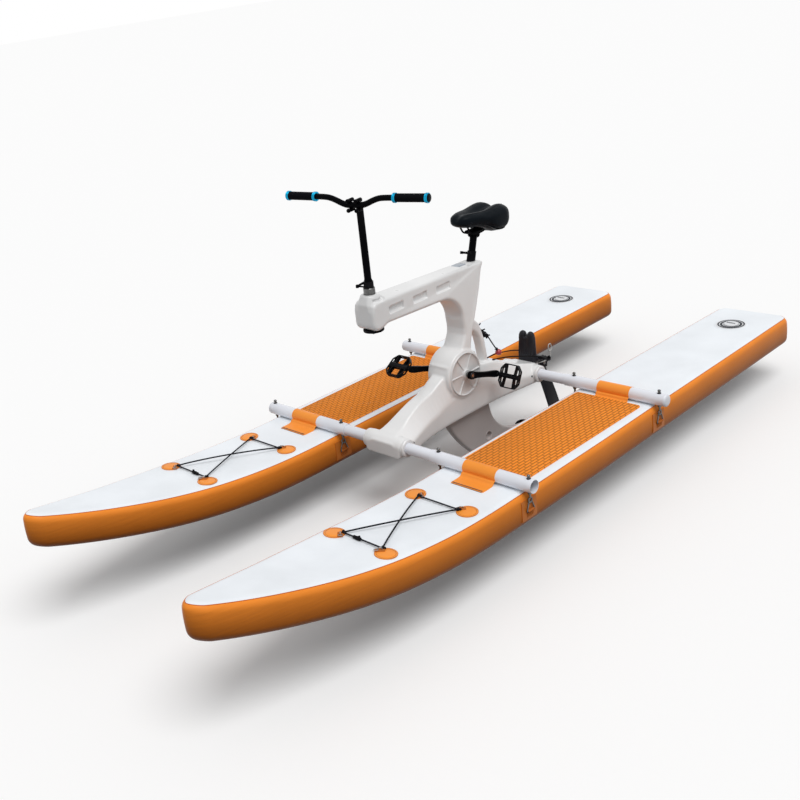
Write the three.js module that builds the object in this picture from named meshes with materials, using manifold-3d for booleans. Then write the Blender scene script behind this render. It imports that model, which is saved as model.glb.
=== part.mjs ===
// Pontoon water bike: two inflatable boards lashed to two cross tubes, which carry a moulded body with a
// crank drive, a swept leg with a propeller, a steered rudder, a handlebar and a saddle.
// Millimetres. +X port, +Y aft, +Z up. Heights are given from the underside of the boards, and the whole
// craft is then raised by the draft of the drive leg, so that its lowest point lies at zero.
import * as THREE from "three";
import { mergeVertices } from "three/addons/utils/BufferGeometryUtils.js";
import Module from "manifold-3d";

const wasm = await Module();
wasm.setup();

// Driving dimensions
const gap = 0.3; // clearance between touching pieces
const over = 6; // overrun of a cutting tool past the face it leaves

const board = {
  length: 3200,
  thickness: 124,
  halfWidth: 184,
  offset: 438,
  cornerRadius: 30,
  bowRise: 170,
  flatAhead: 104,
  risePower: 1.96,
  stationShares: [0, 0.012, 0.05, 0.1, 0.16, 0.22, 0.3, 0.36, 0.52, 0.64, 0.76, 0.88, 0.975, 0.992, 1],
  widthShares: [0.1, 0.24, 0.45, 0.65, 0.84, 0.95, 1, 1, 0.99, 0.96, 0.935, 0.91, 0.885, 0.86, 0.78],
  cornerSteps: 3,
};
const pad = { halfWidth: 140, thickness: 5, front: -276, rear: 413, inset: 5, cornerRadius: 12 };
const patch = {
  long: 62,
  wide: 42,
  height: 3,
  sides: 14,
  turnDeg: -45,
  rearY: -580,
  frontY: -958,
  span: 107,
};
const bungee = { diameter: 7, loopInset: 26, lift: 9, sides: 5, stepsPerRun: 5, knotRadius: 11 };
const valve = { sternInset: 220, plateRadius: 62, plateHeight: 3, capRadius: 27, capHeight: 9, sides: 22 };
const sidePatch = { halfLength: 58, height: 74, thickness: 3, topDrop: 26 };

const tube = {
  frontY: -344,
  rearY: 473,
  endRadius: 24,
  endWall: 2.4,
  coreWall: 2.5,
  halfLength: 651,
  jointX: 215,
  lap: 90,
  sides: 20,
  capDome: 7,
  capPlug: 30,
};
const strap = { halfWidth: 70, thickness: 3, flap: 62, foot: 34, side: 8, steps: 9 };
const tie = {
  shank: 4,
  ball: 7.5,
  neck: 5,
  hullGap: 9,
  headRise: 8,
  eyeRadius: 9,
  eyeWire: 3,
  drop: 20,
};
const ring = { halfBase: 27, height: 44, wire: 3, apexHalf: 8, cornerShare: 1.6 };

const body = {
  halfWidth: 50,
  edge: 16,
  edgeSteps: 2,
  headFront: -397,
  headTop: 708,
  headChamfer: 34,
  headFlat: -346,
  topRear: 694,
  rearTop: 236,
  rearDrop: 20,
  underFront: 614,
  underRear: 606,
  chinLow: 600,
  chinRear: -318,
  archY: -30,
  archHeight: 497,
  archRadius: 109,
  waistY: 82,
  waistHeight: 452,
  shinY: 56,
  shinHeight: 408,
  toeY: 14,
  toeHeight: 374,
  kneeY: -34,
  kneeHeight: 341,
  kneeRear: 128,
  kneeBase: 214,
  calfY: 123,
  calfHeight: 372,
  backY: 150,
  backHeight: 430,
  backUpperY: 174,
  backUpperHeight: 508,
};
const housing = {
  placeY: [-380, -352, -306, -250, -190, -120, -56, 30, 110, 180, 250, 320, 390, 450, 512],
  topHeights: [166, 184, 200, 226, 250, 268, 300, 330, 322, 286, 273, 240, 214, 196, 178],
  halfWidths: [84, 90, 86, 76, 65, 55, 50, 49, 49, 50, 53, 62, 73, 80, 76],
  crownShares: [0.62, 0.5, 0.42, 0.4, 0.42, 0.5, 0.62, 0.72, 0.72, 0.7, 0.66, 0.62, 0.62, 0.66, 0.7],
  floor: 112,
  roundShare: 0.5,
  sides: 20,
};
const sleeve = {
  frontRadius: 36,
  rearRadius: 36,
  frontHalf: 90,
  rearHalf: 82,
  ringRadius: 31,
  ringProud: 6,
  sides: 24,
};
const strut = {
  halfWidth: 20,
  edge: 9,
  rootY: 132,
  rootHeight: 478,
  innerY: 158,
  innerHeight: 396,
  innerFootY: 186,
  outerY: 203,
  outerHeight: 424,
  outerFootY: 234,
  foot: 244,
};
const pocket = { count: 3, first: -311, length: 78, pitch: 130, height: 27, floor: 647, drop: 5, depth: 15 };
const scoop = { radius: 120, depth: 8, stemY: -292, seatY: 160, halfWidth: 30 };
const boss = { radius: 97, proud: 5, sides: 36 };

const crank = {
  y: 54,
  height: 290,
  radius: 8.5,
  length: 158,
  angleDeg: 17,
  plane: 82,
  thick: 15,
  edge: 2.5,
  bossRadius: 16,
  tipRadius: 12.5,
  waist: 8,
  placeShares: [0.72, 0.5, 0.26],
  waistShares: [1.25, 1, 1.3],
  arcSteps: 8,
  sides: 16,
};
const chamber = { radius: 76, sides: 28 };
const cover = {
  radius: 88,
  depth: 9,
  rim: 7,
  dome: 4,
  hub: 19,
  hubProud: 9,
  ribs: 6,
  ribWidth: 5,
  ribProud: 2,
  sides: 30,
};
const spindle = { radius: 6.2, length: 91, sides: 14 };
const pedal = {
  x: 147,
  halfWidth: 46,
  halfLength: 48,
  halfThick: 13,
  chamfer: 22,
  cornerShare: 0.8,
  wall: 8,
  barHalf: 12,
  barShare: 0.6,
  collarShare: 0.8,
  slotHalf: 9.6,
  slotPlace: 13.2,
  slotHigh: 12,
  pin: 5.4,
  bearing: 5.8,
  tiltDeg: { port: -72, starboard: 42 },
  sides: 14,
};

const gear = { crankTeeth: 24, pinionTeeth: 8, crankRadius: 60, face: 13, hub: 16, web: 7 };
const lower = { driveTeeth: 16, propTeeth: 8, driveRadius: 18, face: 6, web: 4 };
const tooth = { rootShare: 0.3, tipShare: 0.13, addendumShare: 0.75, dedendumShare: 1.05 };
const shaft = { radius: 7, bore: 8, propRadius: 6, propBore: 6.6, sides: 14 };

const pod = {
  y: 186,
  height: -110,
  radius: 28,
  nose: 122,
  noseBlunt: 5,
  noseRound: 18,
  shoulder: 168,
  taper: 430,
  tail: 484,
  tailRadius: 18,
  cavity: 23.6,
  cavityFront: 160,
  cavityRear: 236,
  sides: 20,
};
const leg = {
  halfThick: 15,
  edge: 9,
  top: 112,
  frontTop: -34,
  frontMidY: 20,
  frontMidHeight: -10,
  frontFoot: 148,
  footHeight: -112,
  rearTop: 229,
  rearMidY: 232,
  rearMidHeight: -60,
  rearFoot: 478,
  rearFootHeight: -84,
  skeg: -150,
  skegFront: 236,
  skegRear: 440,
  holeY: 207,
  holeHeight: -39,
  holeRadius: 14,
  curveSteps: 9,
};
const prop = {
  y: 512,
  hubRadius: 18,
  hubLength: 42,
  noseLength: 20,
  root: 12,
  tipRadius: 95,
  chords: [26, 40, 48, 42, 16],
  thick: 6,
  rootPitchDeg: 48,
  tipPitchDeg: 22,
  parkDeg: 17,
  sectionSides: 10,
  blades: 2,
  sides: 20,
};

const steer = {
  y: -351,
  turnDeg: 10.8,
  radius: 18,
  wall: 2.6,
  bossRadius: 29,
  bossTop: 714,
  collarRadius: 26,
  collarHeight: 37,
  discRadius: 38,
  discThick: 10,
  sides: 22,
};
const post = { radius: 15, wall: 2.2, top: 1044, insert: 82, sides: 22 };
const clamp = {
  forward: 28,
  rise: 11,
  radius: 17,
  halfWidth: 24,
  postRadius: 20,
  skirt: 18,
  crown: 16,
  lip: 4,
  boltRadius: 4,
  boltHead: 6,
  boltX: 15,
  boltZ: 15,
  reach: 12,
};
const bar = {
  radius: 11,
  halfLength: 290,
  rise: 27,
  flat: 38,
  slope: 92,
  sweep: 10,
  gripRadius: 15,
  grip: 132,
  lock: 11,
  lockRadius: 17.5,
  cap: 6,
  sides: 12,
  steps: 24,
};
const lever = {
  band: 5.5,
  halfHigh: 11,
  earHalf: 8,
  earReach: 15,
  slit: 1,
  pin: 3,
  nut: 7,
  nutReach: 16,
  cam: 6,
  handle: 44,
  thick: 5,
  high: 11,
  edge: 1,
};

const seat = {
  y: 208,
  rise: 3,
  leanDeg: 17.5,
  sleeveRadius: 16.8,
  sleeveUp: 36,
  sleeveDown: 128,
  postRadius: 13.6,
  postUp: 102,
  insert: 92,
  sides: 20,
};
const saddle = {
  ahead: 115,
  behind: 160,
  rise: 110,
  baseRise: 56,
  placeShares: [0, 0.05, 0.16, 0.3, 0.44, 0.56, 0.68, 0.8, 0.91, 1],
  widths: [9, 20, 25, 32, 50, 74, 92, 98, 88, 52],
  tops: [-14, 0, 2, 0, -6, -8, -6, -2, -8, -26],
  bottoms: [-34, -50, -54, -58, -66, -82, -98, -108, -100, -66],
  dishShares: [0, 0.02, 0.06, 0.1, 0.12, 0.12, 0.13, 0.14, 0.12, 0.08],
  sides: 24,
  clampHalf: 22,
  clampLong: 34,
};

const rudder = {
  y: 560,
  base: 168,
  thick: 12,
  front: 492,
  rear: 574,
  halfWidth: 36,
  cheekFront: 500,
  cheekRear: 536,
  cheekTop: 306,
  cheekInner: 5,
  cheekOuter: 37,
  cheekEdge: 13,
  wing: 78,
  wingHalf: 8,
  wingThick: 8,
  eye: 3.2,
  stock: 8,
  ratio: 0.5,
  pivotY: 602,
  pivotHeight: 140,
  pivotRadius: 5,
  headFront: 548,
  headRear: 622,
  headLow: 118,
  headHalf: 14,
  blade: 6,
  bladeBoss: 21,
  slotGap: 0.5,
  slotAhead: 3,
  leadTop: 586,
  leadTopHeight: 56,
  leadFoot: 640,
  foot: -122,
  trailFoot: 704,
  trailFootHeight: -112,
  trailTop: 661,
  trailTopHeight: 25,
  hornY: 657,
  hornHeight: 147,
  hornHalf: 7,
};
const cable = { radius: 3, x: 16, y: 268, height: 268, sag: 10, steps: 9, sides: 6, end: 5 };
const pull = {
  radius: 2.6,
  startHeight: 408,
  bendY: 271,
  bendHeight: 361,
  ballY: 328,
  ballHeight: 278,
  ball: 13,
  x: 0,
  knot: 6.5,
  steps: 8,
  sides: 6,
};

// Sizes that follow from the others
const draft = -leg.skeg;
const tubeHeight = board.thickness + tube.endRadius + gap;
const coreRadius = tube.endRadius - tube.endWall - gap;
const rad = THREE.MathUtils.degToRad;
const bowY = -board.length / 2;
const riseEnd = tube.frontY - board.flatAhead;
const valveY = board.length / 2 - valve.sternInset;

// Finishes
const finish = {
  boardWhite: { color: 0xeef1f6, roughness: 0.42, metalness: 0 },
  orange: { color: 0xe07a22, roughness: 0.5, metalness: 0 },
  padOrange: { color: 0xf08a24, roughness: 0.85, metalness: 0 },
  tubeWhite: { color: 0xe3e6ee, roughness: 0.3, metalness: 0 },
  shellWhite: { color: 0xe9e8e6, roughness: 0.3, metalness: 0 },
  legGrey: { color: 0x8d8682, roughness: 0.45, metalness: 0 },
  black: { color: 0x15161a, roughness: 0.45, metalness: 0 },
  rubber: { color: 0x17181b, roughness: 0.75, metalness: 0 },
  hide: { color: 0x1f262e, roughness: 0.5, metalness: 0 },
  stainless: { color: 0xc4c6c8, roughness: 0.25, metalness: 1 },
  steel: { color: 0x9a9c9f, roughness: 0.35, metalness: 1 },
  cord: { color: 0x1b1c20, roughness: 0.8, metalness: 0 },
};

// Solids
function solid(geometry) {
  const source = geometry.index ? geometry.toNonIndexed() : geometry.clone();
  source.deleteAttribute("normal");
  source.deleteAttribute("uv");
  const merged = mergeVertices(source, 1e-3);
  return new wasm.Manifold(
    new wasm.Mesh({
      numProp: 3,
      vertProperties: merged.attributes.position.array,
      triVerts: new Uint32Array(merged.index.array),
    }),
  );
}

function geometryOf(made) {
  const mesh = made.getMesh();
  const geometry = new THREE.BufferGeometry();
  geometry.setAttribute("position", new THREE.BufferAttribute(mesh.vertProperties, 3));
  geometry.setIndex(new THREE.BufferAttribute(mesh.triVerts, 1));
  geometry.computeVertexNormals();
  return geometry;
}

function join(...pieces) {
  return geometryOf(pieces.map(solid).reduce((a, b) => a.add(b)));
}

function cut(piece, ...tools) {
  return geometryOf(tools.map(solid).reduce((a, b) => a.subtract(b), solid(piece)));
}

// A round bar between two points, with an optional second radius at its far end
function rod(from, to, radius, sides, farRadius = radius) {
  const axis = new THREE.Vector3().subVectors(to, from);
  const made = new THREE.CylinderGeometry(farRadius, radius, axis.length(), sides);
  const turn = new THREE.Quaternion().setFromUnitVectors(new THREE.Vector3(0, 1, 0), axis.clone().normalize());
  made.applyQuaternion(turn);
  const middle = new THREE.Vector3().addVectors(from, to).multiplyScalar(0.5);
  return made.translate(middle.x, middle.y, middle.z);
}

const at = (x, y, z) => new THREE.Vector3(x, y, z);

// A profile of [radius, height] pairs turned about the line from a foot along an axis
function turned(profile, foot, axis, sides) {
  const made = new THREE.LatheGeometry(profile.map(([r, h]) => new THREE.Vector2(r, h)), sides);
  made.applyQuaternion(new THREE.Quaternion().setFromUnitVectors(new THREE.Vector3(0, 1, 0), axis.clone().normalize()));
  return made.translate(foot.x, foot.y, foot.z);
}

function block(lowest, highest) {
  const size = new THREE.Vector3().subVectors(highest, lowest);
  const made = new THREE.BoxGeometry(size.x, size.y, size.z);
  return made.translate((lowest.x + highest.x) / 2, (lowest.y + highest.y) / 2, (lowest.z + highest.z) / 2);
}

// An outline in the side plane, given as (y, z), thickened evenly to both sides of a plane of constant x
function slab(outline, middle, halfThick, edge = 0, steps = 2, curveSteps = 6) {
  const made = new THREE.ExtrudeGeometry(outline, {
    depth: 2 * (halfThick - edge),
    bevelEnabled: edge > 0,
    bevelThickness: edge,
    bevelSize: edge,
    bevelOffset: -edge,
    bevelSegments: steps,
    curveSegments: curveSteps,
    steps: 1,
  });
  made.translate(0, 0, edge - halfThick);
  const turn = new THREE.Matrix4().makeBasis(at(0, 1, 0), at(0, 0, 1), at(1, 0, 0));
  return made.applyMatrix4(turn).translate(middle, 0, 0);
}

function outlineOf(points) {
  const outline = new THREE.Shape();
  points.forEach(([y, z], i) => (i ? outline.lineTo(y, z) : outline.moveTo(y, z)));
  outline.closePath();
  return outline;
}

// A round section swept along a smooth curve through the given points
function swept(points, radius, sides, steps, kind = "centripetal") {
  const section = new THREE.Shape();
  for (let i = 0; i < sides; i++) {
    const angle = (2 * Math.PI * i) / sides;
    const [u, v] = [radius * Math.cos(angle), radius * Math.sin(angle)];
    if (i) section.lineTo(u, v);
    else section.moveTo(u, v);
  }
  section.closePath();
  const path = new THREE.CatmullRomCurve3(points, false, kind);
  return new THREE.ExtrudeGeometry(section, { steps, extrudePath: path, bevelEnabled: false });
}

// A closed skin over rings of equally many points, with a flat end at both ends
function loft(rings) {
  const count = rings[0].length;
  const places = rings.flat().flatMap((p) => [p.x, p.y, p.z]);
  const faces = [];
  for (let r = 0; r + 1 < rings.length; r++) {
    for (let i = 0; i < count; i++) {
      const j = (i + 1) % count;
      const [a, b, c, d] = [r * count + i, r * count + j, (r + 1) * count + j, (r + 1) * count + i];
      faces.push(a, b, c, a, c, d);
    }
  }
  [0, rings.length - 1].forEach((r) => {
    const middle = rings[r].reduce((sum, p) => sum.clone().add(p)).multiplyScalar(1 / count);
    places.push(middle.x, middle.y, middle.z);
    const hub = places.length / 3 - 1;
    for (let i = 0; i < count; i++) {
      const j = (i + 1) % count;
      if (r) faces.push(hub, r * count + i, r * count + j);
      else faces.push(hub, j, i);
    }
  });
  const made = new THREE.BufferGeometry();
  made.setAttribute("position", new THREE.Float32BufferAttribute(places, 3));
  made.setIndex(faces);
  const whole = solid(made);
  return whole.volume() > 0 ? geometryOf(whole) : geometryOf(solid(flipped(made)));
}

function flipped(geometry) {
  const index = [...geometry.index.array];
  for (let i = 0; i < index.length; i += 3) {
    [index[i + 1], index[i + 2]] = [index[i + 2], index[i + 1]];
  }
  return geometry.clone().setIndex(index);
}

// The value between two rows of a table of shares
function follow(shares, values, share) {
  let i = 1;
  while (i < shares.length - 1 && shares[i] < share) i++;
  const t = (share - shares[i - 1]) / (shares[i] - shares[i - 1]);
  return THREE.MathUtils.lerp(values[i - 1], values[i], t);
}

const craft = new THREE.Group();
craft.position.z = draft;

function add(name, geometry, look, parent = craft) {
  const mesh = new THREE.Mesh(geometry, new THREE.MeshStandardMaterial(finish[look]));
  mesh.name = name;
  parent.add(mesh);
}

const sides = [
  ["port", 1],
  ["starboard", -1],
];
const ends = [
  ["front", tube.frontY],
  ["rear", tube.rearY],
];

// Inflatable boards
const riseAt = (y) => board.bowRise * Math.max(0, (riseEnd - y) / (riseEnd - bowY)) ** board.risePower;
const shareAt = (y) => (y - bowY) / board.length;
const hullHalf = (y) => board.halfWidth * follow(board.stationShares, board.widthShares, shareAt(y));
const deckAt = (y) => board.thickness + riseAt(y);

function hullRing(share, widthShare) {
  const half = board.halfWidth * widthShare;
  const radius = Math.min(board.cornerRadius, half);
  const y = bowY + share * board.length;
  const lift = riseAt(y);
  const ringPoints = [];
  [
    [1, 1],
    [-1, 1],
    [-1, -1],
    [1, -1],
  ].forEach(([sx, sz], quarter) => {
    for (let k = 0; k <= board.cornerSteps; k++) {
      const angle = (Math.PI / 2) * (quarter + k / board.cornerSteps);
      const x = sx * (half - radius) + radius * Math.cos(angle);
      const z = board.thickness / 2 + sz * (board.thickness / 2 - radius) + radius * Math.sin(angle);
      ringPoints.push(at(x, y, z + lift));
    }
  });
  return ringPoints;
}

function ovalPatch(x, y) {
  const disc = new THREE.CylinderGeometry(1, 1, 2 * patch.height, patch.sides);
  disc.rotateX(Math.PI / 2).scale(patch.long, patch.wide, 1).rotateZ(rad(patch.turnDeg));
  const slope = Math.atan2(deckAt(y + patch.wide) - deckAt(y - patch.wide), 2 * patch.wide);
  return disc.rotateX(slope).translate(x, y, deckAt(y));
}

function valvePlate(x) {
  const profile = [
    [0, gap],
    [valve.plateRadius, gap],
    [valve.plateRadius, valve.plateHeight],
    [valve.capRadius + valve.plateHeight, valve.plateHeight],
    [valve.capRadius, valve.capHeight],
    [0, valve.capHeight],
  ];
  return turned(profile, at(x, valveY, board.thickness), at(0, 0, 1), valve.sides);
}

function ringPatch(x, sign, y) {
  const [low, high] = [board.thickness - sidePatch.topDrop - sidePatch.height, board.thickness - sidePatch.topDrop];
  const face = x + sign * hullHalf(y);
  return block(
    at(Math.min(face - sign * board.cornerRadius, face + sign * sidePatch.thickness), y - sidePatch.halfLength, low),
    at(Math.max(face - sign * board.cornerRadius, face + sign * sidePatch.thickness), y + sidePatch.halfLength, high),
  );
}

const patchPlaces = [
  [1, patch.rearY],
  [-1, patch.rearY],
  [-1, patch.frontY],
  [1, patch.frontY],
];

sides.forEach(([side, sign]) => {
  const x = sign * board.offset;
  const rings = board.stationShares.map((share, i) => hullRing(share, board.widthShares[i]));
  const hull = loft(rings).translate(x, 0, 0);
  const extras = patchPlaces.map(([across, y]) => ovalPatch(x + sign * across * patch.span, y));
  ends.forEach(([, y]) => [1, -1].forEach((face) => extras.push(ringPatch(x, face, y))));
  add("hull_" + side, join(hull, ...extras), "boardWhite");
  add("valve_" + side, valvePlate(x), "black");

  // Grooved foam pad between the two cross tubes
  const padOutline = new THREE.Shape();
  const [near, far, corner] = [-pad.halfWidth, pad.halfWidth, pad.cornerRadius];
  padOutline.moveTo(near + corner, pad.front);
  padOutline.lineTo(far - corner, pad.front);
  padOutline.quadraticCurveTo(far, pad.front, far, pad.front + corner);
  padOutline.lineTo(far, pad.rear - corner);
  padOutline.quadraticCurveTo(far, pad.rear, far - corner, pad.rear);
  padOutline.lineTo(near + corner, pad.rear);
  padOutline.quadraticCurveTo(near, pad.rear, near, pad.rear - corner);
  padOutline.lineTo(near, pad.front + corner);
  padOutline.quadraticCurveTo(near, pad.front, near + corner, pad.front);
  const foam = new THREE.ExtrudeGeometry(padOutline, { depth: pad.thickness, bevelEnabled: false, curveSegments: 3 });
  foam.translate(x - sign * pad.inset, 0, board.thickness + gap);
  add("deck_pad_" + side, foam, "padOrange");
});

// Fabric straps that hold the cross tubes down on the boards
function strapOutline(y, away) {
  const inner = (tube.endRadius + gap) / Math.cos(Math.PI / (2 * strap.steps));
  const outer = inner + strap.thickness;
  const [low, middle] = [board.thickness + gap, tubeHeight];
  const outline = new THREE.Shape();
  const reach = inner + strap.flap;
  const foot = inner + strap.foot;
  outline.moveTo(reach, low);
  outline.lineTo(reach, low + strap.thickness);
  outline.lineTo(outer + strap.side, low + 2 * strap.thickness);
  const arc = (radius, from, to) => {
    for (let i = 0; i <= strap.steps; i++) {
      const angle = THREE.MathUtils.lerp(from, to, i / strap.steps);
      outline.lineTo(radius * Math.cos(angle), middle + radius * Math.sin(angle));
    }
  };
  arc(outer, 0, Math.PI);
  outline.lineTo(-outer - strap.side / 2, low + 2 * strap.thickness);
  outline.lineTo(-foot, low + strap.thickness);
  outline.lineTo(-foot, low);
  outline.lineTo(-inner - strap.side, low);
  arc(inner, Math.PI, 0);
  outline.lineTo(inner + strap.side, low);
  outline.closePath();
  const placed = new THREE.Shape(outline.getPoints().map((p) => new THREE.Vector2(y + away * p.x, p.y)));
  return placed;
}

sides.forEach(([side, sign]) =>
  ends.forEach(([end, y]) => {
    const away = end === "front" ? -1 : 1;
    add("strap_" + end + "_" + side, slab(strapOutline(y, away), sign * board.offset, strap.halfWidth), "orange");
  }),
);

// Elastic deck lacing: one cord along two sides and both diagonals of the four patches
sides.forEach(([side, sign]) => {
  const x = sign * board.offset;
  const place = ([across, y]) => {
    const inward = patch.span - bungee.loopInset;
    const along = y + (y === patch.rearY ? -bungee.loopInset : bungee.loopInset) / 2;
    return at(x + sign * across * inward, along, deckAt(along) + patch.height + bungee.diameter / 2 + gap);
  };
  const [a, b, c, d] = patchPlaces.map(place);
  const run = (from, to, lift) => {
    const points = [];
    for (let i = 0; i <= bungee.stepsPerRun; i++) {
      const share = i / bungee.stepsPerRun;
      const p = from.clone().lerp(to, share);
      const floor = deckAt(p.y) + bungee.diameter / 2 + gap;
      p.z = Math.max(p.z, floor) + lift * Math.sin(Math.PI * share);
      points.push(p);
    }
    return swept(points, bungee.diameter / 2, bungee.sides, bungee.stepsPerRun);
  };
  const lock = new THREE.SphereGeometry(bungee.knotRadius, 8, 6);
  const middle = c.clone().lerp(d, 0.4);
  lock.translate(middle.x, middle.y, middle.z + bungee.knotRadius / 2);
  const runs = [run(a, b, 0), run(a, c, bungee.lift / 2), run(b, d, bungee.lift), run(c, d, 0)];
  add("bungee_" + side, join(...runs, lock), "cord");
});

// Cross tubes: a long centre tube through the body and a wider tube slid over each of its ends
const pipe = (from, to, outer, inner) => {
  const shell = rod(from, to, outer, tube.sides);
  const along = new THREE.Vector3().subVectors(to, from).normalize().multiplyScalar(over);
  return cut(shell, rod(from.clone().sub(along), to.clone().add(along), inner, tube.sides));
};
const tieX = (y, place) => board.offset + place * (hullHalf(y) + tie.hullGap);
const hole = (x, y, radius) => rod(at(x, y, tubeHeight - 2 * tube.endRadius), at(x, y, tubeHeight + 2 * tube.endRadius), radius, 8);
const tiePlaces = (y) => [
  ["inner", tieX(y, -1)],
  ["outer", tieX(y, 1)],
];

ends.forEach(([end, y]) => {
  const reach = tube.jointX + tube.lap;
  const core = pipe(at(-reach, y, tubeHeight), at(reach, y, tubeHeight), coreRadius, coreRadius - tube.coreWall);
  const holes = [1, -1].map((sign) => hole(sign * tieX(y, -1), y, tie.shank + gap));
  add("crossbar_" + end, cut(core, ...holes), "tubeWhite");
  sides.forEach(([side, sign]) => {
    let sleeve = pipe(at(sign * tube.jointX, y, tubeHeight), at(sign * tube.halfLength, y, tubeHeight), tube.endRadius, tube.endRadius - tube.endWall);
    sleeve = cut(sleeve, ...tiePlaces(y).map(([, x]) => hole(sign * x, y, tie.shank + gap)));
    if (end === "rear") {
      const profile = [
        [0, -tube.capPlug],
        [tube.endRadius - tube.endWall + gap, -tube.capPlug],
        [tube.endRadius - tube.endWall + gap, -gap],
        [tube.endRadius, -gap],
        [tube.endRadius - tube.capDome / 2, tube.capDome * 0.7],
        [0, tube.capDome],
      ];
      const inner = sign * tieX(y, 1);
      const plug = turned(profile, at(sign * tube.halfLength, y, tubeHeight), at(sign, 0, 0), tube.sides);
      sleeve = cut(join(sleeve, plug), hole(inner, y, tie.shank + gap));
    }
    add("crossbar_end_" + end + "_" + side, sleeve, "tubeWhite");
  });
});

// Ball-headed tie bolts through the tubes, each with its shackle and the triangular ring that it hooks
sides.forEach(([side, sign]) =>
  ends.forEach(([end, y]) =>
    tiePlaces(y).forEach(([place, reach]) => {
      const x = sign * reach;
      const top = tubeHeight + tube.endRadius;
      const low = tubeHeight - tube.endRadius - tie.drop;
      const shank = rod(at(x, y, low), at(x, y, top + tie.headRise), tie.shank, 6);
      const ball = new THREE.SphereGeometry(tie.ball, 7, 5).translate(x, y, top + tie.headRise);
      const nut = rod(at(x, y, tubeHeight - tube.endRadius - gap - tie.neck), at(x, y, tubeHeight - tube.endRadius - gap), tie.ball, 6);
      const eye = new THREE.TorusGeometry(tie.eyeRadius, tie.eyeWire, 4, 7).rotateY(Math.PI / 2);
      eye.translate(x, y, low - tie.eyeRadius);

      const apex = low - 2 * tie.eyeRadius + 2 * ring.wire;
      const trapezium = (inset) => [
        [y - ring.halfBase - ring.wire + inset * ring.cornerShare, apex - ring.height + inset],
        [y + ring.halfBase + ring.wire - inset * ring.cornerShare, apex - ring.height + inset],
        [y + ring.apexHalf + ring.wire - inset, apex - inset],
        [y - ring.apexHalf - ring.wire + inset, apex - inset],
      ];
      const hoop = outlineOf(trapezium(0));
      hoop.holes.push(new THREE.Path(trapezium(2 * ring.wire).map(([u, v]) => new THREE.Vector2(u, v))));
      add("tie_" + end + "_" + place + "_" + side, join(shank, ball, nut, eye, slab(hoop, x, ring.wire)), "stainless");
    }),
  ),
);

// Moulded body: arm, column and strut over a lower housing that ends in a sleeve at each cross tube
const lerp = THREE.MathUtils.lerp;
const underAt = (y) => lerp(body.underFront, body.underRear, (y - body.chinRear) / (body.archY - body.chinRear));
const topAt = (y) => lerp(body.headTop, body.topRear, (y - body.headFlat) / (body.rearTop - body.headFlat));

const frame = new THREE.Shape();
frame.moveTo(body.headFront, body.headTop - body.headChamfer);
frame.lineTo(body.headFlat, body.headTop);
frame.lineTo(body.rearTop, body.topRear);
frame.lineTo(body.rearTop, body.topRear - body.rearDrop);
frame.quadraticCurveTo(body.rearTop - body.rearDrop, body.underRear, body.backUpperY, body.backUpperHeight);
frame.lineTo(body.backY, body.backHeight);
frame.quadraticCurveTo(body.calfY, body.calfHeight + body.rearDrop, body.calfY, body.calfHeight);
frame.lineTo(body.kneeRear, body.kneeBase);
frame.lineTo(body.kneeY, body.kneeBase);
frame.lineTo(body.kneeY, body.kneeHeight);
frame.lineTo(body.toeY, body.toeHeight);
frame.quadraticCurveTo(body.shinY - body.edge, body.toeHeight, body.shinY, body.shinHeight);
frame.lineTo(body.waistY - gap, body.waistHeight);
frame.absarc(body.archY, body.archHeight, body.archRadius, 0, Math.PI / 2, false);
frame.lineTo(body.chinRear, body.underFront);
frame.quadraticCurveTo(steer.y, body.chinLow, body.headFront + 2 * body.edge, body.chinLow);
frame.quadraticCurveTo(body.headFront, body.chinLow, body.headFront, body.chinLow + 2 * body.edge);
frame.closePath();

function housingRing(i) {
  const [y, top, half] = [housing.placeY[i], housing.topHeights[i], housing.halfWidths[i]];
  const [middle, tall] = [(top + housing.floor) / 2, (top - housing.floor) / 2];
  return Array.from({ length: housing.sides }, (_, k) => {
    const angle = (2 * Math.PI * (k + 0.5)) / housing.sides;
    const [c, s] = [Math.cos(angle), Math.sin(angle)];
    const up = Math.sign(s) * Math.abs(s) ** housing.roundShare;
    const across = Math.sign(c) * Math.abs(c) ** housing.roundShare;
    const narrow = lerp(1, housing.crownShares[i], Math.max(0, up) ** 2);
    return at(half * narrow * across, y, middle + tall * up);
  });
}

const lowerHousing = loft(housing.placeY.map((_, i) => housingRing(i)));
const sleeves = [
  [tube.frontY, sleeve.frontRadius, sleeve.frontHalf],
  [tube.rearY, sleeve.rearRadius, sleeve.rearHalf],
].flatMap(([y, radius, half]) => [
  rod(at(-half, y, tubeHeight), at(half, y, tubeHeight), radius, sleeve.sides),
  rod(at(-half - sleeve.ringProud, y, tubeHeight), at(half + sleeve.ringProud, y, tubeHeight), sleeve.ringRadius, sleeve.sides),
]);
const tubeBores = ends.map(([, y]) => rod(at(-board.offset, y, tubeHeight), at(board.offset, y, tubeHeight), coreRadius + gap, tube.sides));

const brace = new THREE.Shape();
brace.moveTo(strut.rootY, strut.rootHeight);
brace.quadraticCurveTo(strut.outerY - strut.edge, strut.rootHeight - strut.edge, strut.outerY, strut.outerHeight);
brace.lineTo(strut.outerFootY, strut.foot);
brace.lineTo(strut.innerFootY, strut.foot);
brace.lineTo(strut.innerY, strut.innerHeight);
brace.lineTo(strut.rootY, strut.innerHeight);
brace.closePath();

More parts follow.
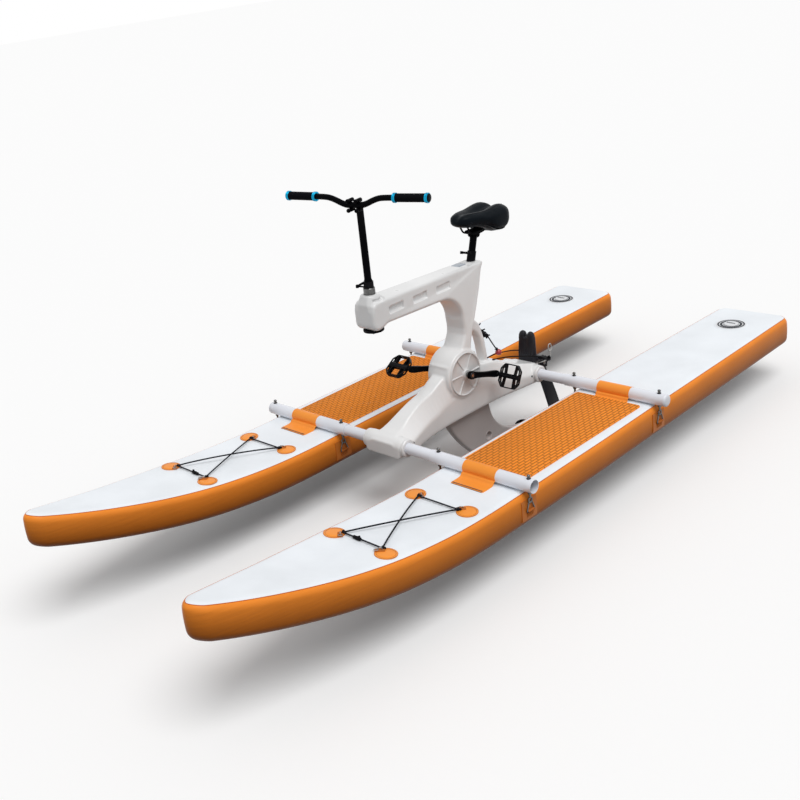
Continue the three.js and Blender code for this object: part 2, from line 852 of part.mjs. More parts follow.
const hub = at(0, crank.y, crank.height);
const across = (half, radius, count) => rod(at(-half, crank.y, crank.height), at(half, crank.y, crank.height), radius, count);
const bossFace = body.halfWidth + boss.proud;
const coverSeat = bossFace - cover.depth + gap;
const seatAxis = at(0, Math.sin(rad(seat.leanDeg)), Math.cos(rad(seat.leanDeg)));
const seatAt = (reach) => at(0, seat.y, body.topRear + seat.rise).addScaledVector(seatAxis, reach);
const postTop = seatAt(seat.postUp);
const shaftFoot = at(0, pod.y, pod.height);
const shaftAxis = shaftFoot.clone().sub(hub).normalize();
const shaftAt = (reach) => hub.clone().addScaledVector(shaftAxis, reach);
const shaftLength = shaftFoot.distanceTo(hub);

const pockets = [];
for (let i = 0; i < pocket.count; i++) {
  const y = pocket.first + i * pocket.pitch;
  const floor = pocket.floor - (i * pocket.drop) / 2;
  sides.forEach(([, sign]) => {
    const [near, far] = [sign * (body.halfWidth - pocket.depth), sign * (body.halfWidth + over)];
    pockets.push(block(at(Math.min(near, far), y, floor), at(Math.max(near, far), y + pocket.length, floor + pocket.height)));
  });
}

const scoops = [scoop.stemY, scoop.seatY].map((y) => {
  const ball = new THREE.SphereGeometry(scoop.radius, 28, 20).scale(scoop.halfWidth / (2 * scoop.depth * scoop.radius) ** 0.5, 1, 1);
  return ball.translate(0, y, topAt(y) + scoop.radius - scoop.depth);
});

const coverRecesses = sides.map(([, sign]) =>
  rod(at(sign * (coverSeat - gap), crank.y, crank.height), at(sign * (bossFace + over), crank.y, crank.height), cover.radius + gap, cover.sides),
);
const steererFloor = body.chinLow - 2 * gap;
const cables = sides.map(([, sign]) => at(sign * cable.x, cable.y, cable.height));

const shell = cut(
  join(
    slab(frame, 0, body.halfWidth, body.edge, body.edgeSteps),
    lowerHousing,
    ...sleeves,
    slab(brace, 0, strut.halfWidth, strut.edge, 2),
    across(bossFace, boss.radius, boss.sides),
    rod(at(0, steer.y, body.underFront + body.edge), at(0, steer.y, steer.bossTop), steer.bossRadius, steer.sides),
    block(at(-rudder.halfWidth, rudder.front - over, rudder.base - rudder.halfWidth), at(rudder.halfWidth, rudder.cheekRear, rudder.base + over)),
  ),
  ...tubeBores,
  across(bossFace + over, chamber.radius, chamber.sides),
  ...coverRecesses,
  ...pockets,
  ...scoops,
  rod(at(0, steer.y, body.chinLow - over), at(0, steer.y, steer.bossTop + over), steer.radius + gap, steer.sides),
  rod(seatAt(-seat.sleeveDown - gap), seatAt(seat.sleeveUp), seat.sleeveRadius + gap, seat.sides),
  rod(shaftAt(chamber.radius / 2), shaftAt(shaftLength), shaft.bore, shaft.sides),
  block(at(-board.offset, rudder.front - gap, rudder.base - gap), at(board.offset, rudder.rear, rudder.cheekTop)),
);
add("body_shell", shell, "shellWhite");

// Round covers over the gear chamber, with a raised rim, a bearing hub and radial ribs
sides.forEach(([side, sign]) => {
  const face = cover.depth;
  const profile = [
    [crank.radius + gap, 0],
    [cover.radius, 0],
    [cover.radius, face],
    [cover.radius - cover.rim, face + cover.dome],
    [cover.radius - cover.rim, face],
    [cover.hub, face + cover.dome],
    [cover.hub, face + cover.hubProud],
    [crank.radius + gap, face + cover.hubProud],
  ];
  profile.push(profile[0]);
  const disc = turned(profile, at(sign * coverSeat, crank.y, crank.height), at(sign, 0, 0), cover.sides);
  const ribs = Array.from({ length: cover.ribs }, (_, i) => {
    const [low, high] = [coverSeat + face / 2, coverSeat + face + cover.dome + cover.ribProud];
    const bladeShape = block(
      at(Math.min(sign * low, sign * high), -cover.ribWidth / 2, cover.hub - cover.rim / 2),
      at(Math.max(sign * low, sign * high), cover.ribWidth / 2, cover.radius - cover.rim / 2),
    );
    return bladeShape.rotateX((2 * Math.PI * (i + 0.5)) / cover.ribs).translate(0, crank.y, crank.height);
  });
  add("gear_cover_" + side, join(disc, ...ribs), "shellWhite");
});

// Drive leg: a thin swept fin with a round hole, a torpedo pod and a short skeg
const fin = new THREE.Shape();
fin.moveTo(leg.frontTop, leg.top - gap);
fin.quadraticCurveTo(leg.frontMidY, leg.frontMidHeight, leg.frontFoot, leg.footHeight);
fin.lineTo(leg.rearFoot, leg.footHeight);
fin.lineTo(leg.rearFoot, leg.rearFootHeight);
fin.quadraticCurveTo(leg.rearMidY, leg.rearMidHeight, leg.rearTop, leg.top - gap);
fin.closePath();
const skeg = outlineOf([
  [leg.skegFront, pod.height],
  [leg.skegRear, pod.height],
  [leg.skegRear, leg.skeg + leg.edge],
  [leg.skegRear - leg.edge, leg.skeg],
  [leg.skegFront + 4 * leg.edge, leg.skeg],
]);
const podProfile = [
  [0, pod.nose],
  [pod.radius * 0.5, pod.nose + pod.noseBlunt],
  [pod.radius * 0.84, pod.nose + pod.noseRound],
  [pod.radius, pod.shoulder],
  [pod.radius, pod.taper],
  [pod.tailRadius, pod.tail],
  [0, pod.tail],
];
const podBody = turned(podProfile, at(0, 0, pod.height), at(0, 1, 0), pod.sides);
const podLine = (from, to, radius, count) => rod(at(0, from, pod.height), at(0, to, pod.height), radius, count);
const driveLeg = cut(
  join(slab(fin, 0, leg.halfThick, leg.edge, 2, leg.curveSteps), slab(skeg, 0, leg.edge / 2), podBody),
  rod(at(-2 * leg.halfThick, leg.holeY, leg.holeHeight), at(2 * leg.halfThick, leg.holeY, leg.holeHeight), leg.holeRadius, 24),
  rod(shaftAt(shaftLength / 3), shaftAt(shaftLength - lower.driveRadius / 2), shaft.bore, shaft.sides),
  podLine(pod.cavityFront, pod.cavityRear, pod.cavity, pod.sides),
  podLine(pod.cavityRear - over, pod.tail + over, shaft.propBore, shaft.sides),
);
add("drive_leg", driveLeg, "legGrey");

// Bevel gears. Each is made along +Z with the shared apex at the origin.
function bevel(teeth, radius, mate, angle, face, web) {
  const cone = Math.atan2(Math.sin(angle), mate / teeth + Math.cos(angle));
  const reach = radius / Math.sin(cone);
  const unit = (2 * radius) / teeth;
  const ringAt = (distance, back, flat) => {
    const size = distance / reach;
    const points = [];
    for (let i = 0; i < teeth; i++) {
      [
        [-tooth.rootShare, -tooth.dedendumShare],
        [-tooth.tipShare, tooth.addendumShare],
        [tooth.tipShare, tooth.addendumShare],
        [tooth.rootShare, -tooth.dedendumShare],
      ].forEach(([turn, high]) => {
        const lifted = (flat ? -tooth.dedendumShare : high) * unit * size;
        const r = distance * Math.sin(cone) + lifted * Math.cos(cone);
        const z = distance * Math.cos(cone) - lifted * Math.sin(cone) + back;
        const place = (2 * Math.PI * (i + turn)) / teeth;
        points.push(at(r * Math.cos(place), r * Math.sin(place), z));
      });
    }
    return points;
  };
  const blank = loft([ringAt(reach, web, true), ringAt(reach, 0, false), ringAt(reach - face, 0, false)]);
  return { blank, height: reach * Math.cos(cone) };
}

// Turns a piece made along +Z so that it runs along an axis, with its own +X towards a given side
function aim(geometry, origin, axis, side) {
  const z = axis.clone().normalize();
  const x = side.clone().addScaledVector(z, -side.dot(z)).normalize();
  const y = new THREE.Vector3().crossVectors(z, x);
  return geometry.applyMatrix4(new THREE.Matrix4().makeBasis(x, y, z)).translate(origin.x, origin.y, origin.z);
}

// Crank axle with its large bevel gear
const upperAngle = Math.PI / 2;
const toPort = at(1, 0, 0);
const crankGear = bevel(gear.crankTeeth, gear.crankRadius, gear.pinionTeeth, upperAngle, gear.face, gear.web);
const gearHub = rod(at(crankGear.height - gear.face / 2, crank.y, crank.height), at(coverSeat - gap, crank.y, crank.height), gear.hub, crank.sides);
add(
  "crank_axle",
  join(
    aim(crankGear.blank, hub, toPort, shaftAxis),
    gearHub,
    across(crank.plane - crank.thick / 2 - gap, crank.radius, crank.sides),
    across(spindle.length, spindle.radius, spindle.sides),
  ),
  "steel",
);

// Crank arms and their pedals
sides.forEach(([side, sign]) => {
  const lean = rad(crank.angleDeg);
  const along = at(0, sign * Math.cos(lean), -sign * Math.sin(lean));
  const normal = at(0, along.z, -along.y);
  const edgePoints = [];
  const arc = (reach, radius, from, to) => {
    for (let i = 0; i <= crank.arcSteps; i++) {
      const angle = lerp(from, to, i / crank.arcSteps);
      edgePoints.push([reach + radius * Math.cos(angle), radius * Math.sin(angle)]);
    }
  };
  arc(crank.length, crank.tipRadius, -Math.PI / 2, Math.PI / 2);
  const flank = crank.placeShares.map((share, i) => [crank.length * share, crank.waist * crank.waistShares[i]]);
  edgePoints.push(...flank);
  arc(0, crank.bossRadius, Math.PI / 3, (5 * Math.PI) / 3);
  edgePoints.push(...flank.map(([u, v]) => [u, -v]).reverse());
  const armOutline = outlineOf(
    edgePoints.map(([u, v]) => [crank.y + u * along.y + v * normal.y, crank.height + u * along.z + v * normal.z]),
  );
  const tip = hub.clone().addScaledVector(along, crank.length);
  const arm = slab(armOutline, sign * crank.plane, crank.thick / 2, crank.edge, 1);
  const pinEnd = pedal.x + pedal.halfWidth / 2;
  const pin = rod(at(sign * crank.plane, tip.y, tip.z), at(sign * pinEnd, tip.y, tip.z), pedal.pin, pedal.sides);
  const collar = rod(at(sign * crank.plane, tip.y, tip.z), at(sign * (pedal.x - pedal.halfWidth - gap), tip.y, tip.z), pedal.barHalf * pedal.collarShare, pedal.sides);
  add("crank_arm_" + side, cut(join(arm, pin, collar), across(spindle.length + over, spindle.radius + gap, spindle.sides)), "black");

  const hexagon = (half, long, corner) => [
    [half, long - corner],
    [half - corner * pedal.cornerShare, long],
    [corner * pedal.cornerShare - half, long],
    [-half, long - corner],
  ];
  const rim = hexagon(pedal.halfWidth, pedal.halfLength, pedal.chamfer);
  const plate = new THREE.Shape([...rim, ...rim.map(([u, v]) => [-u, -v])].map(([u, v]) => new THREE.Vector2(u, v)));
  const inner = hexagon(pedal.halfWidth - pedal.wall, pedal.halfLength - pedal.wall, pedal.chamfer);
  [1, -1].forEach((way) => {
    const windowPoints = [...inner, ...[-1, 1].map((end) => [end * (pedal.halfWidth - pedal.wall), pedal.barHalf * pedal.barShare])];
    plate.holes.push(new THREE.Path(windowPoints.map(([u, v]) => new THREE.Vector2(way * u, way * v))));
  });
  const cage = new THREE.ExtrudeGeometry(plate, { depth: 2 * pedal.halfThick, bevelEnabled: false }).translate(0, 0, -pedal.halfThick);
  const barrel = rod(at(-pedal.halfWidth, 0, 0), at(pedal.halfWidth, 0, 0), pedal.barHalf, crank.sides);
  const bearing = rod(at(-pedal.halfWidth - over, 0, 0), at(pedal.halfWidth / 2 + over, 0, 0), pedal.bearing, pedal.sides);
  const slots = [-1, 1].map((way) =>
    block(
      at(way * pedal.slotPlace - pedal.slotHalf, -pedal.halfLength - over, -pedal.slotHigh / 2),
      at(way * pedal.slotPlace + pedal.slotHalf, pedal.halfLength + over, pedal.slotHigh / 2),
    ),
  );
  const ringOnly = cut(cage, ...slots);
  const whole = cut(join(ringOnly, barrel), bearing);
  whole.rotateX(rad(pedal.tiltDeg[side]));
  if (sign < 0) whole.rotateY(Math.PI);
  add("pedal_" + side, whole.translate(sign * pedal.x, tip.y, tip.z), "black");
});

// Drive shaft between the two bevel pairs, and the propeller shaft
const lowerAngle = Math.acos(-shaftAxis.y);
const pinion = bevel(gear.pinionTeeth, (gear.crankRadius * gear.pinionTeeth) / gear.crankTeeth, gear.crankTeeth, upperAngle, gear.face, gear.web);
const driveGear = bevel(lower.driveTeeth, lower.driveRadius, lower.propTeeth, lowerAngle, lower.face, lower.web);
const propGear = bevel(lower.propTeeth, (lower.driveRadius * lower.propTeeth) / lower.driveTeeth, lower.driveTeeth, lowerAngle, lower.face, lower.web);
const upShaft = shaftAxis.clone().negate();
const aft = at(0, 1, 0);
add(
  "drive_shaft",
  join(
    aim(pinion.blank.rotateZ(Math.PI / gear.pinionTeeth), hub, shaftAxis, toPort),
    aim(driveGear.blank, shaftFoot, upShaft, aft),
    rod(shaftAt(pinion.height), shaftAt(shaftLength - driveGear.height - lower.web / 2), shaft.radius, shaft.sides),
  ),
  "steel",
);
const shaftEnd = prop.y + prop.hubLength / 2;
add(
  "prop_shaft",
  join(
    aim(propGear.blank.rotateZ(Math.PI / lower.propTeeth), shaftFoot, aft, upShaft),
    podLine(pod.y + propGear.height, shaftEnd - over, shaft.propRadius, shaft.sides),
  ),
  "steel",
);

// Two-bladed propeller
function propBlade(turn) {
  const count = prop.chords.length;
  const rings = prop.chords.map((chord, i) => {
    const share = i / (count - 1);
    const pitch = rad(lerp(prop.rootPitchDeg, prop.tipPitchDeg, share));
    const reach = lerp(prop.root, prop.tipRadius, share);
    const thick = lerp(prop.thick, prop.thick / 3, share);
    return Array.from({ length: prop.sectionSides }, (_, k) => {
      const angle = (2 * Math.PI * k) / prop.sectionSides;
      const [u, v] = [(chord / 2) * Math.cos(angle), (thick / 2) * Math.sin(angle)];
      return at(reach, v * Math.cos(pitch) - u * Math.sin(pitch), u * Math.cos(pitch) + v * Math.sin(pitch));
    });
  });
  return loft(rings).rotateY(turn - rad(prop.parkDeg)).translate(0, prop.y, pod.height);
}
const hubProfile = [
  [0, -prop.hubLength / 2],
  [prop.hubRadius, -prop.hubLength / 2],
  [prop.hubRadius, prop.hubLength / 2],
  [prop.hubRadius * 0.7, prop.hubLength / 2 + prop.noseLength * 0.7],
  [0, prop.hubLength / 2 + prop.noseLength],
];
const blades = Array.from({ length: prop.blades }, (_, i) => propBlade((2 * Math.PI * i) / prop.blades));
add(
  "propeller",
  cut(
    join(turned(hubProfile, at(0, prop.y, pod.height), aft, prop.sides), ...blades),
    podLine(prop.y - prop.hubLength, shaftEnd - over + gap, shaft.propRadius + gap, shaft.sides),
  ),
  "black",
);

// Quick-release band with an eared slit, pin and nut, and its lever. Made about +Z, ears aft, lever to port.
function quickRelease(inner) {
  const outer = inner + lever.band;
  const tall = (radius, high) => rod(at(0, 0, -high), at(0, 0, high), radius, steer.sides);
  const ears = block(at(-lever.earHalf, inner, -lever.halfHigh * 0.8), at(lever.earHalf, outer + lever.earReach, lever.halfHigh * 0.8));
  const pinY = outer + lever.earReach / 2;
  const camX = outer + lever.thick;
  const nut = rod(at(-lever.nutReach, pinY, 0), at(-lever.earHalf + gap, pinY, 0), lever.nut, 12);
  const slit = block(at(-lever.slit, 0, -2 * lever.halfHigh), at(lever.slit, outer + 2 * lever.earReach, 2 * lever.halfHigh));
  const pin = rod(at(-lever.nutReach + gap, pinY, 0), at(camX - lever.cam - gap, pinY, 0), lever.pin, 10);
  const ringBand = cut(join(cut(join(tall(outer, lever.halfHigh), ears), slit), pin, nut), tall(inner, 2 * lever.halfHigh));
  const cam = rod(at(camX, pinY, -lever.high / 2), at(camX, pinY, lever.high / 2), lever.cam, 14);
  const grip = block(at(camX - lever.thick / 2, pinY - lever.handle, -lever.high / 2 + lever.edge), at(camX + lever.thick / 2, pinY, lever.high / 2 - lever.edge));
  const tipEnd = rod(at(camX, pinY - lever.handle, -lever.high / 2), at(camX, pinY - lever.handle, lever.high / 2), lever.cam * 0.8, 12);
  return { band: ringBand, lever: join(cam, grip, tipEnd), hinge: at(camX, pinY, 0) };
}

// Steered column: everything here turns together about the steerer
const steering = new THREE.Group();
steering.position.set(0, steer.y, 0);
steering.rotation.z = rad(steer.turnDeg);
craft.add(steering);
const upright = (low, high, radius, count = steer.sides) => rod(at(0, 0, low), at(0, 0, high), radius, count);
const collarTop = steer.bossTop + gap + steer.collarHeight;
const bandMiddle = collarTop + gap + lever.halfHigh;
const steererTop = bandMiddle + lever.halfHigh - gap;
const steererBore = steer.radius - steer.wall;
add(
  "steerer_tube",
  cut(
    upright(steererFloor - steer.discThick, steererTop, steer.radius),
    upright(steererFloor - 2 * steer.discThick, steererTop + over, steererBore),
  ),
  "black",
  steering,
);
add(
  "steering_disc",
  cut(upright(steererFloor - steer.discThick, steererFloor, steer.discRadius), upright(0, steererTop, steer.radius + gap)),
  "black",
  steering,
);
const collarBolts = [-1, 1].map((way) => {
  const z = steer.bossTop + steer.collarHeight / 2 + (way * steer.collarHeight) / 4;
  return rod(at(0, steer.collarRadius - lever.pin, z), at(0, steer.collarRadius + lever.pin, z), lever.pin, 10);
});
add(
  "head_collar",
  cut(join(upright(steer.bossTop + gap, collarTop, steer.collarRadius), ...collarBolts), upright(0, post.top, steer.radius + gap)),
  "stainless",
  steering,
);
const stemRelease = quickRelease(steer.radius + gap);
add("stem_band", stemRelease.band.rotateZ(Math.PI).translate(0, 0, bandMiddle), "black", steering);
add("stem_lever", stemRelease.lever.rotateZ(Math.PI).translate(0, 0, bandMiddle), "black", steering);
const postBottom = steererTop - post.insert;
add("stem_post", cut(upright(postBottom, post.top, post.radius, post.sides), upright(postBottom - over, post.top + over, post.radius - post.wall, post.sides)), "black", steering);

// Bar clamp, handlebar and grips
const barHeight = post.top + clamp.rise;
const [clampLow, clampHigh] = [post.top - clamp.skirt, post.top + clamp.crown];
const barLine = (y, z, x0, x1, radius, count) => rod(at(x0, y, z), at(x1, y, z), radius, count);
const clampBlock = join(
  barLine(-clamp.forward, barHeight, -clamp.halfWidth, clamp.halfWidth, clamp.radius, 16),
  upright(clampLow, clampHigh, clamp.postRadius),
  block(at(-clamp.postRadius * 0.8, -clamp.forward, clampLow + clamp.lip), at(clamp.postRadius * 0.8, 0, clampHigh)),
  ...[-1, 1].flatMap((u) =>
    [-1, 1].flatMap((v) => {
      const [x, z] = [u * clamp.boltX, barHeight + v * clamp.boltZ];
      const front = -clamp.forward - clamp.radius - clamp.reach / 4;
      return rod(at(x, front - clamp.boltHead, z), at(x, -clamp.forward + clamp.reach, z), clamp.boltHead, 8);
    }),
  ),
);
add(
  "stem_clamp",
  cut(
    clampBlock,
    barLine(-clamp.forward, barHeight, -bar.halfLength, bar.halfLength, bar.radius + 2 * gap, 14),
    upright(clampLow - over, post.top + gap, post.radius + gap, post.sides),
  ),
  "black",
  steering,
);
const barEnd = bar.halfLength - bar.cap;
const barAt = (reach) => {
  const share = (Math.abs(reach) - bar.slope) / (bar.halfLength - bar.slope);
  return at(reach, -clamp.forward + bar.sweep * share, barHeight + bar.rise);
};
const barPoints = [barEnd, (barEnd + bar.slope) / 2 + bar.slope / 4, (barEnd + bar.slope) / 2 - bar.slope / 4, bar.slope].map(barAt);
const centre = [bar.flat, bar.flat / 2, -bar.flat / 2, -bar.flat].map((x) => at(x, -clamp.forward, barHeight));
const barPath = [...barPoints, ...centre, ...barPoints.map((p) => at(-p.x, p.y, p.z)).reverse()];
add("handlebar", swept(barPath, bar.radius, bar.sides, bar.steps), "black", steering);
sides.forEach(([side, sign]) => {
  const place = (reach) => barAt(sign * reach);
  const inner = bar.halfLength - bar.grip;
  const pieces = [
    rod(place(inner), place(bar.halfLength), bar.gripRadius, 14),
    rod(place(inner), place(inner + bar.lock), bar.lockRadius, 14),
    rod(place(bar.halfLength - bar.lock), place(bar.halfLength), bar.lockRadius, 14),
  ];
  add("grip_" + side, cut(join(...pieces), rod(place(inner - over), place(barEnd + gap), bar.radius + gap, 12)), "rubber", steering);
});

// Seat sleeve, collar, post and saddle
const seatTurn = new THREE.Quaternion().setFromUnitVectors(at(0, 0, 1), seatAxis);
const onSeat = (geometry, reach) => {
  const p = seatAt(reach);
  return geometry.applyQuaternion(seatTurn).translate(p.x, p.y, p.z);
};
add(
  "seat_sleeve",
  cut(rod(seatAt(-seat.sleeveDown), seatAt(seat.sleeveUp), seat.sleeveRadius, seat.sides), rod(seatAt(-seat.sleeveDown - over), seatAt(seat.sleeveUp + over), seat.postRadius + gap, seat.sides)),
  "black",
);
const seatRelease = quickRelease(seat.sleeveRadius + gap);
add("seat_collar", onSeat(seatRelease.band.rotateZ(Math.PI), seat.sleeveUp - lever.halfHigh), "black");
add("seat_lever", onSeat(seatRelease.lever.rotateZ(Math.PI), seat.sleeveUp - lever.halfHigh), "black");
add("seat_post", rod(seatAt(-seat.insert), seatAt(seat.postUp), seat.postRadius, seat.sides), "black");

function saddleRing(i) {
  const y = postTop.y + lerp(-saddle.ahead, saddle.behind, saddle.placeShares[i]);
  const half = saddle.widths[i];
  const [low, high] = [saddle.bottoms[i], saddle.tops[i]].map((lift) => postTop.z + saddle.rise + lift);
  const [middle, tall] = [(low + high) / 2, (high - low) / 2];
  return Array.from({ length: saddle.sides }, (_, k) => {
    const angle = (2 * Math.PI * (k + 0.5)) / saddle.sides;
    const [c, s] = [Math.cos(angle), Math.sin(angle)];
    const x = half * Math.sign(c) * Math.abs(c) ** 0.8;
    const dish = s > 0 ? 2 * tall * saddle.dishShares[i] * (1 - Math.abs(c)) ** 1.5 : 0;
    return at(x, y, middle + tall * Math.sign(s) * Math.abs(s) ** 0.75 - dish);
  });
}
const cushion = loft(saddle.placeShares.map((_, i) => saddleRing(i)));
const seatClamp = block(
  at(-saddle.clampHalf, postTop.y - saddle.clampLong, postTop.z - saddle.clampHalf),
  at(saddle.clampHalf, postTop.y + saddle.clampLong, postTop.z + saddle.baseRise),
);
add("saddle", cut(join(cushion, seatClamp), rod(seatAt(0), seatAt(seat.postUp + gap), seat.postRadius + gap, seat.sides)), "hide");

// Rudder: a fixed bracket with two parking cheeks, a steered head and a lifting blade
const plateTop = rudder.base + rudder.thick;
const plate = block(at(-rudder.halfWidth, rudder.front, rudder.base), at(rudder.halfWidth, rudder.rear, plateTop));
const cheekOutline = new THREE.Shape();
const [cheekHalf, cheekMid] = [(rudder.cheekRear - rudder.cheekFront) / 2, (rudder.cheekRear + rudder.cheekFront) / 2];
cheekOutline.moveTo(rudder.cheekRear, plateTop - over);
cheekOutline.lineTo(rudder.cheekRear, rudder.cheekTop - cheekHalf);
cheekOutline.absarc(cheekMid, rudder.cheekTop - cheekHalf, cheekHalf, 0, Math.PI, false);
cheekOutline.lineTo(rudder.cheekFront, plateTop - over);
cheekOutline.closePath();
const [cheekMiddle, cheekThick] = [(rudder.cheekInner + rudder.cheekOuter) / 2, (rudder.cheekOuter - rudder.cheekInner) / 2];
const cheeks = [1, -1].map((sign) => slab(cheekOutline, sign * cheekMiddle, cheekThick, rudder.cheekEdge, 2, 5));
const web = block(at(-cheekMiddle, rudder.cheekFront + over, plateTop - over), at(cheekMiddle, cheekMid, rudder.cheekTop - 2 * cheekHalf));
add(
  "rudder_bracket",
  cut(join(plate, ...cheeks, web), rod(at(0, rudder.y, rudder.base - over), at(0, rudder.y, plateTop + over), rudder.stock + gap, 12)),
  "black",
);

const swing = new THREE.Group();
swing.position.set(0, rudder.y, 0);
swing.rotation.z = -rad(steer.turnDeg * rudder.ratio);
craft.add(swing);
const own = (y) => y - rudder.y;
const wingLow = plateTop + gap;
const wingTop = wingLow + rudder.wingThick;
const wingOutline = new THREE.Shape();
wingOutline.absarc(rudder.wing, 0, rudder.wingHalf, -Math.PI / 2, Math.PI / 2, false);
wingOutline.absarc(-rudder.wing, 0, rudder.wingHalf, Math.PI / 2, (3 * Math.PI) / 2, false);
wingOutline.closePath();
const wings = new THREE.ExtrudeGeometry(wingOutline, { depth: rudder.wingThick, bevelEnabled: false, curveSegments: 8 }).translate(0, 0, wingLow);
const headTop = rudder.base - gap;
const head = block(at(-rudder.headHalf, own(rudder.headFront), rudder.headLow), at(rudder.headHalf, own(rudder.headRear), headTop));
const slotHalf = rudder.blade / 2 + rudder.slotGap;
const slotCut = block(
  at(-slotHalf, own(rudder.pivotY - rudder.bladeBoss - rudder.slotAhead), rudder.headLow - over),
  at(slotHalf, own(rudder.headRear + over), headTop + over),
);
const pivotPin = rod(at(-rudder.headHalf, own(rudder.pivotY), rudder.pivotHeight), at(rudder.headHalf, own(rudder.pivotY), rudder.pivotHeight), rudder.pivotRadius, 14);
add(
  "rudder_head",
  join(cut(head, slotCut), pivotPin, rod(at(0, 0, rudder.headLow + over), at(0, 0, wingTop + over), rudder.stock, 12), wings),
  "black",
  swing,
);

const pivot = [own(rudder.pivotY), rudder.pivotHeight];
const bladeOutline = outlineOf([
  [pivot[0] - rudder.bladeBoss, pivot[1]],
  [own(rudder.leadTop), rudder.leadTopHeight],
  [own(rudder.leadFoot), rudder.foot],
  [own(rudder.trailFoot), rudder.trailFootHeight],
  [own(rudder.trailTop), rudder.trailTopHeight],
  [pivot[0] + rudder.bladeBoss * Math.SQRT1_2, pivot[1] - rudder.bladeBoss * Math.SQRT1_2],
  [own(rudder.hornY), rudder.hornHeight - rudder.hornHalf],
  [own(rudder.hornY), rudder.hornHeight + rudder.hornHalf],
  [pivot[0], pivot[1] + rudder.bladeBoss],
]);
add(
  "rudder_blade",
  cut(slab(bladeOutline, 0, rudder.blade / 2), rod(at(-rudder.headHalf, ...pivot), at(rudder.headHalf, ...pivot), rudder.pivotRadius + gap, 14)),
  "black",
  swing,
);

// Steering cables from the housing to the two wing ends
swing.updateMatrixWorld(true);
sides.forEach(([side, sign], i) => {
  const wingEnd = at(sign * rudder.wing, 0, wingTop + gap + cable.radius).applyAxisAngle(at(0, 0, 1), swing.rotation.z).add(swing.position);
  const middle = cables[i].clone().lerp(wingEnd, 0.5);
  middle.z += cable.sag;
  const line = swept([cables[i], middle, wingEnd], cable.radius, cable.sides, cable.steps);
  const end = new THREE.CylinderGeometry(cable.end, cable.end, 2 * cable.radius, 12).rotateX(Math.PI / 2);
  add("steering_cable_" + side, join(line, end.translate(wingEnd.x, wingEnd.y, wingEnd.z)), "cord");
});

// Lift cord with its ball, tied at the strut
const strutShare = (strut.outerHeight - pull.startHeight) / (strut.outerHeight - strut.foot);
const strutFace = lerp(strut.outerY, strut.outerFootY, strutShare);
const ballCentre = at(pull.x, pull.ballY, pull.ballHeight);
const bend = at(pull.x, pull.bendY, pull.bendHeight);
const toCord = bend.clone().sub(ballCentre).normalize();
const pullPoints = [
  at(pull.x, strutFace + 2 * gap + pull.knot, pull.startHeight),
  bend,
  ballCentre.clone().addScaledVector(toCord, pull.ball + gap),
];
const knots = pullPoints.slice(0, 2).map((p) => new THREE.SphereGeometry(pull.knot, 6, 5).translate(p.x, p.y, p.z));
add("lift_cord", join(swept(pullPoints, pull.radius, pull.sides, pull.steps), ...knots), "cord");
const ball = new THREE.SphereGeometry(pull.ball, 14, 9);
ball.applyQuaternion(new THREE.Quaternion().setFromUnitVectors(at(0, 1, 0), toCord));
add("lift_ball", ball.translate(ballCentre.x, ballCentre.y, ballCentre.z), "orange");

export default craft;
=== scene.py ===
"""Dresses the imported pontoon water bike: shapes, materials, stage and camera."""

import math

import bmesh
import bpy
from bpy.props import FloatProperty, FloatVectorProperty, PointerProperty
from mathutils import Matrix, Vector


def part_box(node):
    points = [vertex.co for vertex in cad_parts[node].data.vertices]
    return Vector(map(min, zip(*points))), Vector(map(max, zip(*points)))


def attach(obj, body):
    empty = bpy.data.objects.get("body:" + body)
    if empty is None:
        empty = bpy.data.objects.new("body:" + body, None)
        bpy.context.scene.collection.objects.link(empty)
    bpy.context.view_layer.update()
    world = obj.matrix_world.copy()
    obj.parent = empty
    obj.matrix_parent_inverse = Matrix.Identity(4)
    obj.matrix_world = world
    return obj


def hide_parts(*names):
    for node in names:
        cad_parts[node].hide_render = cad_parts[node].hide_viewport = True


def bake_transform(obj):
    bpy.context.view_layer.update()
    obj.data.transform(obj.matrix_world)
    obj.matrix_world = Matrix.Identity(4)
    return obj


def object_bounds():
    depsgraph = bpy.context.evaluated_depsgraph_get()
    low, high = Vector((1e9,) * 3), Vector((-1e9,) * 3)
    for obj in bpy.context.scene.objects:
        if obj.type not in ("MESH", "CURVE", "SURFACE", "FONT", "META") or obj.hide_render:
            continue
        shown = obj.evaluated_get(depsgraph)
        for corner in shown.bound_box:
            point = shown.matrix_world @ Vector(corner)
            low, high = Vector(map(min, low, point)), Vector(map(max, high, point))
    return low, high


bl_info = {
    "name": "Pontoon Water Bike",
    "version": (1, 0, 0),
    "blender": (4, 5, 0),
    "location": "View3D > Sidebar > Water Bike",
    "description": "Builds the dressed pontoon water bike around its packed frame",
    "category": "Object",
}

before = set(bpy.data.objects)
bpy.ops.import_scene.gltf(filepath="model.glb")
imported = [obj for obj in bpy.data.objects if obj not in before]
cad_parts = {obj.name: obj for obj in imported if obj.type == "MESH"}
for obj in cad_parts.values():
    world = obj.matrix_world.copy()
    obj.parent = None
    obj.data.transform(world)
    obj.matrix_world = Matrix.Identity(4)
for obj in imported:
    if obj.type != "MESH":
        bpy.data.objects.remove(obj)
CAD_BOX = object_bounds()

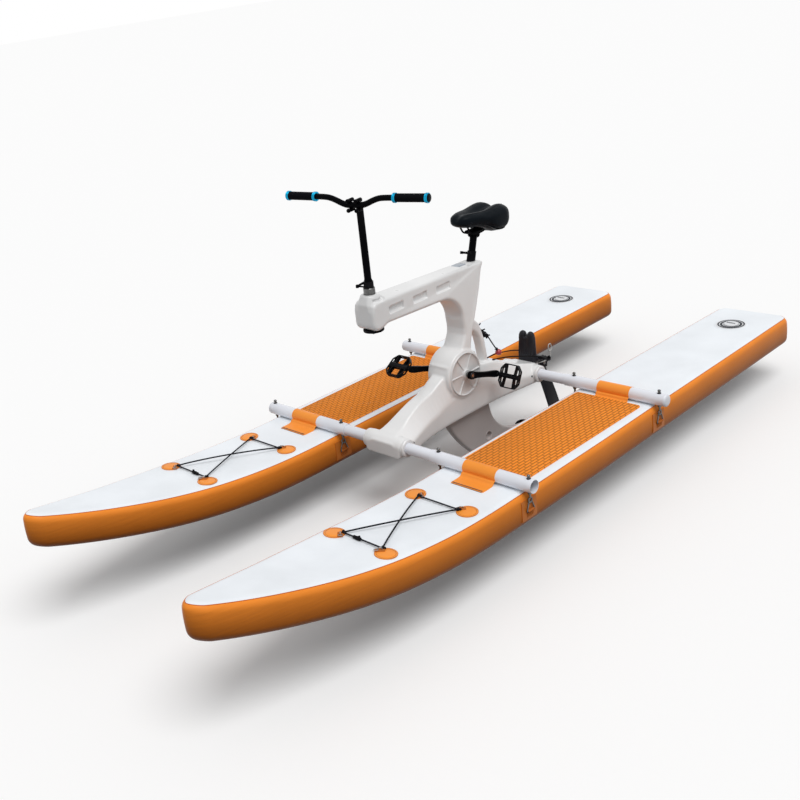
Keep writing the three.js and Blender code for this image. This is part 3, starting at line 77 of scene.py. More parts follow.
# Shared sizes, in metres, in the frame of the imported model
DRAFT = 0.15
GAP = 0.0003
AFT = Vector((0, 1, 0))
UP = Vector((0, 0, 1))
PORT = Vector((1, 0, 0))
SIDES = (("port", 1), ("starboard", -1))
BOARD_X = 0.438
BOARD_HALF = 0.184
BOARD_THICK = 0.124
BOARD_EDGE = 0.03
BOARD_END = 1.6
BOW_BEND = -0.448
BOW_LIFT = 0.17
TUBE_Y = {"front": -0.344, "rear": 0.473}
TUBE_RADIUS = 0.024
TUBE_Z = 0.1483 + DRAFT
SLEEVE_HALF = {"front": 0.09, "rear": 0.082}
STEER_Y = -0.351
STEER_TURN = math.radians(10.8)
CRANK_CENTRE = Vector((0, 0.054, 0.29 + DRAFT))
CRANK_REACH = 0.158
CRANK_LEAN = math.radians(17)
SEAT_LEAN = math.radians(17.5)
SEAT_FOOT = Vector((0, 0.208, 0.697 + DRAFT))
SEAT_AXIS = Vector((0, math.sin(SEAT_LEAN), math.cos(SEAT_LEAN)))
POD_CENTRE = Vector((0, 0.186, -0.11 + DRAFT))
RUDDER_Y = 0.56
RUDDER_PIVOT = Vector((0, RUDDER_Y, DRAFT))
RUDDER_TURN = -STEER_TURN / 2


def lerp(a, b, t):
    return a + (b - a) * t


def smooth_table(places, values, place):
    """A smooth value between the rows of a table, without overshoot."""
    count = len(places)
    slopes = [(values[i + 1] - values[i]) / (places[i + 1] - places[i]) for i in range(count - 1)]
    tangents = [slopes[0]]
    for i in range(1, count - 1):
        a, b = slopes[i - 1], slopes[i]
        tangents.append(0.0 if a * b <= 0 else 2 * a * b / (a + b))
    tangents.append(slopes[-1])
    place = min(max(place, places[0]), places[-1])
    i = max(k for k in range(count - 1) if places[k] <= place)
    span = places[i + 1] - places[i]
    t = (place - places[i]) / span
    h00, h10 = 2 * t**3 - 3 * t**2 + 1, t**3 - 2 * t**2 + t
    h01, h11 = -2 * t**3 + 3 * t**2, t**3 - t**2
    near = h00 * values[i] + h10 * span * tangents[i]
    return near + h01 * values[i + 1] + h11 * span * tangents[i + 1]


# Mesh helpers


def new_verts(result):
    return [g for g in result["geom"] if isinstance(g, bmesh.types.BMVert)]


def new_faces(result):
    return [g for g in result["geom"] if isinstance(g, bmesh.types.BMFace)]


def outward(bm):
    """Turns every face outwards."""
    bmesh.ops.recalc_face_normals(bm, faces=bm.faces)


def turns(count, closed=False):
    """Angles evenly spaced over a full turn; a closed row ends where it began."""
    return [2 * math.pi * k / count for k in range(count + closed)]


def skin(bm, rings, close=True):
    """Extrudes a closed ring of points through a row of rings with as many points each."""
    count = len(rings[0])
    ring = [bm.verts.new(place) for place in rings[0]]
    for i in range(count):
        bm.edges.new((ring[i - 1], ring[i]))
    rows = [ring]
    for places in rings[1:]:
        edges = [bm.edges.get((ring[i], ring[(i + 1) % count])) for i in range(count)]
        made = set(new_verts(bmesh.ops.extrude_edge_only(bm, edges=edges)))
        following = []
        for vert, place in zip(ring, places):
            mate = next(e.other_vert(vert) for e in vert.link_edges if e.other_vert(vert) in made)
            mate.co = place
            following.append(mate)
        ring = following
        rows.append(ring)
    if close:
        bm.faces.new(rows[0][::-1])
        bm.faces.new(rows[-1])
    outward(bm)
    return rows


def turned(bm, profile, foot, axis, steps=48):
    """Spins a profile of (radius, height) pairs about an axis; ends on the axis are closed."""
    axis = Vector(axis).normalized()
    side = axis.orthogonal().normalized()
    verts = [bm.verts.new(Vector(foot) + side * r + axis * h) for r, h in profile]
    edges = [bm.edges.new(pair) for pair in zip(verts, verts[1:])]
    bmesh.ops.spin(
        bm,
        geom=verts + edges,
        cent=foot,
        axis=axis,
        dvec=(0, 0, 0),
        angle=2 * math.pi,
        steps=steps,
        use_merge=True,
        use_duplicate=False,
    )
    bmesh.ops.remove_doubles(bm, verts=bm.verts, dist=1e-6)


def rod(bm, start, end, radius, far_radius=None, segments=32, bevel=0.0):
    """A round bar or cone between two places, with its edges rounded where a bevel is given."""
    before = set(bm.verts)
    start, end = Vector(start), Vector(end)
    axis = end - start
    turn = UP.rotation_difference(axis.normalized()).to_matrix().to_4x4()
    place = Matrix.Translation((start + end) / 2) @ turn
    made = bmesh.ops.create_cone(
        bm,
        cap_ends=True,
        cap_tris=False,
        segments=segments,
        radius1=radius,
        radius2=radius if far_radius is None else far_radius,
        depth=axis.length,
        matrix=place,
    )["verts"]
    if bevel:
        round_edges(bm, sharp_edges(made), bevel)
    return [v for v in bm.verts if v not in before]


def sharp_edges(verts, angle=0.6):
    found = {e for v in verts for e in v.link_edges if len(e.link_faces) == 2}
    return [e for e in found if e.calc_face_angle(0.0) > angle]


def round_edges(bm, edges, width, segments=3, affect="EDGES"):
    bmesh.ops.bevel(
        bm,
        geom=edges,
        offset=width,
        offset_type="OFFSET",
        affect=affect,
        segments=segments,
        profile=0.5,
        material=-1,
        clamp_overlap=True,
    )


def ball(bm, centre, radius, segments=24):
    place = Matrix.Translation(centre)
    bmesh.ops.create_uvsphere(
        bm, u_segments=segments, v_segments=segments * 2 // 3, radius=radius, matrix=place
    )


def box(bm, low, high, bevel=0.0, segments=3):
    """A block between two corners, with its edges rounded where a bevel is given."""
    before = set(bm.verts)
    low, high = Vector(low), Vector(high)
    size = high - low
    place = Matrix.Translation((low + high) / 2) @ Matrix.Diagonal((*size, 1))
    made = bmesh.ops.create_cube(bm, size=1, matrix=place)["verts"]
    if bevel:
        round_edges(bm, sharp_edges(made), bevel, segments)
    return [v for v in bm.verts if v not in before]


def plate(bm, outline, start, end, axis=0, bevel=0.0, segments=3):
    """A flat outline, given across the other two axes, extruded between two places along an axis."""
    before = set(bm.verts)
    lay = {0: lambda u, v, w: (w, u, v), 1: lambda u, v, w: (u, w, v), 2: lambda u, v, w: (u, v, w)}[axis]
    verts = [bm.verts.new(lay(u, v, start)) for u, v in outline]
    base = bm.faces.new(verts)
    step = Vector(lay(0, 0, end - start))
    made = new_verts(bmesh.ops.extrude_face_region(bm, geom=[base]))
    bmesh.ops.translate(bm, verts=made, vec=step)
    every = verts + made
    bmesh.ops.recalc_face_normals(bm, faces=list({f for v in every for f in v.link_faces}))
    if bevel:
        round_edges(bm, sharp_edges(every), bevel, segments)
    return [v for v in bm.verts if v not in before]


def inset(bm, face, inward, rise):
    bmesh.ops.inset_region(
        bm, faces=[face], thickness=inward, depth=rise, use_even_offset=True, use_boundary=True
    )


def bent_corner(before, corner, after, bend, steps):
    """Points round a corner, from one of its sides to the other."""
    a = corner + (before - corner).normalized() * bend
    b = corner + (after - corner).normalized() * bend
    return [
        a * (1 - t) ** 2 + corner * 2 * t * (1 - t) + b * t * t
        for t in (k / steps for k in range(steps + 1))
    ]


def domed_slab(bm, outline, half, edge, steps=5):
    """A slab across X whose two faces roll over at their edges."""
    verts = [bm.verts.new((-(half - edge), u, v)) for u, v in outline]
    base = bm.faces.new(verts)
    made = bmesh.ops.extrude_face_region(bm, geom=[base])
    far = new_faces(made)
    bmesh.ops.translate(bm, verts=new_verts(made), vec=(2 * (half - edge), 0, 0))
    bmesh.ops.recalc_face_normals(bm, faces=list({f for v in bm.verts for f in v.link_faces}))
    for lid in (base, far[0]):
        for i in range(steps):
            a, b = (math.pi / 2) * i / steps, (math.pi / 2) * (i + 1) / steps
            inward = edge * (math.cos(a) - math.cos(b))
            rise = edge * (math.sin(b) - math.sin(a))
            inset(bm, lid, inward, rise)


def path_frames(points):
    """Positions, tangents and turning-free sides along a row of points."""
    tangents = []
    for i, p in enumerate(points):
        before, after = points[max(i - 1, 0)], points[min(i + 1, len(points) - 1)]
        tangents.append((after - before).normalized())
    side = tangents[0].orthogonal().normalized()
    frames = []
    for i, (p, t) in enumerate(zip(points, tangents)):
        if i:
            side = tangents[i - 1].rotation_difference(t) @ side
        side = (side - t * side.dot(t)).normalized()
        frames.append((p, t, side))
    return frames


def smooth_path(points, steps):
    """A smooth row of points through the given ones."""
    points = [Vector(p) for p in points]
    row = [points[0] * 2 - points[1]] + points + [points[-1] * 2 - points[-2]]
    out = []
    for i in range(1, len(row) - 2):
        for k in range(steps):
            t = k / steps
            p0, p1, p2, p3 = row[i - 1 : i + 3]
            square, cube = 2 * p0 - 5 * p1 + 4 * p2 - p3, 3 * p1 - 3 * p2 + p3 - p0
            out.append(0.5 * (2 * p1 + (p2 - p0) * t + square * t**2 + cube * t**3))
    out.append(points[-1])
    return out


def sweep(bm, points, radius, segments=16, close=True):
    """A round section along a row of points; the radius may vary with the share of the way."""
    frames = path_frames([Vector(p) for p in points])
    rings = []
    for i, (p, t, side) in enumerate(frames):
        r = radius(i / (len(frames) - 1)) if callable(radius) else radius
        other = t.cross(side)
        rings.append([p + r * (math.cos(a) * side + math.sin(a) * other) for a in turns(segments)])
    return skin(bm, rings, close)


def move(bm, verts, matrix):
    bmesh.ops.transform(bm, matrix=matrix, verts=verts)


def as_object(bm, name):
    mesh = bpy.data.meshes.new(name)
    bm.to_mesh(mesh)
    bm.free()
    made = bpy.data.objects.new(name, mesh)
    bpy.context.scene.collection.objects.link(made)
    return made


def bake(piece):
    """Applies every modifier that the piece carries."""
    bpy.context.view_layer.update()
    graph = bpy.context.evaluated_depsgraph_get()
    mesh = bpy.data.meshes.new_from_object(piece.evaluated_get(graph))
    piece.modifiers.clear()
    old = piece.data
    piece.data = mesh
    bpy.data.meshes.remove(old)


def settle(piece, body, materials, replaces=(), angle=35):
    """Gives a piece its shading, materials, body and the nodes that it stands for."""
    for material in materials:
        piece.data.materials.append(material)
    for face in piece.data.polygons:
        face.use_smooth = True
    piece.data.set_sharp_from_angle(angle=math.radians(angle))
    if body:
        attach(piece, body)
    if replaces:
        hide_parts(*replaces)
    return piece


def from_bm(bm, name, body, material, replaces=(), angle=35):
    """Makes a finished piece of a bmesh, its faces turned outwards."""
    outward(bm)
    return settle(as_object(bm, name), body, [material], replaces, angle)


def drop(piece):
    mesh = piece.data
    bpy.data.objects.remove(piece)
    bpy.data.meshes.remove(mesh)


def merge(bm, other):
    """Moves another bmesh's faces into this one."""
    spare = bpy.data.meshes.new("spare")
    other.to_mesh(spare)
    other.free()
    bm.from_mesh(spare)
    bpy.data.meshes.remove(spare)


def taken(*pieces):
    """A bmesh of the pieces' meshes, which are used up."""
    bm = bmesh.new()
    for piece in pieces:
        bm.from_mesh(piece.data)
        drop(piece)
    return bm


def carve(piece, bm, operation="DIFFERENCE"):
    """Cuts a piece with a bmesh, or joins them."""
    cutter = as_object(bm, "cutter")
    boolean = piece.modifiers.new("carve", "BOOLEAN")
    boolean.object = cutter
    boolean.operation = operation
    boolean.solver = "EXACT"
    bake(piece)
    drop(cutter)


def remesh(piece, voxel):
    step = piece.modifiers.new("remesh", "REMESH")
    step.mode = "VOXEL"
    step.voxel_size = voxel
    step.adaptivity = 0.0
    bake(piece)


def relax(piece, iterations):
    """Smooths a mesh a little with each round."""
    step = piece.modifiers.new("relax", "SMOOTH")
    step.factor = 0.5
    step.iterations = iterations
    bake(piece)


# Materials


def new_material(name):
    material = bpy.data.materials.new(name)
    material.use_nodes = True
    return material, material.node_tree, material.node_tree.nodes["Principled BSDF"]


def node(tree, kind, **values):
    made = tree.nodes.new(kind)
    for key, value in values.items():
        if hasattr(made, key):
            setattr(made, key, value)
        else:
            made.inputs[key].default_value = value
    return made


def object_place(tree, scale=(1, 1, 1), turn=(0, 0, 0), uv=False):
    coords = node(tree, "ShaderNodeTexCoord")
    mapping = node(tree, "ShaderNodeMapping", Scale=scale, Rotation=turn)
    tree.links.new(coords.outputs["UV" if uv else "Object"], mapping.inputs["Vector"])
    return mapping.outputs["Vector"]


def noise(tree, vector, scale, detail=3.0, roughness=0.5):
    made = node(tree, "ShaderNodeTexNoise", Scale=scale, Detail=detail, Roughness=roughness)
    tree.links.new(vector, made.inputs["Vector"])
    return made.outputs["Fac"]


def waves(tree, vector, scale, way="X"):
    made = node(tree, "ShaderNodeTexWave", Scale=scale, bands_direction=way)
    tree.links.new(vector, made.inputs["Vector"])
    return made.outputs["Fac"]


def turned_vector(tree, vector, angle):
    mapping = node(tree, "ShaderNodeMapping", Rotation=(0, 0, angle))
    tree.links.new(vector, mapping.inputs["Vector"])
    return mapping.outputs["Vector"]


def ramp(tree, factor, low, high, a=(0, 0, 0, 1), b=(1, 1, 1, 1)):
    made = node(tree, "ShaderNodeValToRGB")
    for stop, place, colour in zip(made.color_ramp.elements, (low, high), (a, b)):
        stop.position, stop.color = place, colour
    tree.links.new(factor, made.inputs["Fac"])
    return made.outputs["Color"]


def blend_colours(tree, factor, a, b, kind="MIX"):
    """Mixes two colours or sockets by a factor, or fully where there is none."""
    made = node(tree, "ShaderNodeMix", data_type="RGBA", blend_type=kind)
    for socket, value in ((6, a), (7, b)):
        if isinstance(value, (tuple, list)):
            made.inputs[socket].default_value = (*value[:3], 1)
        else:
            tree.links.new(value, made.inputs[socket])
    if factor is None:
        made.inputs[0].default_value = 1.0
    else:
        tree.links.new(factor, made.inputs[0])
    return made.outputs[2]


def arithmetic(tree, kind, a, b=0.5):
    made = node(tree, "ShaderNodeMath", operation=kind)
    for socket, value in ((0, a), (1, b)):
        if isinstance(value, (int, float)):
            made.inputs[socket].default_value = value
        else:
            tree.links.new(value, made.inputs[socket])
    return made.outputs["Value"]


def relief(tree, shader, height, strength, distance, under=None):
    made = node(tree, "ShaderNodeBump", Strength=strength, Distance=distance)
    tree.links.new(height, made.inputs["Height"])
    if under:
        tree.links.new(under, made.inputs["Normal"])
    tree.links.new(made.outputs["Normal"], shader.inputs["Normal"])
    return made.outputs["Normal"]


def paint(tree, shader, base, specular=None, rough=None):
    """Joins a colour to the shader and sets its plain gloss."""
    tree.links.new(base, shader.inputs["Base Color"])
    if specular is not None:
        shader.inputs["Specular IOR Level"].default_value = specular
    if rough is not None:
        shader.inputs["Roughness"].default_value = rough


def tinted(colour, share):
    return tuple(min(1.0, c * share) for c in colour[:3])


def mottled(tree, shader, colour, vector, scale, spread, rough, rough_spread):
    """Uneven colour and gloss over a surface."""
    patches = noise(tree, vector, scale, 4.0)
    tone = ramp(tree, patches, 0.35, 0.65)
    base = blend_colours(tree, tone, tinted(colour, 1 - spread), tinted(colour, 1 + spread / 2))
    gloss = node(
        tree, "ShaderNodeMapRange", **{"To Min": rough - rough_spread, "To Max": rough + rough_spread}
    )
    tree.links.new(noise(tree, vector, scale * 3.1, 2.0), gloss.inputs["Value"])
    tree.links.new(gloss.outputs["Result"], shader.inputs["Roughness"])
    return base


def edge_wear(tree, base, worn, low=0.52, high=0.62, amount=0.5):
    """Lightens convex edges a little."""
    geometry = node(tree, "ShaderNodeNewGeometry")
    edge = ramp(tree, geometry.outputs["Pointiness"], low, high, (0, 0, 0, 1), (amount, amount, amount, 1))
    return blend_colours(tree, edge, base, worn)


def coated_fabric(name, colour, weave=0.0011, rough=0.42, puckers=0.0, painted_light=0.0):
    """Vinyl-coated woven fabric, as on inflatable boards and their straps; on the rails, painted shade low
    down and a painted highlight high up.
    """
    material, tree, shader = new_material(name)
    vector = object_place(tree)
    base = mottled(tree, shader, colour, vector, 5.0, 0.05, rough, 0.06)
    stain = ramp(tree, noise(tree, vector, 1.7, 6.0, 0.6), 0.55, 0.8, (0, 0, 0, 1), (0.22, 0.22, 0.22, 1))
    base = blend_colours(tree, stain, base, tinted(colour, 0.82))
    # Painted light: by its height share, the side is painted darker towards its bottom as painted shade and
    # lighter towards its top as painted highlight.
    if painted_light:
        height = node(tree, "ShaderNodeAttribute", attribute_name="rail_height")
        low, high = 1 - painted_light, 1 + 0.65 * painted_light
        grade = ramp(
            tree, height.outputs["Fac"], 0.1, 0.9, (low, low * 0.92, low * 0.6, 1),
            (high, high * 1.06, high * 1.15, 1),
        )
        base = blend_colours(tree, None, base, grade, "MULTIPLY")
    paint(tree, shader, base, 0.1 if painted_light else 0.22)
    threads = object_place(tree, (1 / weave,) * 3)
    checks = node(tree, "ShaderNodeTexVoronoi", Scale=1.0, feature="F1", distance="CHEBYCHEV")
    checks.inputs["Randomness"].default_value = 0.12
    tree.links.new(threads, checks.inputs["Vector"])
    normal = relief(tree, shader, checks.outputs["Distance"], 0.1, weave / 4)
    swell = noise(tree, vector, 9.0, 3.0, 0.55)
    normal = relief(tree, shader, swell, 0.22, 0.004, normal)
    if puckers:
        ripples = noise(tree, object_place(tree, (3, 3, 34)), 3.0, 2.0)
        relief(tree, shader, ripples, puckers, 0.004, normal)
    return material


def foam_pad(name, colour):
    """Closed-cell foam with brick-shaped grooves, painted darker in them as painted shade."""
    material, tree, shader = new_material(name)
    vector = object_place(tree)
    bricks = node(
        tree,
        "ShaderNodeTexBrick",
        offset=0.5,
        Scale=1.0,
        **{"Brick Width": 0.036, "Row Height": 0.0138, "Mortar Size": 0.0027, "Mortar Smooth": 0.7},
    )
    tree.links.new(object_place(tree, turn=(0, 0, math.pi / 2)), bricks.inputs["Vector"])
    grooves = bricks.outputs["Fac"]
    base = mottled(tree, shader, colour, vector, 7.0, 0.05, 0.82, 0.05)
    # The grooves are painted darker: painted shade in them.
    base = blend_colours(tree, grooves, base, tinted(colour, 0.58))
    paint(tree, shader, base, 0.25)
    flat = arithmetic(tree, "SUBTRACT", 1.0, grooves)
    normal = relief(tree, shader, flat, 1.0, 0.003)
    relief(tree, shader, noise(tree, vector, 1400.0, 2.0), 0.12, 0.0004, normal)
    return material


def moulded(name, colour, rough, grain=0.0004, worn=None, coat=0.0, bump=0.12, spread=0.035, mirror=0.5):
    """Moulded plastic with a fine grain and slight unevenness."""
    material, tree, shader = new_material(name)
    vector = object_place(tree)
    base = mottled(tree, shader, colour, vector, 6.0, spread, rough, 0.05)
    if worn:
        base = edge_wear(tree, base, worn)
    paint(tree, shader, base, mirror)
    normal = relief(tree, shader, noise(tree, vector, 0.5 / grain, 2.0), bump, grain / 2)
    relief(tree, shader, noise(tree, vector, 14.0, 2.0), 0.1, 0.003, normal)
    shader.inputs["Coat Weight"].default_value = coat
    shader.inputs["Coat Roughness"].default_value = 0.12
    return material


def metal(name, colour, rough, streak=(40, 40, 900), bump=0.05, spread=0.35):
    """Brushed or turned metal, its patchy light and dark tone a painted reflection."""
    material, tree, shader = new_material(name)
    vector = object_place(tree)
    brushed = object_place(tree, streak)
    # Wide light and dark patches in the colour stand in for reflections: painted reflection.
    base = mottled(tree, shader, colour, vector, 55.0, spread, rough, 0.07)
    base = edge_wear(tree, base, tinted(colour, 1.6), amount=0.5)
    paint(tree, shader, base)
    relief(tree, shader, noise(tree, brushed, 1.0, 3.0), bump, 0.0002)
    shader.inputs["Metallic"].default_value = 1.0
    return material


def painted_metal(name, colour, rough, chips):
    """Black coated metal whose edges show a little bare metal."""
    material, tree, shader = new_material(name)
    vector = object_place(tree)
    base = mottled(tree, shader, colour, vector, 22.0, 0.18, rough, 0.07)
    base = edge_wear(tree, base, chips, 0.56, 0.7, 0.45)
    paint(tree, shader, base, 0.02)
    relief(tree, shader, noise(tree, vector, 900.0, 3.0), 0.12, 0.0002)
    return material


def braided(name, colour, diameter, fleck=None):
    """A braided cord whose own map runs round and along it."""
    material, tree, shader = new_material(name)
    vector = object_place(tree, uv=True)
    strands = arithmetic(
        tree, "MAXIMUM", *(waves(tree, turned_vector(tree, vector, lean), 1.6) for lean in (0.72, -0.72))
    )
    # The strands' colour follows their relief: painted shade in the grooves between them and painted
    # highlight on their crowns.
    base = blend_colours(tree, strands, tinted(colour, 0.55), tinted(colour, 1.5))
    if fleck:
        spots = ramp(tree, noise(tree, vector, 0.35, 0.0), 0.62, 0.66)
        base = blend_colours(tree, spots, base, fleck)
    paint(tree, shader, base, 0.1, 0.8)
    relief(tree, shader, strands, 0.7, diameter / 12)
    return material


def webbing(name, colour):
    """Flat woven webbing with ribs across it."""
    material, tree, shader = new_material(name)
    vector = object_place(tree)
    weave = arithmetic(tree, "MULTIPLY", *(waves(tree, vector, 420.0, way) for way in ("Z", "Y")))
    # The weave's colour follows its relief: painted shade between the ribs and painted highlight on them.
    base = blend_colours(tree, weave, tinted(colour, 0.78), tinted(colour, 1.1))
    paint(tree, shader, base, 0.15, 0.75)
    relief(tree, shader, weave, 0.5, 0.0005)
    return material


def grained_skin(name, colour):
    """Leather-like saddle cover with a fine pebble grain."""
    material, tree, shader = new_material(name)
    vector = object_place(tree)
    pebbles = node(tree, "ShaderNodeTexVoronoi", Scale=750.0, feature="SMOOTH_F1")
    tree.links.new(vector, pebbles.inputs["Vector"])
    base = mottled(tree, shader, colour, vector, 16.0, 0.16, 0.4, 0.06)
    base = edge_wear(tree, base, tinted(colour, 2.0), 0.53, 0.66, 0.35)
    paint(tree, shader, base, 0.06)
    normal = relief(tree, shader, pebbles.outputs["Distance"], 0.28, 0.0006)
    relief(tree, shader, noise(tree, vector, 35.0, 3.0), 0.2, 0.002, normal)
    return material


def grip_rubber(name, colour):
    """Rubber with a knurl of small crossing grooves around the bar."""
    material, tree, shader = new_material(name)
    leans = (0.785, -0.785)
    knurl = arithmetic(
        tree, "MULTIPLY", *(waves(tree, object_place(tree, turn=(a, 0, a)), 150.0) for a in leans)
    )
    # The knurl's colour follows its relief: painted shade in the grooves and painted highlight on the
    # ridges.
    base = blend_colours(tree, knurl, tinted(colour, 0.7), tinted(colour, 1.5))
    paint(tree, shader, base, 0.03, 0.72)
    relief(tree, shader, knurl, 0.6, 0.0006)
    return material


# Boards


def board_half(y):
    """Half width of the board at a place along it."""
    share = (y + BOARD_END) / (2 * BOARD_END)
    places = [0, 0.012, 0.05, 0.1, 0.16, 0.22, 0.3, 0.36, 0.52, 0.64, 0.76, 0.88, 0.975, 1]
    widths = [0.19, 0.27, 0.46, 0.655, 0.84, 0.95, 0.998, 1, 0.99, 0.96, 0.935, 0.91, 0.885, 0.88]
    return BOARD_HALF * smooth_table(places, widths, share)


def board_rise(y):
    """How far the upward curve of the bow lifts the board at a place."""
    ahead = max(0.0, (BOW_BEND - y) / (BOW_BEND + BOARD_END))
    return BOW_LIFT * ahead**1.96


def board_top(y):
    return DRAFT + BOARD_THICK + board_rise(y)


def board_plan():
    """Half of the plan outline, from the bow tip to the middle of the stern, as (x, y)."""
    nose, corner, bow, stern = 0.046, 0.052, -BOARD_END, BOARD_END
    half = []
    for i in range(13):
        t = math.pi / 2 * i / 12
        y = bow + nose * (1 - math.cos(t))
        half.append((board_half(y) * math.sin(t), y))
    places = [bow + nose + 0.02 * i for i in range(1, 8)]
    places += [bow + nose + 0.14 + 0.045 * i for i in range(1, 68)]
    places = [y for y in places if y < stern - corner - 0.02]
    half += [(board_half(y), y) for y in places]
    width = board_half(stern - corner)
    for i in range(9):
        t = math.pi / 2 * i / 8
        half.append((width - corner * (1 - math.cos(t)), stern - corner * (1 - math.sin(t))))
    half += [(width * share, stern) for share in (0.5, 0.3, 0.1, 0.0)]
    return half


def board_section():
    """The edge's section as (inset, height, finish) from the underside seam to the deck."""
    radius, height = BOARD_EDGE, BOARD_THICK
    rows = [(0.046, 0.0, 2), (0.045, -0.0004, 1)]
    for i in range(9):
        t = math.pi / 2 * i / 8
        rows.append((radius * (1 - math.sin(t)), radius * (1 - math.cos(t)), 1))
    rows += [(-0.001, height * 0.42, 1), (-0.001, height * 0.58, 1)]
    shoulder = [(degrees, 0.0, 1) for degrees in (0, 9, 18, 27, 36, 45, 50)]
    shoulder += [(50.6, 0.0007, 3), (54.4, 0.0007, 3), (55, 0.0, 3)]
    shoulder += [(degrees, 0.0, 0) for degrees in (62, 69, 76, 83, 90)]
    for degrees, proud, finish in shoulder:
        t = math.radians(degrees)
        reach = radius + proud
        rows.append((radius - reach * math.cos(t), height - radius + reach * math.sin(t), finish))
    return rows


def build_board(side, sign, looks):
    """The inflated board: deck, wrapped edge with its seams, and underside."""
    half = board_plan()
    outline = half + [(-x, y) for x, y in half[-2:0:-1]]
    count = len(outline)
    normals = []
    for i in range(count):
        (ax, ay), (bx, by) = outline[i - 1], outline[(i + 1) % count]
        tangent = Vector((bx - ax, by - ay)).normalized()
        normals.append(Vector((tangent.y, -tangent.x)))
    middle = len(half) - 1
    rings = []
    for inward, height, _ in board_section():
        ring = []
        for i, (x, y) in enumerate(outline):
            px, py = x - normals[i].x * inward, y - normals[i].y * inward
            way = 0 if i in (0, middle) else (1 if i < middle else -1)
            px = way * max(way * px, 0.0004) if way else 0.0
            lift = board_rise(py)
            ring.append(Vector((sign * BOARD_X + px, py, DRAFT + height + lift)))
        rings.append(ring)
    bm = bmesh.new()
    rows = skin(bm, rings, close=False)
    for j, row in enumerate(rows[1:]):
        finish = board_section()[j + 1][2]
        for i in range(count):
            face = bm.faces.get((row[i], row[(i + 1) % count], rows[j][(i + 1) % count], rows[j][i]))
            if face:
                face.material_index = finish
    for row, finish in ((rows[0], 2), (rows[-1], 0)):
        strips = 8
        before = None
        for i in range(1, middle):
            port, starboard = row[i], row[count - i]
            line = [port]
            for k in range(1, strips):
                line.append(bm.verts.new(port.co.lerp(starboard.co, k / strips)))
            line.append(starboard)
            if before is None:
                fan = [row[0]] + line
                face = bm.faces.new(fan)
                face.material_index = finish
            else:
                for k in range(strips):
                    face = bm.faces.new((before[k], before[k + 1], line[k + 1], line[k]))
                    face.material_index = finish
            before = line
        face = bm.faces.new(before + [row[middle]])
        face.material_index = finish
    bmesh.ops.remove_doubles(bm, verts=bm.verts, dist=1e-6)
    outward(bm)
    # Height share on the board's edge, which the rail's painted shade and painted highlight follow.
    share = bm.verts.layers.float.new("rail_height")
    for vert in bm.verts:
        vert[share] = (vert.co.z - DRAFT - board_rise(vert.co.y)) / BOARD_THICK
    layers = [looks[key] for key in ("deck", "rail", "underside", "seam")]
    settle(as_object(bm, "board_" + side), "craft", layers, ("hull_" + side,), 50)


PATCH_ACROSS = 0.111
LOOP_INWARD = 0.026
PATCH_PLACES = ((1, -0.565), (-1, -0.565), (-1, -0.943), (1, -0.943))


def patch_centre(sign, across, y):
    return Vector((sign * BOARD_X + sign * across * PATCH_ACROSS, y, board_top(y)))


def deck_slope(y):
    """Lean of the deck along the board at a place."""
    return math.atan2(board_top(y + 0.03) - board_top(y - 0.03), 0.06)


def oval(share, height, angle):
    """A point on the outline of a lacing patch, shrunk to a share of its size."""
    return Vector((0.039 * share * math.cos(angle), 0.036 * share * math.sin(angle), height))


def build_lacing_patches(side, sign, looks):
    """Four oval patches on the deck, each with a sewn loop and a steel grommet."""
    bm = bmesh.new()
    loops = bmesh.new()
    steel = bmesh.new()
    for across, y in PATCH_PLACES:
        place = Matrix.Translation(patch_centre(sign, across, y)) @ Matrix.Rotation(deck_slope(y), 4, "X")
        lean = Matrix.Rotation(math.radians(-45), 4, "Z")
        steps = (
            (1.0, 0.0004), (0.98, 0.0022), (0.86, 0.0027), (0.83, 0.0019), (0.8, 0.0029), (0.5, 0.0036),
            (0.2, 0.0038),
        )
        skin(bm, [[place @ lean @ oval(share, height, a) for a in turns(40)] for share, height in steps])
        for share, height in ((0.985, 0.002), (0.845, 0.0024)):
            sweep(loops, [place @ lean @ oval(share, height, a) for a in turns(48, True)], 0.0007, 8)
        inward = -sign * across * LOOP_INWARD
        loop_spot = place @ Vector((inward, 0.0, 0.004))
        tab = box(loops, (-0.016, -0.009, -0.001), (0.016, 0.009, 0.0022), 0.0008)
        along = Matrix.Translation(loop_spot) @ Matrix.Rotation(deck_slope(y), 4, "X") @ Matrix.Rotation(
            math.radians(45 * across * sign), 4, "Z"
        )
        move(loops, tab, along)
        arch = smooth_path(
            [(-0.008, 0, 0.001), (-0.005, 0, 0.0075), (0.005, 0, 0.0075), (0.008, 0, 0.001)], 4
        )
        sweep(steel, [along @ p for p in arch], 0.0016, 10)
        ring = bmesh.new()
        turned(
            ring,
            [
                (0.0042, 0.0), (0.0075, 0.0), (0.0078, 0.0008), (0.006, 0.0018), (0.0042, 0.001),
                (0.0042, 0.0),
            ],
            (0, 0, 0), (0, 0, 1), 24,
        )
        outward(ring)
        ring.transform(along @ Matrix.Translation((math.copysign(0.011, inward), 0, 0.0022)))
        merge(steel, ring)
    from_bm(bm, "lacing_patches_" + side, "craft", looks["strap"], angle=40)
    from_bm(loops, "lacing_loops_" + side, "craft", looks["webbing"], angle=40)
    from_bm(steel, "lacing_grommets_" + side, "craft", looks["steel"], angle=50)


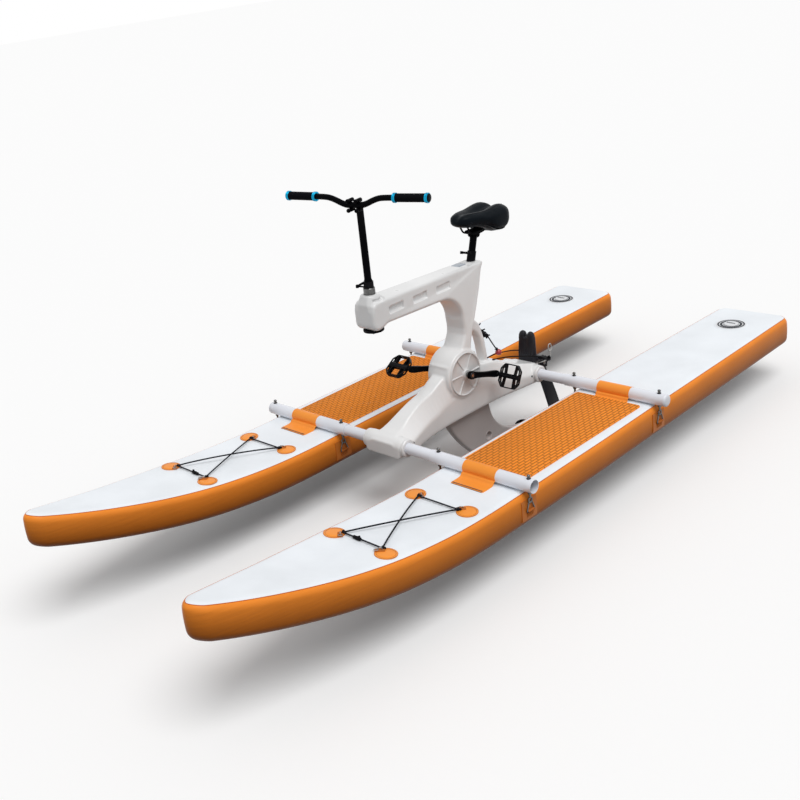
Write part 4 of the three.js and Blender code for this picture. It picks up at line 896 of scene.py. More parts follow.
def add_tube_map(piece, points, radius):
    """Gives a swept tube a map that runs round and along it in tube diameters."""
    mesh = piece.data
    if not mesh.uv_layers:
        mesh.uv_layers.new(name="UVMap")
    layer = mesh.uv_layers.active.data
    run = [0.0]
    for a, b in zip(points, points[1:]):
        run.append(run[-1] + (b - a).length)
    near = range(len(points))
    ring_of = [min(near, key=lambda i: (points[i] - vert.co).length_squared) for vert in mesh.vertices]
    frames = path_frames(points)
    for polygon in mesh.polygons:
        shares = []
        for vertex in polygon.vertices:
            p, t, side = frames[ring_of[vertex]]
            out = mesh.vertices[vertex].co - p
            shares.append(math.atan2(out.dot(t.cross(side)), out.dot(side)) / (2 * math.pi))
        wrap = max(shares) - min(shares) > 0.5
        for loop, vertex, turn in zip(polygon.loop_indices, polygon.vertices, shares):
            turn = turn + 1 if wrap and turn < 0 else turn
            layer[loop].uv = (turn * 6, run[ring_of[vertex]] / (2 * radius) * 2)


def build_lacing(side, sign, looks):
    """One elastic cord laced along two sides and both diagonals, with its lock."""

    def spot(across, y):
        inward = PATCH_ACROSS - LOOP_INWARD
        along = y + (-0.013 if y == -0.565 else 0.013)
        return Vector(
            (sign * BOARD_X + sign * across * inward, along, board_top(along) + 0.003 + 0.0035 + GAP)
        )

    a, b, c, d = [spot(*place) for place in PATCH_PLACES]
    radius = 0.0027

    def run(start, end, lift):
        points = []
        for i in range(25):
            share = i / 24
            p = start.lerp(end, share)
            p.z = max(p.z, board_top(p.y) + radius + GAP) + lift * math.sin(math.pi * share) ** 0.6
            points.append(p)
        return points

    runs = [run(a, b, 0.0), run(a, c, 0.003), run(b, d, 0.0092), run(c, d, 0.0)]
    made = []
    for points in runs:
        bm = bmesh.new()
        sweep(bm, points, radius, 10)
        piece = as_object(bm, "lacing_run")
        add_tube_map(piece, points, radius)
        made.append(piece)
    from_bm(taken(*made), "lacing_cord_" + side, "craft", looks["bungee"], ("bungee_" + side,), 60)
    hardware = bmesh.new()
    for corner in (a, b, c, d):
        ball(hardware, corner + Vector((0, 0, 0.001)), 0.0056, 12)
        ball(hardware, corner + Vector((0.005 * sign, 0.005, 0.0)), 0.0043, 12)
        ball(hardware, corner + Vector((-0.004 * sign, 0.006, 0.001)), 0.004, 12)
    middle = c.lerp(d, 0.4)
    along = (d - c).normalized()
    rod(hardware, middle - along * 0.009, middle + along * 0.009, 0.0066, 0.0058, 24, 0.0015)
    button = middle + along * 0.004
    rod(hardware, button, button + UP * 0.01, 0.004, 0.004, 20, 0.001)
    turned(
        hardware,
        [(0.0, 0.0), (0.0045, 0.0), (0.0058, 0.002), (0.0058, 0.008), (0.0042, 0.01), (0.0, 0.01)],
        middle - along * 0.022, along, 20,
    )
    from_bm(
        hardware, "lacing_lock_" + side, "craft", looks["black_plastic"], angle=45
    )


def side_patch_place(sign, face, y, z):
    """A point just off the side of a board, which rolls in over its lower and upper edge."""
    bend = max(z - (BOARD_THICK - BOARD_EDGE), BOARD_EDGE - z) / BOARD_EDGE
    depth = -BOARD_EDGE * (1 - math.cos(math.asin(min(1.0, bend)))) if bend > 0 else 0.001
    return Vector((sign * BOARD_X + face * (board_half(y) + depth), y, DRAFT + z))


def build_side_patches(side, sign, looks):
    """Sewn patches on the edges of the board that carry the tie rings."""
    bm = bmesh.new()
    for y in TUBE_Y.values():
        for face in (1, -1):
            grid = bmesh.ops.create_grid(bm, x_segments=12, y_segments=8, size=1.0)["verts"]
            for vert in grid:
                u, v = round(vert.co.x * 6) / 6, round((vert.co.y + 1) * 4) / 8
                vert.co = side_patch_place(sign, face, y + 0.04 * u, lerp(0.024, 0.098, v))
            faces = list({f for v in grid for f in v.link_faces})
            bmesh.ops.recalc_face_normals(bm, faces=faces)
            if faces[0].normal.x * face < 0:
                bmesh.ops.reverse_faces(bm, faces=faces)
            thick = bmesh.ops.extrude_face_region(bm, geom=faces, use_keep_orig=True)
            moved = new_verts(thick)
            bmesh.ops.translate(bm, verts=moved, vec=(face * 0.0022, 0, 0))
            centre = [v for v in moved if abs(v.co.y - y) < 0.027 and abs(v.co.z - DRAFT - 0.061) < 0.026]
            bmesh.ops.translate(bm, verts=centre, vec=(face * 0.0006, 0, 0))
            bmesh.ops.reverse_faces(bm, faces=faces)
    from_bm(bm, "side_patches_" + side, "craft", looks["rail_patch"], angle=35)


def build_valve(side, sign, looks):
    """Round inflation valve: a ringed base plate under a domed cap with finger grips."""
    foot = Vector((sign * BOARD_X, 1.38, board_top(1.38) + GAP))
    bm = bmesh.new()
    profile = [
        (0.0, 0.0), (0.0615, 0.0), (0.062, 0.0012), (0.0605, 0.0026), (0.056, 0.003), (0.055, 0.0022)
    ]
    for radius in (0.049, 0.042, 0.035):
        profile += [
            (radius + 0.0018, 0.0022), (radius + 0.0012, 0.0032), (radius - 0.0012, 0.0032),
            (radius - 0.0018, 0.0022),
        ]
    profile += [
        (0.03, 0.0024), (0.0292, 0.0052), (0.0275, 0.0072), (0.0245, 0.008), (0.0235, 0.0072),
        (0.0, 0.0072),
    ]
    turned(bm, profile, foot, UP, 72)
    box(bm, foot + Vector((-0.021, -0.0038, 0.007)), foot + Vector((0.021, 0.0038, 0.009)), 0.0012)
    for k in range(18):
        turn = Matrix.Rotation(2 * math.pi * k / 18, 4, "Z")
        grip = box(bm, (0.0262, -0.0016, 0.002), (0.0298, 0.0016, 0.0074), 0.0006, 2)
        move(bm, grip, Matrix.Translation(foot) @ turn)
    from_bm(
        bm, "valve_" + side + "_fitting", "craft", looks["valve"], ("valve_" + side,), 35
    )
    bands = bmesh.new()
    for radius, half in ((0.053, 0.0032), (0.0405, 0.0048), (0.029, 0.002)):
        turned(
            bands,
            [
                (radius - half, 0.001), (radius + half, 0.001), (radius + half, 0.0036),
                (radius - half, 0.0036), (radius - half, 0.001),
            ],
            foot, UP, 72,
        )
    box(bands, foot + Vector((-0.019, -0.003, 0.0085)), foot + Vector((0.019, 0.003, 0.0098)), 0.0006)
    from_bm(bands, "valve_" + side + "_seals", "craft", looks["valve_seal"])
    ring = bmesh.new()
    turned(
        ring, [(0.0, 0.0), (0.07, 0.0), (0.0705, 0.0004), (0.0695, 0.0009), (0.0, 0.0009)],
        foot - UP * (GAP + 0.0001), UP, 64,
    )
    from_bm(ring, "valve_" + side + "_base", "craft", looks["deck"])


def build_pad(side, looks):
    """Foam traction pad with rounded edges and an impressed border."""
    low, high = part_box("deck_pad_" + side)
    low, high = Vector(low), Vector(high)
    high.y += 0.015
    outline = []
    radius = 0.012
    for cx, cy, start in (
        (high.x - radius, high.y - radius, 0), (low.x + radius, high.y - radius, 1),
        (low.x + radius, low.y + radius, 2), (high.x - radius, low.y + radius, 3),
    ):
        for i in range(7):
            angle = math.pi / 2 * (start + i / 6)
            outline.append((cx + radius * math.cos(angle), cy + radius * math.sin(angle)))
    bm = bmesh.new()
    plate(bm, outline, low.z, high.z, axis=2)
    top = max(bm.faces, key=lambda f: f.calc_center_median().z)
    round_edges(bm, list(top.edges), 0.0022, 4)
    top = max(bm.faces, key=lambda f: (round(f.calc_center_median().z, 6), f.calc_area()))
    for inward, rise in ((0.006, 0.0), (0.0015, -0.0012), (0.0015, 0.0012)):
        inset(bm, top, inward, rise)
    from_bm(bm, "foam_pad_" + side, "craft", looks["foam"], ("deck_pad_" + side,), 40)


# Cross tubes and their fastenings


def tie_places():
    """Where the ball-headed bolts pass through the tubes: (end, place, side, x, y)."""
    for end, y in TUBE_Y.items():
        for side, _ in SIDES:
            for place in ("inner", "outer"):
                low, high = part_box("tie_%s_%s_%s" % (end, place, side))
                yield end, place, side, (low[0] + high[0]) / 2, y


def build_tubes(looks):
    """Centre tubes and the wider tubes slid over their ends, open or plugged."""
    for end, y in TUBE_Y.items():
        bm = bmesh.new()
        core, wall = 0.0213, 0.0025
        reach = 0.305
        profile = [
            (core - wall, -reach), (core, -reach), (core, reach), (core - wall, reach),
            (core - wall, -reach),
        ]
        turned(bm, profile, (0, y, TUBE_Z), PORT, 64)
        from_bm(bm, "centre_tube_" + end, "craft", looks["tube"], ("crossbar_" + end,), 40)
        for side, sign in SIDES:
            bm = bmesh.new()
            outer, inner = TUBE_RADIUS, TUBE_RADIUS - 0.0024
            near, far = 0.215, 0.651
            lip = 0.0006
            profile = [
                (inner, near), (outer - lip, near), (outer, near + lip), (outer, far - 0.022),
                (outer, far - lip * 2), (outer - lip, far), (inner + lip, far), (inner, far - lip),
            ]
            if end == "rear":
                profile = profile[:5] + [
                    (outer, far - 0.0004), (outer - 0.0003, far + 0.0002), (outer - 0.0012, far + 0.003),
                    (outer - 0.005, far + 0.0055), (outer - 0.012, far + 0.0068), (0.0, far + 0.007),
                ]
                bottom = [(0.0, far - 0.03), (inner, far - 0.03), (inner, near)]
                turned(bm, profile, (0, y, TUBE_Z), (sign, 0, 0), 64)
                turned(bm, bottom, (0, y, TUBE_Z), (sign, 0, 0), 64)
            else:
                turned(bm, profile + [profile[0]], (0, y, TUBE_Z), (sign, 0, 0), 64)
            bmesh.ops.remove_doubles(bm, verts=bm.verts, dist=1e-6)
            from_bm(
                bm, "end_tube_%s_%s" % (end, side), "craft", looks["tube"],
                ("crossbar_end_%s_%s" % (end, side),), 40,
            )
            washers = bmesh.new()
            for tie_end, _, tie_side, x, _ in tie_places():
                if (tie_end, tie_side) == (end, side):
                    rod(
                        washers, (x, y, TUBE_Z + TUBE_RADIUS - 0.0006),
                        (x, y, TUBE_Z + TUBE_RADIUS + 0.0022), 0.0078, 0.0066, 24, 0.0006,
                    )
            from_bm(
                washers, "tube_washers_%s_%s" % (end, side), "craft", looks["black_plastic"],
            )


def strap_line(y, away):
    """Centre line of a strap in the side plane, from its long flap over the tube to its short foot."""
    radius = TUBE_RADIUS + 0.0009
    deck = DRAFT + BOARD_THICK + 0.0009
    points = [
        (0.0905, deck), (0.07, deck), (0.052, deck + 0.0002), (0.041, deck + 0.0014),
        (0.0335, deck + 0.0052), (0.0292, deck + 0.0115),
    ]
    for i in range(15):
        angle = math.radians(lerp(-22, 202, i / 14))
        points.append((radius * math.cos(angle), TUBE_Z + radius * math.sin(angle)))
    short = 0.42 if away > 0 else 1.0
    for reach, rise in ((0.0292, 0.0115), (0.0335, 0.0052), (0.04, 0.0014), (0.048, 0.0002), (0.0605, 0.0)):
        points.append((-0.0292 - (reach - 0.0292) * short, deck + rise))
    return [(y + away * u, z) for u, z in points]


def build_strap(end, y, side, sign, looks):
    """Fabric strap folded over a tube and glued to the deck, with stitching along its long end."""
    away = -1 if end == "front" else 1
    line = smooth_path([Vector((0, a, b)) for a, b in strap_line(y, away)], 2)
    half, thick = 0.0697, 0.0016
    bm = bmesh.new()
    grid = bmesh.ops.create_grid(bm, x_segments=18, y_segments=len(line) - 1, size=1.0)["verts"]
    for vert in grid:
        p = line[round((vert.co.y + 1) / 2 * (len(line) - 1))]
        vert.co = Vector((sign * BOARD_X + vert.co.x * half, p.y, p.z))
    corners = [v for v in bm.verts if len(v.link_faces) == 1]
    round_edges(bm, corners, 0.01, 4, "VERTICES")
    outward(bm)
    if sum(f.normal.z for f in bm.faces) < 0:
        bmesh.ops.reverse_faces(bm, faces=bm.faces)
    bmesh.ops.solidify(bm, geom=list(bm.faces), thickness=thick)
    from_bm(
        bm, "tube_strap_%s_%s" % (end, side), "craft", looks["strap"], ("strap_%s_%s" % (end, side),),
        50,
    )
    threads = bmesh.new()
    pale = bmesh.new()
    deck = DRAFT + BOARD_THICK
    for reach in (0.0862, 0.0836):
        for k in range(34):
            x = sign * BOARD_X + lerp(-half + 0.007, half - 0.007, k / 33)
            z = deck + 0.003
            rod(
                threads, (x - 0.0019, y + away * reach, z), (x + 0.0019, y + away * (reach + 0.0002), z),
                0.0006, segments=8,
            )
    edge = y + away * 0.0905
    box(
        pale, (sign * BOARD_X - half + 0.004, min(edge, edge + away * 0.0018), deck + 0.0004),
        (sign * BOARD_X + half - 0.004, max(edge, edge + away * 0.0018), deck + 0.0013), 0.0003, 1,
    )
    from_bm(threads, "strap_stitches_%s_%s" % (end, side), "craft", looks["thread"])
    from_bm(pale, "strap_edge_%s_%s" % (end, side), "craft", looks["thread"])


def ring_corners():
    """Corners of a tie ring about its own top middle, as (y, z)."""
    return [(-0.0085, 0.0), (0.0085, 0.0), (0.0205, -0.0325), (-0.0205, -0.0325)]


def build_ties(looks):
    """Ball-headed bolts through the tubes, each with its shackle, tie ring and webbing loop."""
    for end, place, side, x, y in tie_places():
        bm = bmesh.new()
        top = TUBE_Z + TUBE_RADIUS
        bottom = TUBE_Z - TUBE_RADIUS
        low = bottom - 0.02
        rod(bm, (x, y, low), (x, y, top + 0.004), 0.0038, segments=20)
        turned(
            bm,
            [
                (0.0, 0.0), (0.0046, 0.0), (0.005, 0.0012), (0.005, 0.003), (0.004, 0.0042),
                (0.0046, 0.0052), (0.006, 0.0074), (0.0064, 0.0098), (0.0056, 0.0122), (0.0034, 0.0138),
                (0.0, 0.0142),
            ],
            (x, y, top + 0.0005),
            UP,
            28,
        )
        rod(bm, (x, y, bottom - 0.0055), (x, y, bottom - 0.0006), 0.0078, segments=6, bevel=0.0006)
        rod(bm, (x, y, bottom - 0.0068), (x, y, bottom - 0.0055), 0.0068, segments=24)
        eye_centre = Vector((x, y, low - 0.009))
        loop = [
            eye_centre + Vector((0, 0.0088 * math.sin(a), 0.0088 * math.cos(a))) for a in turns(24, True)
        ]
        sweep(bm, loop, 0.0027, 12)
        apex = low - 0.018 + 0.0058
        corners = [Vector((x, y + u, apex - 0.003 + v)) for u, v in ring_corners()]
        hoop = []
        for i, corner in enumerate(corners):
            before, after = corners[i - 1], corners[(i + 1) % 4]
            bend = 0.006 if i < 2 else 0.007
            hoop += bent_corner(before, corner, after, bend, 6)
        hoop.append(hoop[0].copy())
        sweep(bm, hoop, 0.0024, 12)
        outward(bm)
        name = "%s_%s_%s" % (end, place, side)
        from_bm(bm, "tie_ring_" + name, "craft", looks["collar"], ("tie_" + name,), 50)
        band = bmesh.new()
        way = 1 if (x > 0) == (place == "outer") else -1
        base = apex - 0.003 - 0.0325
        half = 0.0165
        inner_x = x - way * 0.0062
        points = [
            (inner_x, base - 0.022), (inner_x, base - 0.01), (x - way * 0.0042, base - 0.0042),
            (x, base - 0.0046), (x + way * 0.0046, base + 0.0006), (x, base + 0.0048),
            (x - way * 0.004, base + 0.0042), (inner_x + way * 0.0016, base - 0.004),
            (inner_x + way * 0.0018, base - 0.02),
        ]
        curve = smooth_path([Vector((px, 0, pz)) for px, pz in points], 4)
        grid = bmesh.ops.create_grid(band, x_segments=4, y_segments=len(curve) - 1, size=1.0)["verts"]
        for vert in grid:
            p = curve[round((vert.co.y + 1) / 2 * (len(curve) - 1))]
            vert.co = Vector((p.x, y + vert.co.x * half, p.z))
        outward(band)
        bmesh.ops.solidify(band, geom=list(band.faces), thickness=0.0012)
        from_bm(band, "ring_webbing_" + name, "craft", looks["webbing"], angle=60)


# Moulded body


def arc_points(centre, radius, start, end, steps):
    return [
        (
            centre[0] + radius * math.cos(a), centre[1] + radius * math.sin(a)
        ) for a in (lerp(start, end, i / steps) for i in range(steps + 1))
    ]


def quadratic(a, b, c, steps=8):
    out = []
    for i in range(1, steps + 1):
        t = i / steps
        out.append(tuple((1 - t) ** 2 * p + 2 * t * (1 - t) * q + t * t * r for p, q, r in zip(a, b, c)))
    return out


def frame_outline():
    """Outline of the arm, column and knee in the side plane, in board heights."""
    points = [(-0.393, 0.672), (-0.388, 0.694), (-0.372, 0.706), (-0.346, 0.708), (0.226, 0.694)]
    points += quadratic((0.226, 0.694), (0.233, 0.694), (0.232, 0.686), 4)
    points += [(0.224, 0.664), (0.199, 0.594), (0.17, 0.532), (0.143, 0.47)]
    points += quadratic((0.143, 0.47), (0.118, 0.412), (0.11, 0.372))
    points += [(0.112, 0.214), (-0.034, 0.214), (-0.034, 0.341), (0.014, 0.374)]
    points += quadratic((0.014, 0.374), (0.046, 0.374), (0.062, 0.402), 5)
    points += [(0.081, 0.438), (0.083, 0.462)]
    points += arc_points((-0.03, 0.497), 0.109, 0.0, math.pi / 2, 14)
    points += [(-0.318, 0.614)]
    points += quadratic((-0.318, 0.614), (-0.351, 0.6), (-0.365, 0.6), 5)
    points += quadratic((-0.365, 0.6), (-0.393, 0.6), (-0.393, 0.63), 6)
    clean = []
    for p in points:
        if not clean or math.dist(p, clean[-1]) > 0.001:
            clean.append(p)
    return [(y, z + DRAFT) for y, z in clean]


def housing_ring(y):
    """Section of the lower housing: a flat floor, leaning flanks with a crease, and a narrow crown."""
    places = [
        -0.38, -0.352, -0.306, -0.25, -0.19, -0.12, -0.056, 0.03, 0.11, 0.18, 0.25, 0.32, 0.39,
        0.45, 0.512,
    ]
    tops = [
        0.166, 0.184, 0.2, 0.226, 0.25, 0.268, 0.3, 0.33, 0.322, 0.286, 0.273, 0.24, 0.214, 0.196,
        0.178,
    ]
    halves = [
        0.084, 0.09, 0.086, 0.076, 0.065, 0.055, 0.05, 0.049, 0.049, 0.05, 0.053, 0.062, 0.073, 0.08,
        0.076,
    ]
    crowns = [0.62, 0.5, 0.42, 0.4, 0.42, 0.5, 0.62, 0.72, 0.72, 0.7, 0.66, 0.62, 0.62, 0.66, 0.7]
    top = smooth_table(places, tops, y) + DRAFT
    half = smooth_table(places, halves, y)
    crown = half * smooth_table(places, crowns, y)
    floor = 0.112 + DRAFT
    tall = top - floor
    corners = [
        (-half, floor, 0.014), (half, floor, 0.014), (half, floor + tall * 0.46, 0.009),
        (crown, top, 0.006), (-crown, top, 0.006), (-half, floor + tall * 0.46, 0.009),
    ]
    ring = []
    for i, (x, z, bend) in enumerate(corners):
        corner = Vector((x, z))
        before, after = Vector(corners[i - 1][:2]), Vector(corners[(i + 1) % 6][:2])
        bend = min(bend, (before - corner).length * 0.45, (after - corner).length * 0.45)
        ring += [Vector((p.x, y, p.y)) for p in bent_corner(before, corner, after, bend, 5)]
    return ring


def build_shell(looks):
    """The moulded body: arm, column, knee and strut over the lower housing and its tube sleeves."""
    bm = bmesh.new()
    domed_slab(bm, frame_outline(), 0.0498, 0.0125)
    for vert in bm.verts:
        vert.co.x *= lerp(1.0, 0.74, max(0.0, min(1.0, (vert.co.y - 0.15) / 0.08)))
    places = [-0.38 + 0.892 * i / 44 for i in range(45)]
    skin(bm, [housing_ring(y) for y in places])
    for end, half in SLEEVE_HALF.items():
        y = TUBE_Y[end]
        profile = [
            (0.0, -half), (0.03, -half), (0.0345, -half + 0.0025), (0.036, -half + 0.008),
            (0.036, half - 0.008), (0.0345, half - 0.0025), (0.03, half), (0.0, half),
        ]
        turned(bm, profile, (0, y, TUBE_Z), PORT, 64)
    brace = [(0.12, 0.482)]
    brace += quadratic((0.136, 0.48), (0.192, 0.474), (0.21, 0.422))
    brace += [(0.226, 0.372), (0.233, 0.322), (0.24, 0.244), (0.218, 0.244), (0.213, 0.3), (0.206, 0.345)]
    brace += quadratic((0.201, 0.372), (0.188, 0.424), (0.13, 0.438))
    side = bmesh.new()
    domed_slab(side, [(y, z + DRAFT) for y, z in brace], 0.021, 0.006, 4)
    merge(bm, side)
    boss = [
        (0.0, -0.0548), (0.088, -0.0548), (0.0935, -0.0535), (0.0965, -0.049), (0.097, -0.04),
        (0.097, 0.04), (0.0965, 0.049), (0.0935, 0.0535), (0.088, 0.0548), (0.0, 0.0548),
    ]
    turned(bm, boss, CRANK_CENTRE, PORT, 96)
    facets = []
    for half_x, half_y, z in ((0.047, 0.042, 0.64), (0.047, 0.042, 0.696), (0.03, 0.03, 0.7275)):
        corners = [(half_x, half_y * 0.5), (half_x * 0.5, half_y)]
        quarter = corners + [(-u, v) for u, v in reversed(corners)]
        facets.append(
            [Vector((u, STEER_Y + v, z + DRAFT)) for u, v in quarter + [(-u, -v) for u, v in quarter]]
        )
    skin(bm, facets)
    box(bm, (-0.036, 0.486, DRAFT + 0.132), (0.036, 0.536, DRAFT + 0.174), 0.004)
    outward(bm)
    shell = as_object(bm, "moulded_body")
    remesh(shell, 0.003)
    relax(shell, 8)
    cuts = bmesh.new()
    for i in range(3):
        y = -0.311 + 0.13 * i
        floor = DRAFT + 0.647 - 0.0025 * i
        for _, sign in SIDES:
            low, high = sorted((sign * 0.0355, sign * 0.06))
            box(cuts, (low, y, floor), (high, y + 0.078, floor + 0.027), 0.003)
    neck = [
        (0.043 * math.sin(a), STEER_Y + 0.043 * math.cos(a), DRAFT + 0.7085)
        for a in (math.radians(-125 + 250 * k / 32) for k in range(33))
    ]
    sweep(cuts, neck, 0.0085, 16)
    dish = [
        (0.038, 0.126), (0.038, 0.168), (0.024, 0.18), (-0.024, 0.18), (-0.038, 0.168), (-0.038, 0.126),
        (-0.024, 0.117), (0.024, 0.117),
    ]
    plate(cuts, dish, DRAFT + 0.6905, DRAFT + 0.72, 2, 0.0035)
    outward(cuts)
    carve(shell, cuts)
    remesh(shell, 0.0025)
    relax(shell, 3)
    bores = bmesh.new()
    for y in TUBE_Y.values():
        rod(bores, (-0.3, y, TUBE_Z), (0.3, y, TUBE_Z), 0.0216, segments=64)
    rod(bores, CRANK_CENTRE - PORT * 0.07, CRANK_CENTRE + PORT * 0.07, 0.076, segments=96)
    carve(shell, bores)
    seats = bmesh.new()
    for _, sign in SIDES:
        rod(
            seats, CRANK_CENTRE + PORT * sign * 0.046, CRANK_CENTRE + PORT * sign * 0.07, 0.0883,
            segments=96,
        )
    rod(seats, (0, STEER_Y, DRAFT + 0.58), (0, STEER_Y, DRAFT + 0.75), 0.0183, segments=48)
    rod(seats, (0, STEER_Y, DRAFT + HEAD_TOP), (0, STEER_Y, DRAFT + 0.75), 0.0216, segments=48)
    rod(seats, SEAT_FOOT - SEAT_AXIS * 0.1283, SEAT_FOOT + SEAT_AXIS * 0.036, 0.0171, segments=48)
    down = (POD_CENTRE - CRANK_CENTRE).normalized()
    rod(seats, CRANK_CENTRE + down * 0.038, POD_CENTRE, 0.008, segments=24)
    carve(shell, seats)
    parking = bmesh.new()
    box(parking, (-0.44, 0.4917, DRAFT + 0.1677), (0.44, 0.574, DRAFT + 0.306))
    carve(shell, parking)
    settle(shell, "craft", [looks["shell"]], ("body_shell",), 38)


def build_shell_trim(looks):
    """Screws, sleeve rings, and a dark sheet on top of the arm that is painted shade in its dish."""
    bm = bmesh.new()
    for y, z, axis in ((0.1745, 0.505, Vector((0, 0.93, -0.37))), (0.126, 0.35, AFT)):
        foot = Vector((0, y, z + DRAFT))
        turned(
            bm,
            [
                (0.0, 0.0), (0.0046, 0.0), (0.0044, 0.0016), (0.003, 0.0026), (0.0018, 0.0026),
                (0.0018, 0.001), (0.0, 0.001),
            ],
            foot, axis, 20,
        )
    for _, sign in SIDES:
        for y, z in ((-0.3, 0.15), (0.432, 0.15)):
            foot = Vector((sign * (0.0855 if y < 0 else 0.0775), y, z + DRAFT))
            turned(
                bm,
                [
                    (0.0, -0.004), (0.004, -0.004), (0.004, 0.0012), (0.0026, 0.0022), (0.0014, 0.0022),
                    (0.0014, 0.0008), (0.0, 0.0008),
                ],
                foot, (sign, 0, 0), 20,
            )
    from_bm(bm, "body_screws", "craft", looks["black_metal"])
    collars = bmesh.new()
    for end, half in SLEEVE_HALF.items():
        for _, sign in SIDES:
            profile = [
                (0.0216, -0.004), (0.0345, -0.004), (0.0345, 0.0012), (0.0318, 0.0018), (0.0318, 0.003),
                (0.0338, 0.0038), (0.0338, 0.0078), (0.0318, 0.0104), (0.025, 0.0112), (0.0216, 0.01),
                (0.0216, -0.004),
            ]
            turned(collars, profile, (sign * half, TUBE_Y[end], TUBE_Z), (sign, 0, 0), 64)
    from_bm(collars, "sleeve_rings", "craft", looks["shell"])
    # A dark sheet laid in the dish on top of the arm: painted shade, not a part of the body.
    painted_shade_sheet = bmesh.new()
    panel = [
        (0.004, 0.1245), (0.004, 0.1715), (-0.023, 0.1725), (-0.0345, 0.163), (-0.0345, 0.13),
        (-0.023, 0.1245),
    ]
    plate(painted_shade_sheet, panel, DRAFT + 0.6885, DRAFT + 0.6925, 2, 0.0008)
    from_bm(painted_shade_sheet, "arm_inlay", "craft", looks["painted_shade_sheet"])


def build_covers(side, sign, looks):
    """Round gear cover with a rolled rim, a dished face, six ribs and a hub."""
    seat = 0.0463
    bm = bmesh.new()
    profile = [
        (0.0088, 0.0), (0.087, 0.0), (0.088, 0.001), (0.088, 0.0078), (0.0868, 0.0102), (0.084, 0.0124),
        (0.0822, 0.0122), (0.0806, 0.0096), (0.078, 0.007), (0.07, 0.0058), (0.05, 0.007), (0.03, 0.0094),
        (0.0215, 0.0112), (0.0196, 0.013), (0.019, 0.016), (0.0178, 0.0176), (0.012, 0.018),
        (0.0088, 0.0176), (0.0088, 0.0),
    ]
    foot = CRANK_CENTRE + PORT * sign * seat
    turned(bm, profile, foot, (sign, 0, 0), 96)
    outward(bm)
    for k in range(6):
        angle = 2 * math.pi * (k + 0.5) / 6
        spoke = Vector((0, math.sin(angle), math.cos(angle)))
        across = Vector((0, math.cos(angle), -math.sin(angle)))
        rows = []
        for share, rise, half in (
            (0.0, 0.0126, 0.0038), (0.25, 0.0116, 0.0026), (0.6, 0.0106, 0.0023), (0.9, 0.0112, 0.003),
            (1.0, 0.0122, 0.0046),
        ):
            reach = lerp(0.0185, 0.082, share)
            centre = foot + spoke * reach
            ring = [
                (-half, 0.004), (-half * 0.9, rise * 0.8), (-half * 0.45, rise), (half * 0.45, rise),
                (half * 0.9, rise * 0.8), (half, 0.004),
            ]
            rows.append([centre + across * u + PORT * sign * w for u, w in ring])
        skin(bm, rows)
    from_bm(bm, "round_cover_" + side, "craft", looks["cover"], ("gear_cover_" + side,), 32)


# Drive


def build_leg(looks):
    """Swept drive leg with a rounded leading edge, a round hole, a torpedo pod and a skeg."""
    lead = [(-0.034, 0.1117)] + quadratic((-0.034, 0.1117), (0.02, -0.01), (0.148, -0.112), 16)
    trail = [(0.478, -0.084)] + quadratic((0.478, -0.084), (0.232, -0.06), (0.229, 0.1117), 18)
    outline = [(y, z + DRAFT) for y, z in lead + [(0.478, -0.112)] + trail]
    bm = bmesh.new()
    domed_slab(bm, outline, 0.015, 0.0088, 6)
    skeg = [
        (0.236, -0.11), (0.44, -0.11), (0.44, -0.143), (0.437, -0.148), (0.431, -0.15), (0.276, -0.15),
        (0.262, -0.147),
    ]
    plate(bm, [(y, z + DRAFT) for y, z in skeg], -0.0045, 0.0045, 0, 0.0015, 3)
    pod = [
        (0.0, 0.122), (0.006, 0.1226), (0.012, 0.125), (0.018, 0.13), (0.0232, 0.138), (0.0263, 0.15),
        (0.028, 0.168),
    ]
    pod += [(0.028, 0.43), (0.0272, 0.446), (0.025, 0.462), (0.0215, 0.475), (0.018, 0.484), (0.0, 0.484)]
    turned(bm, pod, (0, 0, POD_CENTRE.z), AFT, 64)
    outward(bm)
    leg = as_object(bm, "swept_leg")
    remesh(leg, 0.0024)
    relax(leg, 5)
    cuts = bmesh.new()
    rod(cuts, (-0.03, 0.207, DRAFT - 0.039), (0.03, 0.207, DRAFT - 0.039), 0.0175, segments=48)
    rod(cuts, (0, 0.16, POD_CENTRE.z), (0, 0.236, POD_CENTRE.z), 0.0236, segments=48)
    rod(cuts, (0, 0.23, POD_CENTRE.z), (0, 0.49, POD_CENTRE.z), 0.0066, segments=32)
    carve(leg, cuts)
    down = (POD_CENTRE - CRANK_CENTRE).normalized()
    bore = bmesh.new()
    rod(bore, CRANK_CENTRE + down * 0.13, POD_CENTRE - down * 0.009, 0.008, segments=32)
    carve(leg, bore)
    settle(leg, "craft", [looks["leg"]], ("drive_leg",), 40)
    trim = bmesh.new()
    for _, sign in SIDES:
        foot = Vector((sign * 0.0149, 0.207, DRAFT - 0.039))
        turned(
            trim,
            [
                (0.0176, -0.004), (0.0198, -0.004), (0.0202, 0.0004), (0.0192, 0.0014), (0.018, 0.0008),
                (0.0176, -0.004),
            ],
            foot, (sign, 0, 0), 48,
        )
    from_bm(trim, "leg_hole_rims", "craft", looks["leg"], angle=50)


def crank_frame(sign):
    """The crank arm's direction, the one across it, and the pedal's end of it."""
    along = Vector((0, sign * math.cos(CRANK_LEAN), -sign * math.sin(CRANK_LEAN)))
    return along, Vector((0, along.z, -along.y)), CRANK_CENTRE + along * CRANK_REACH


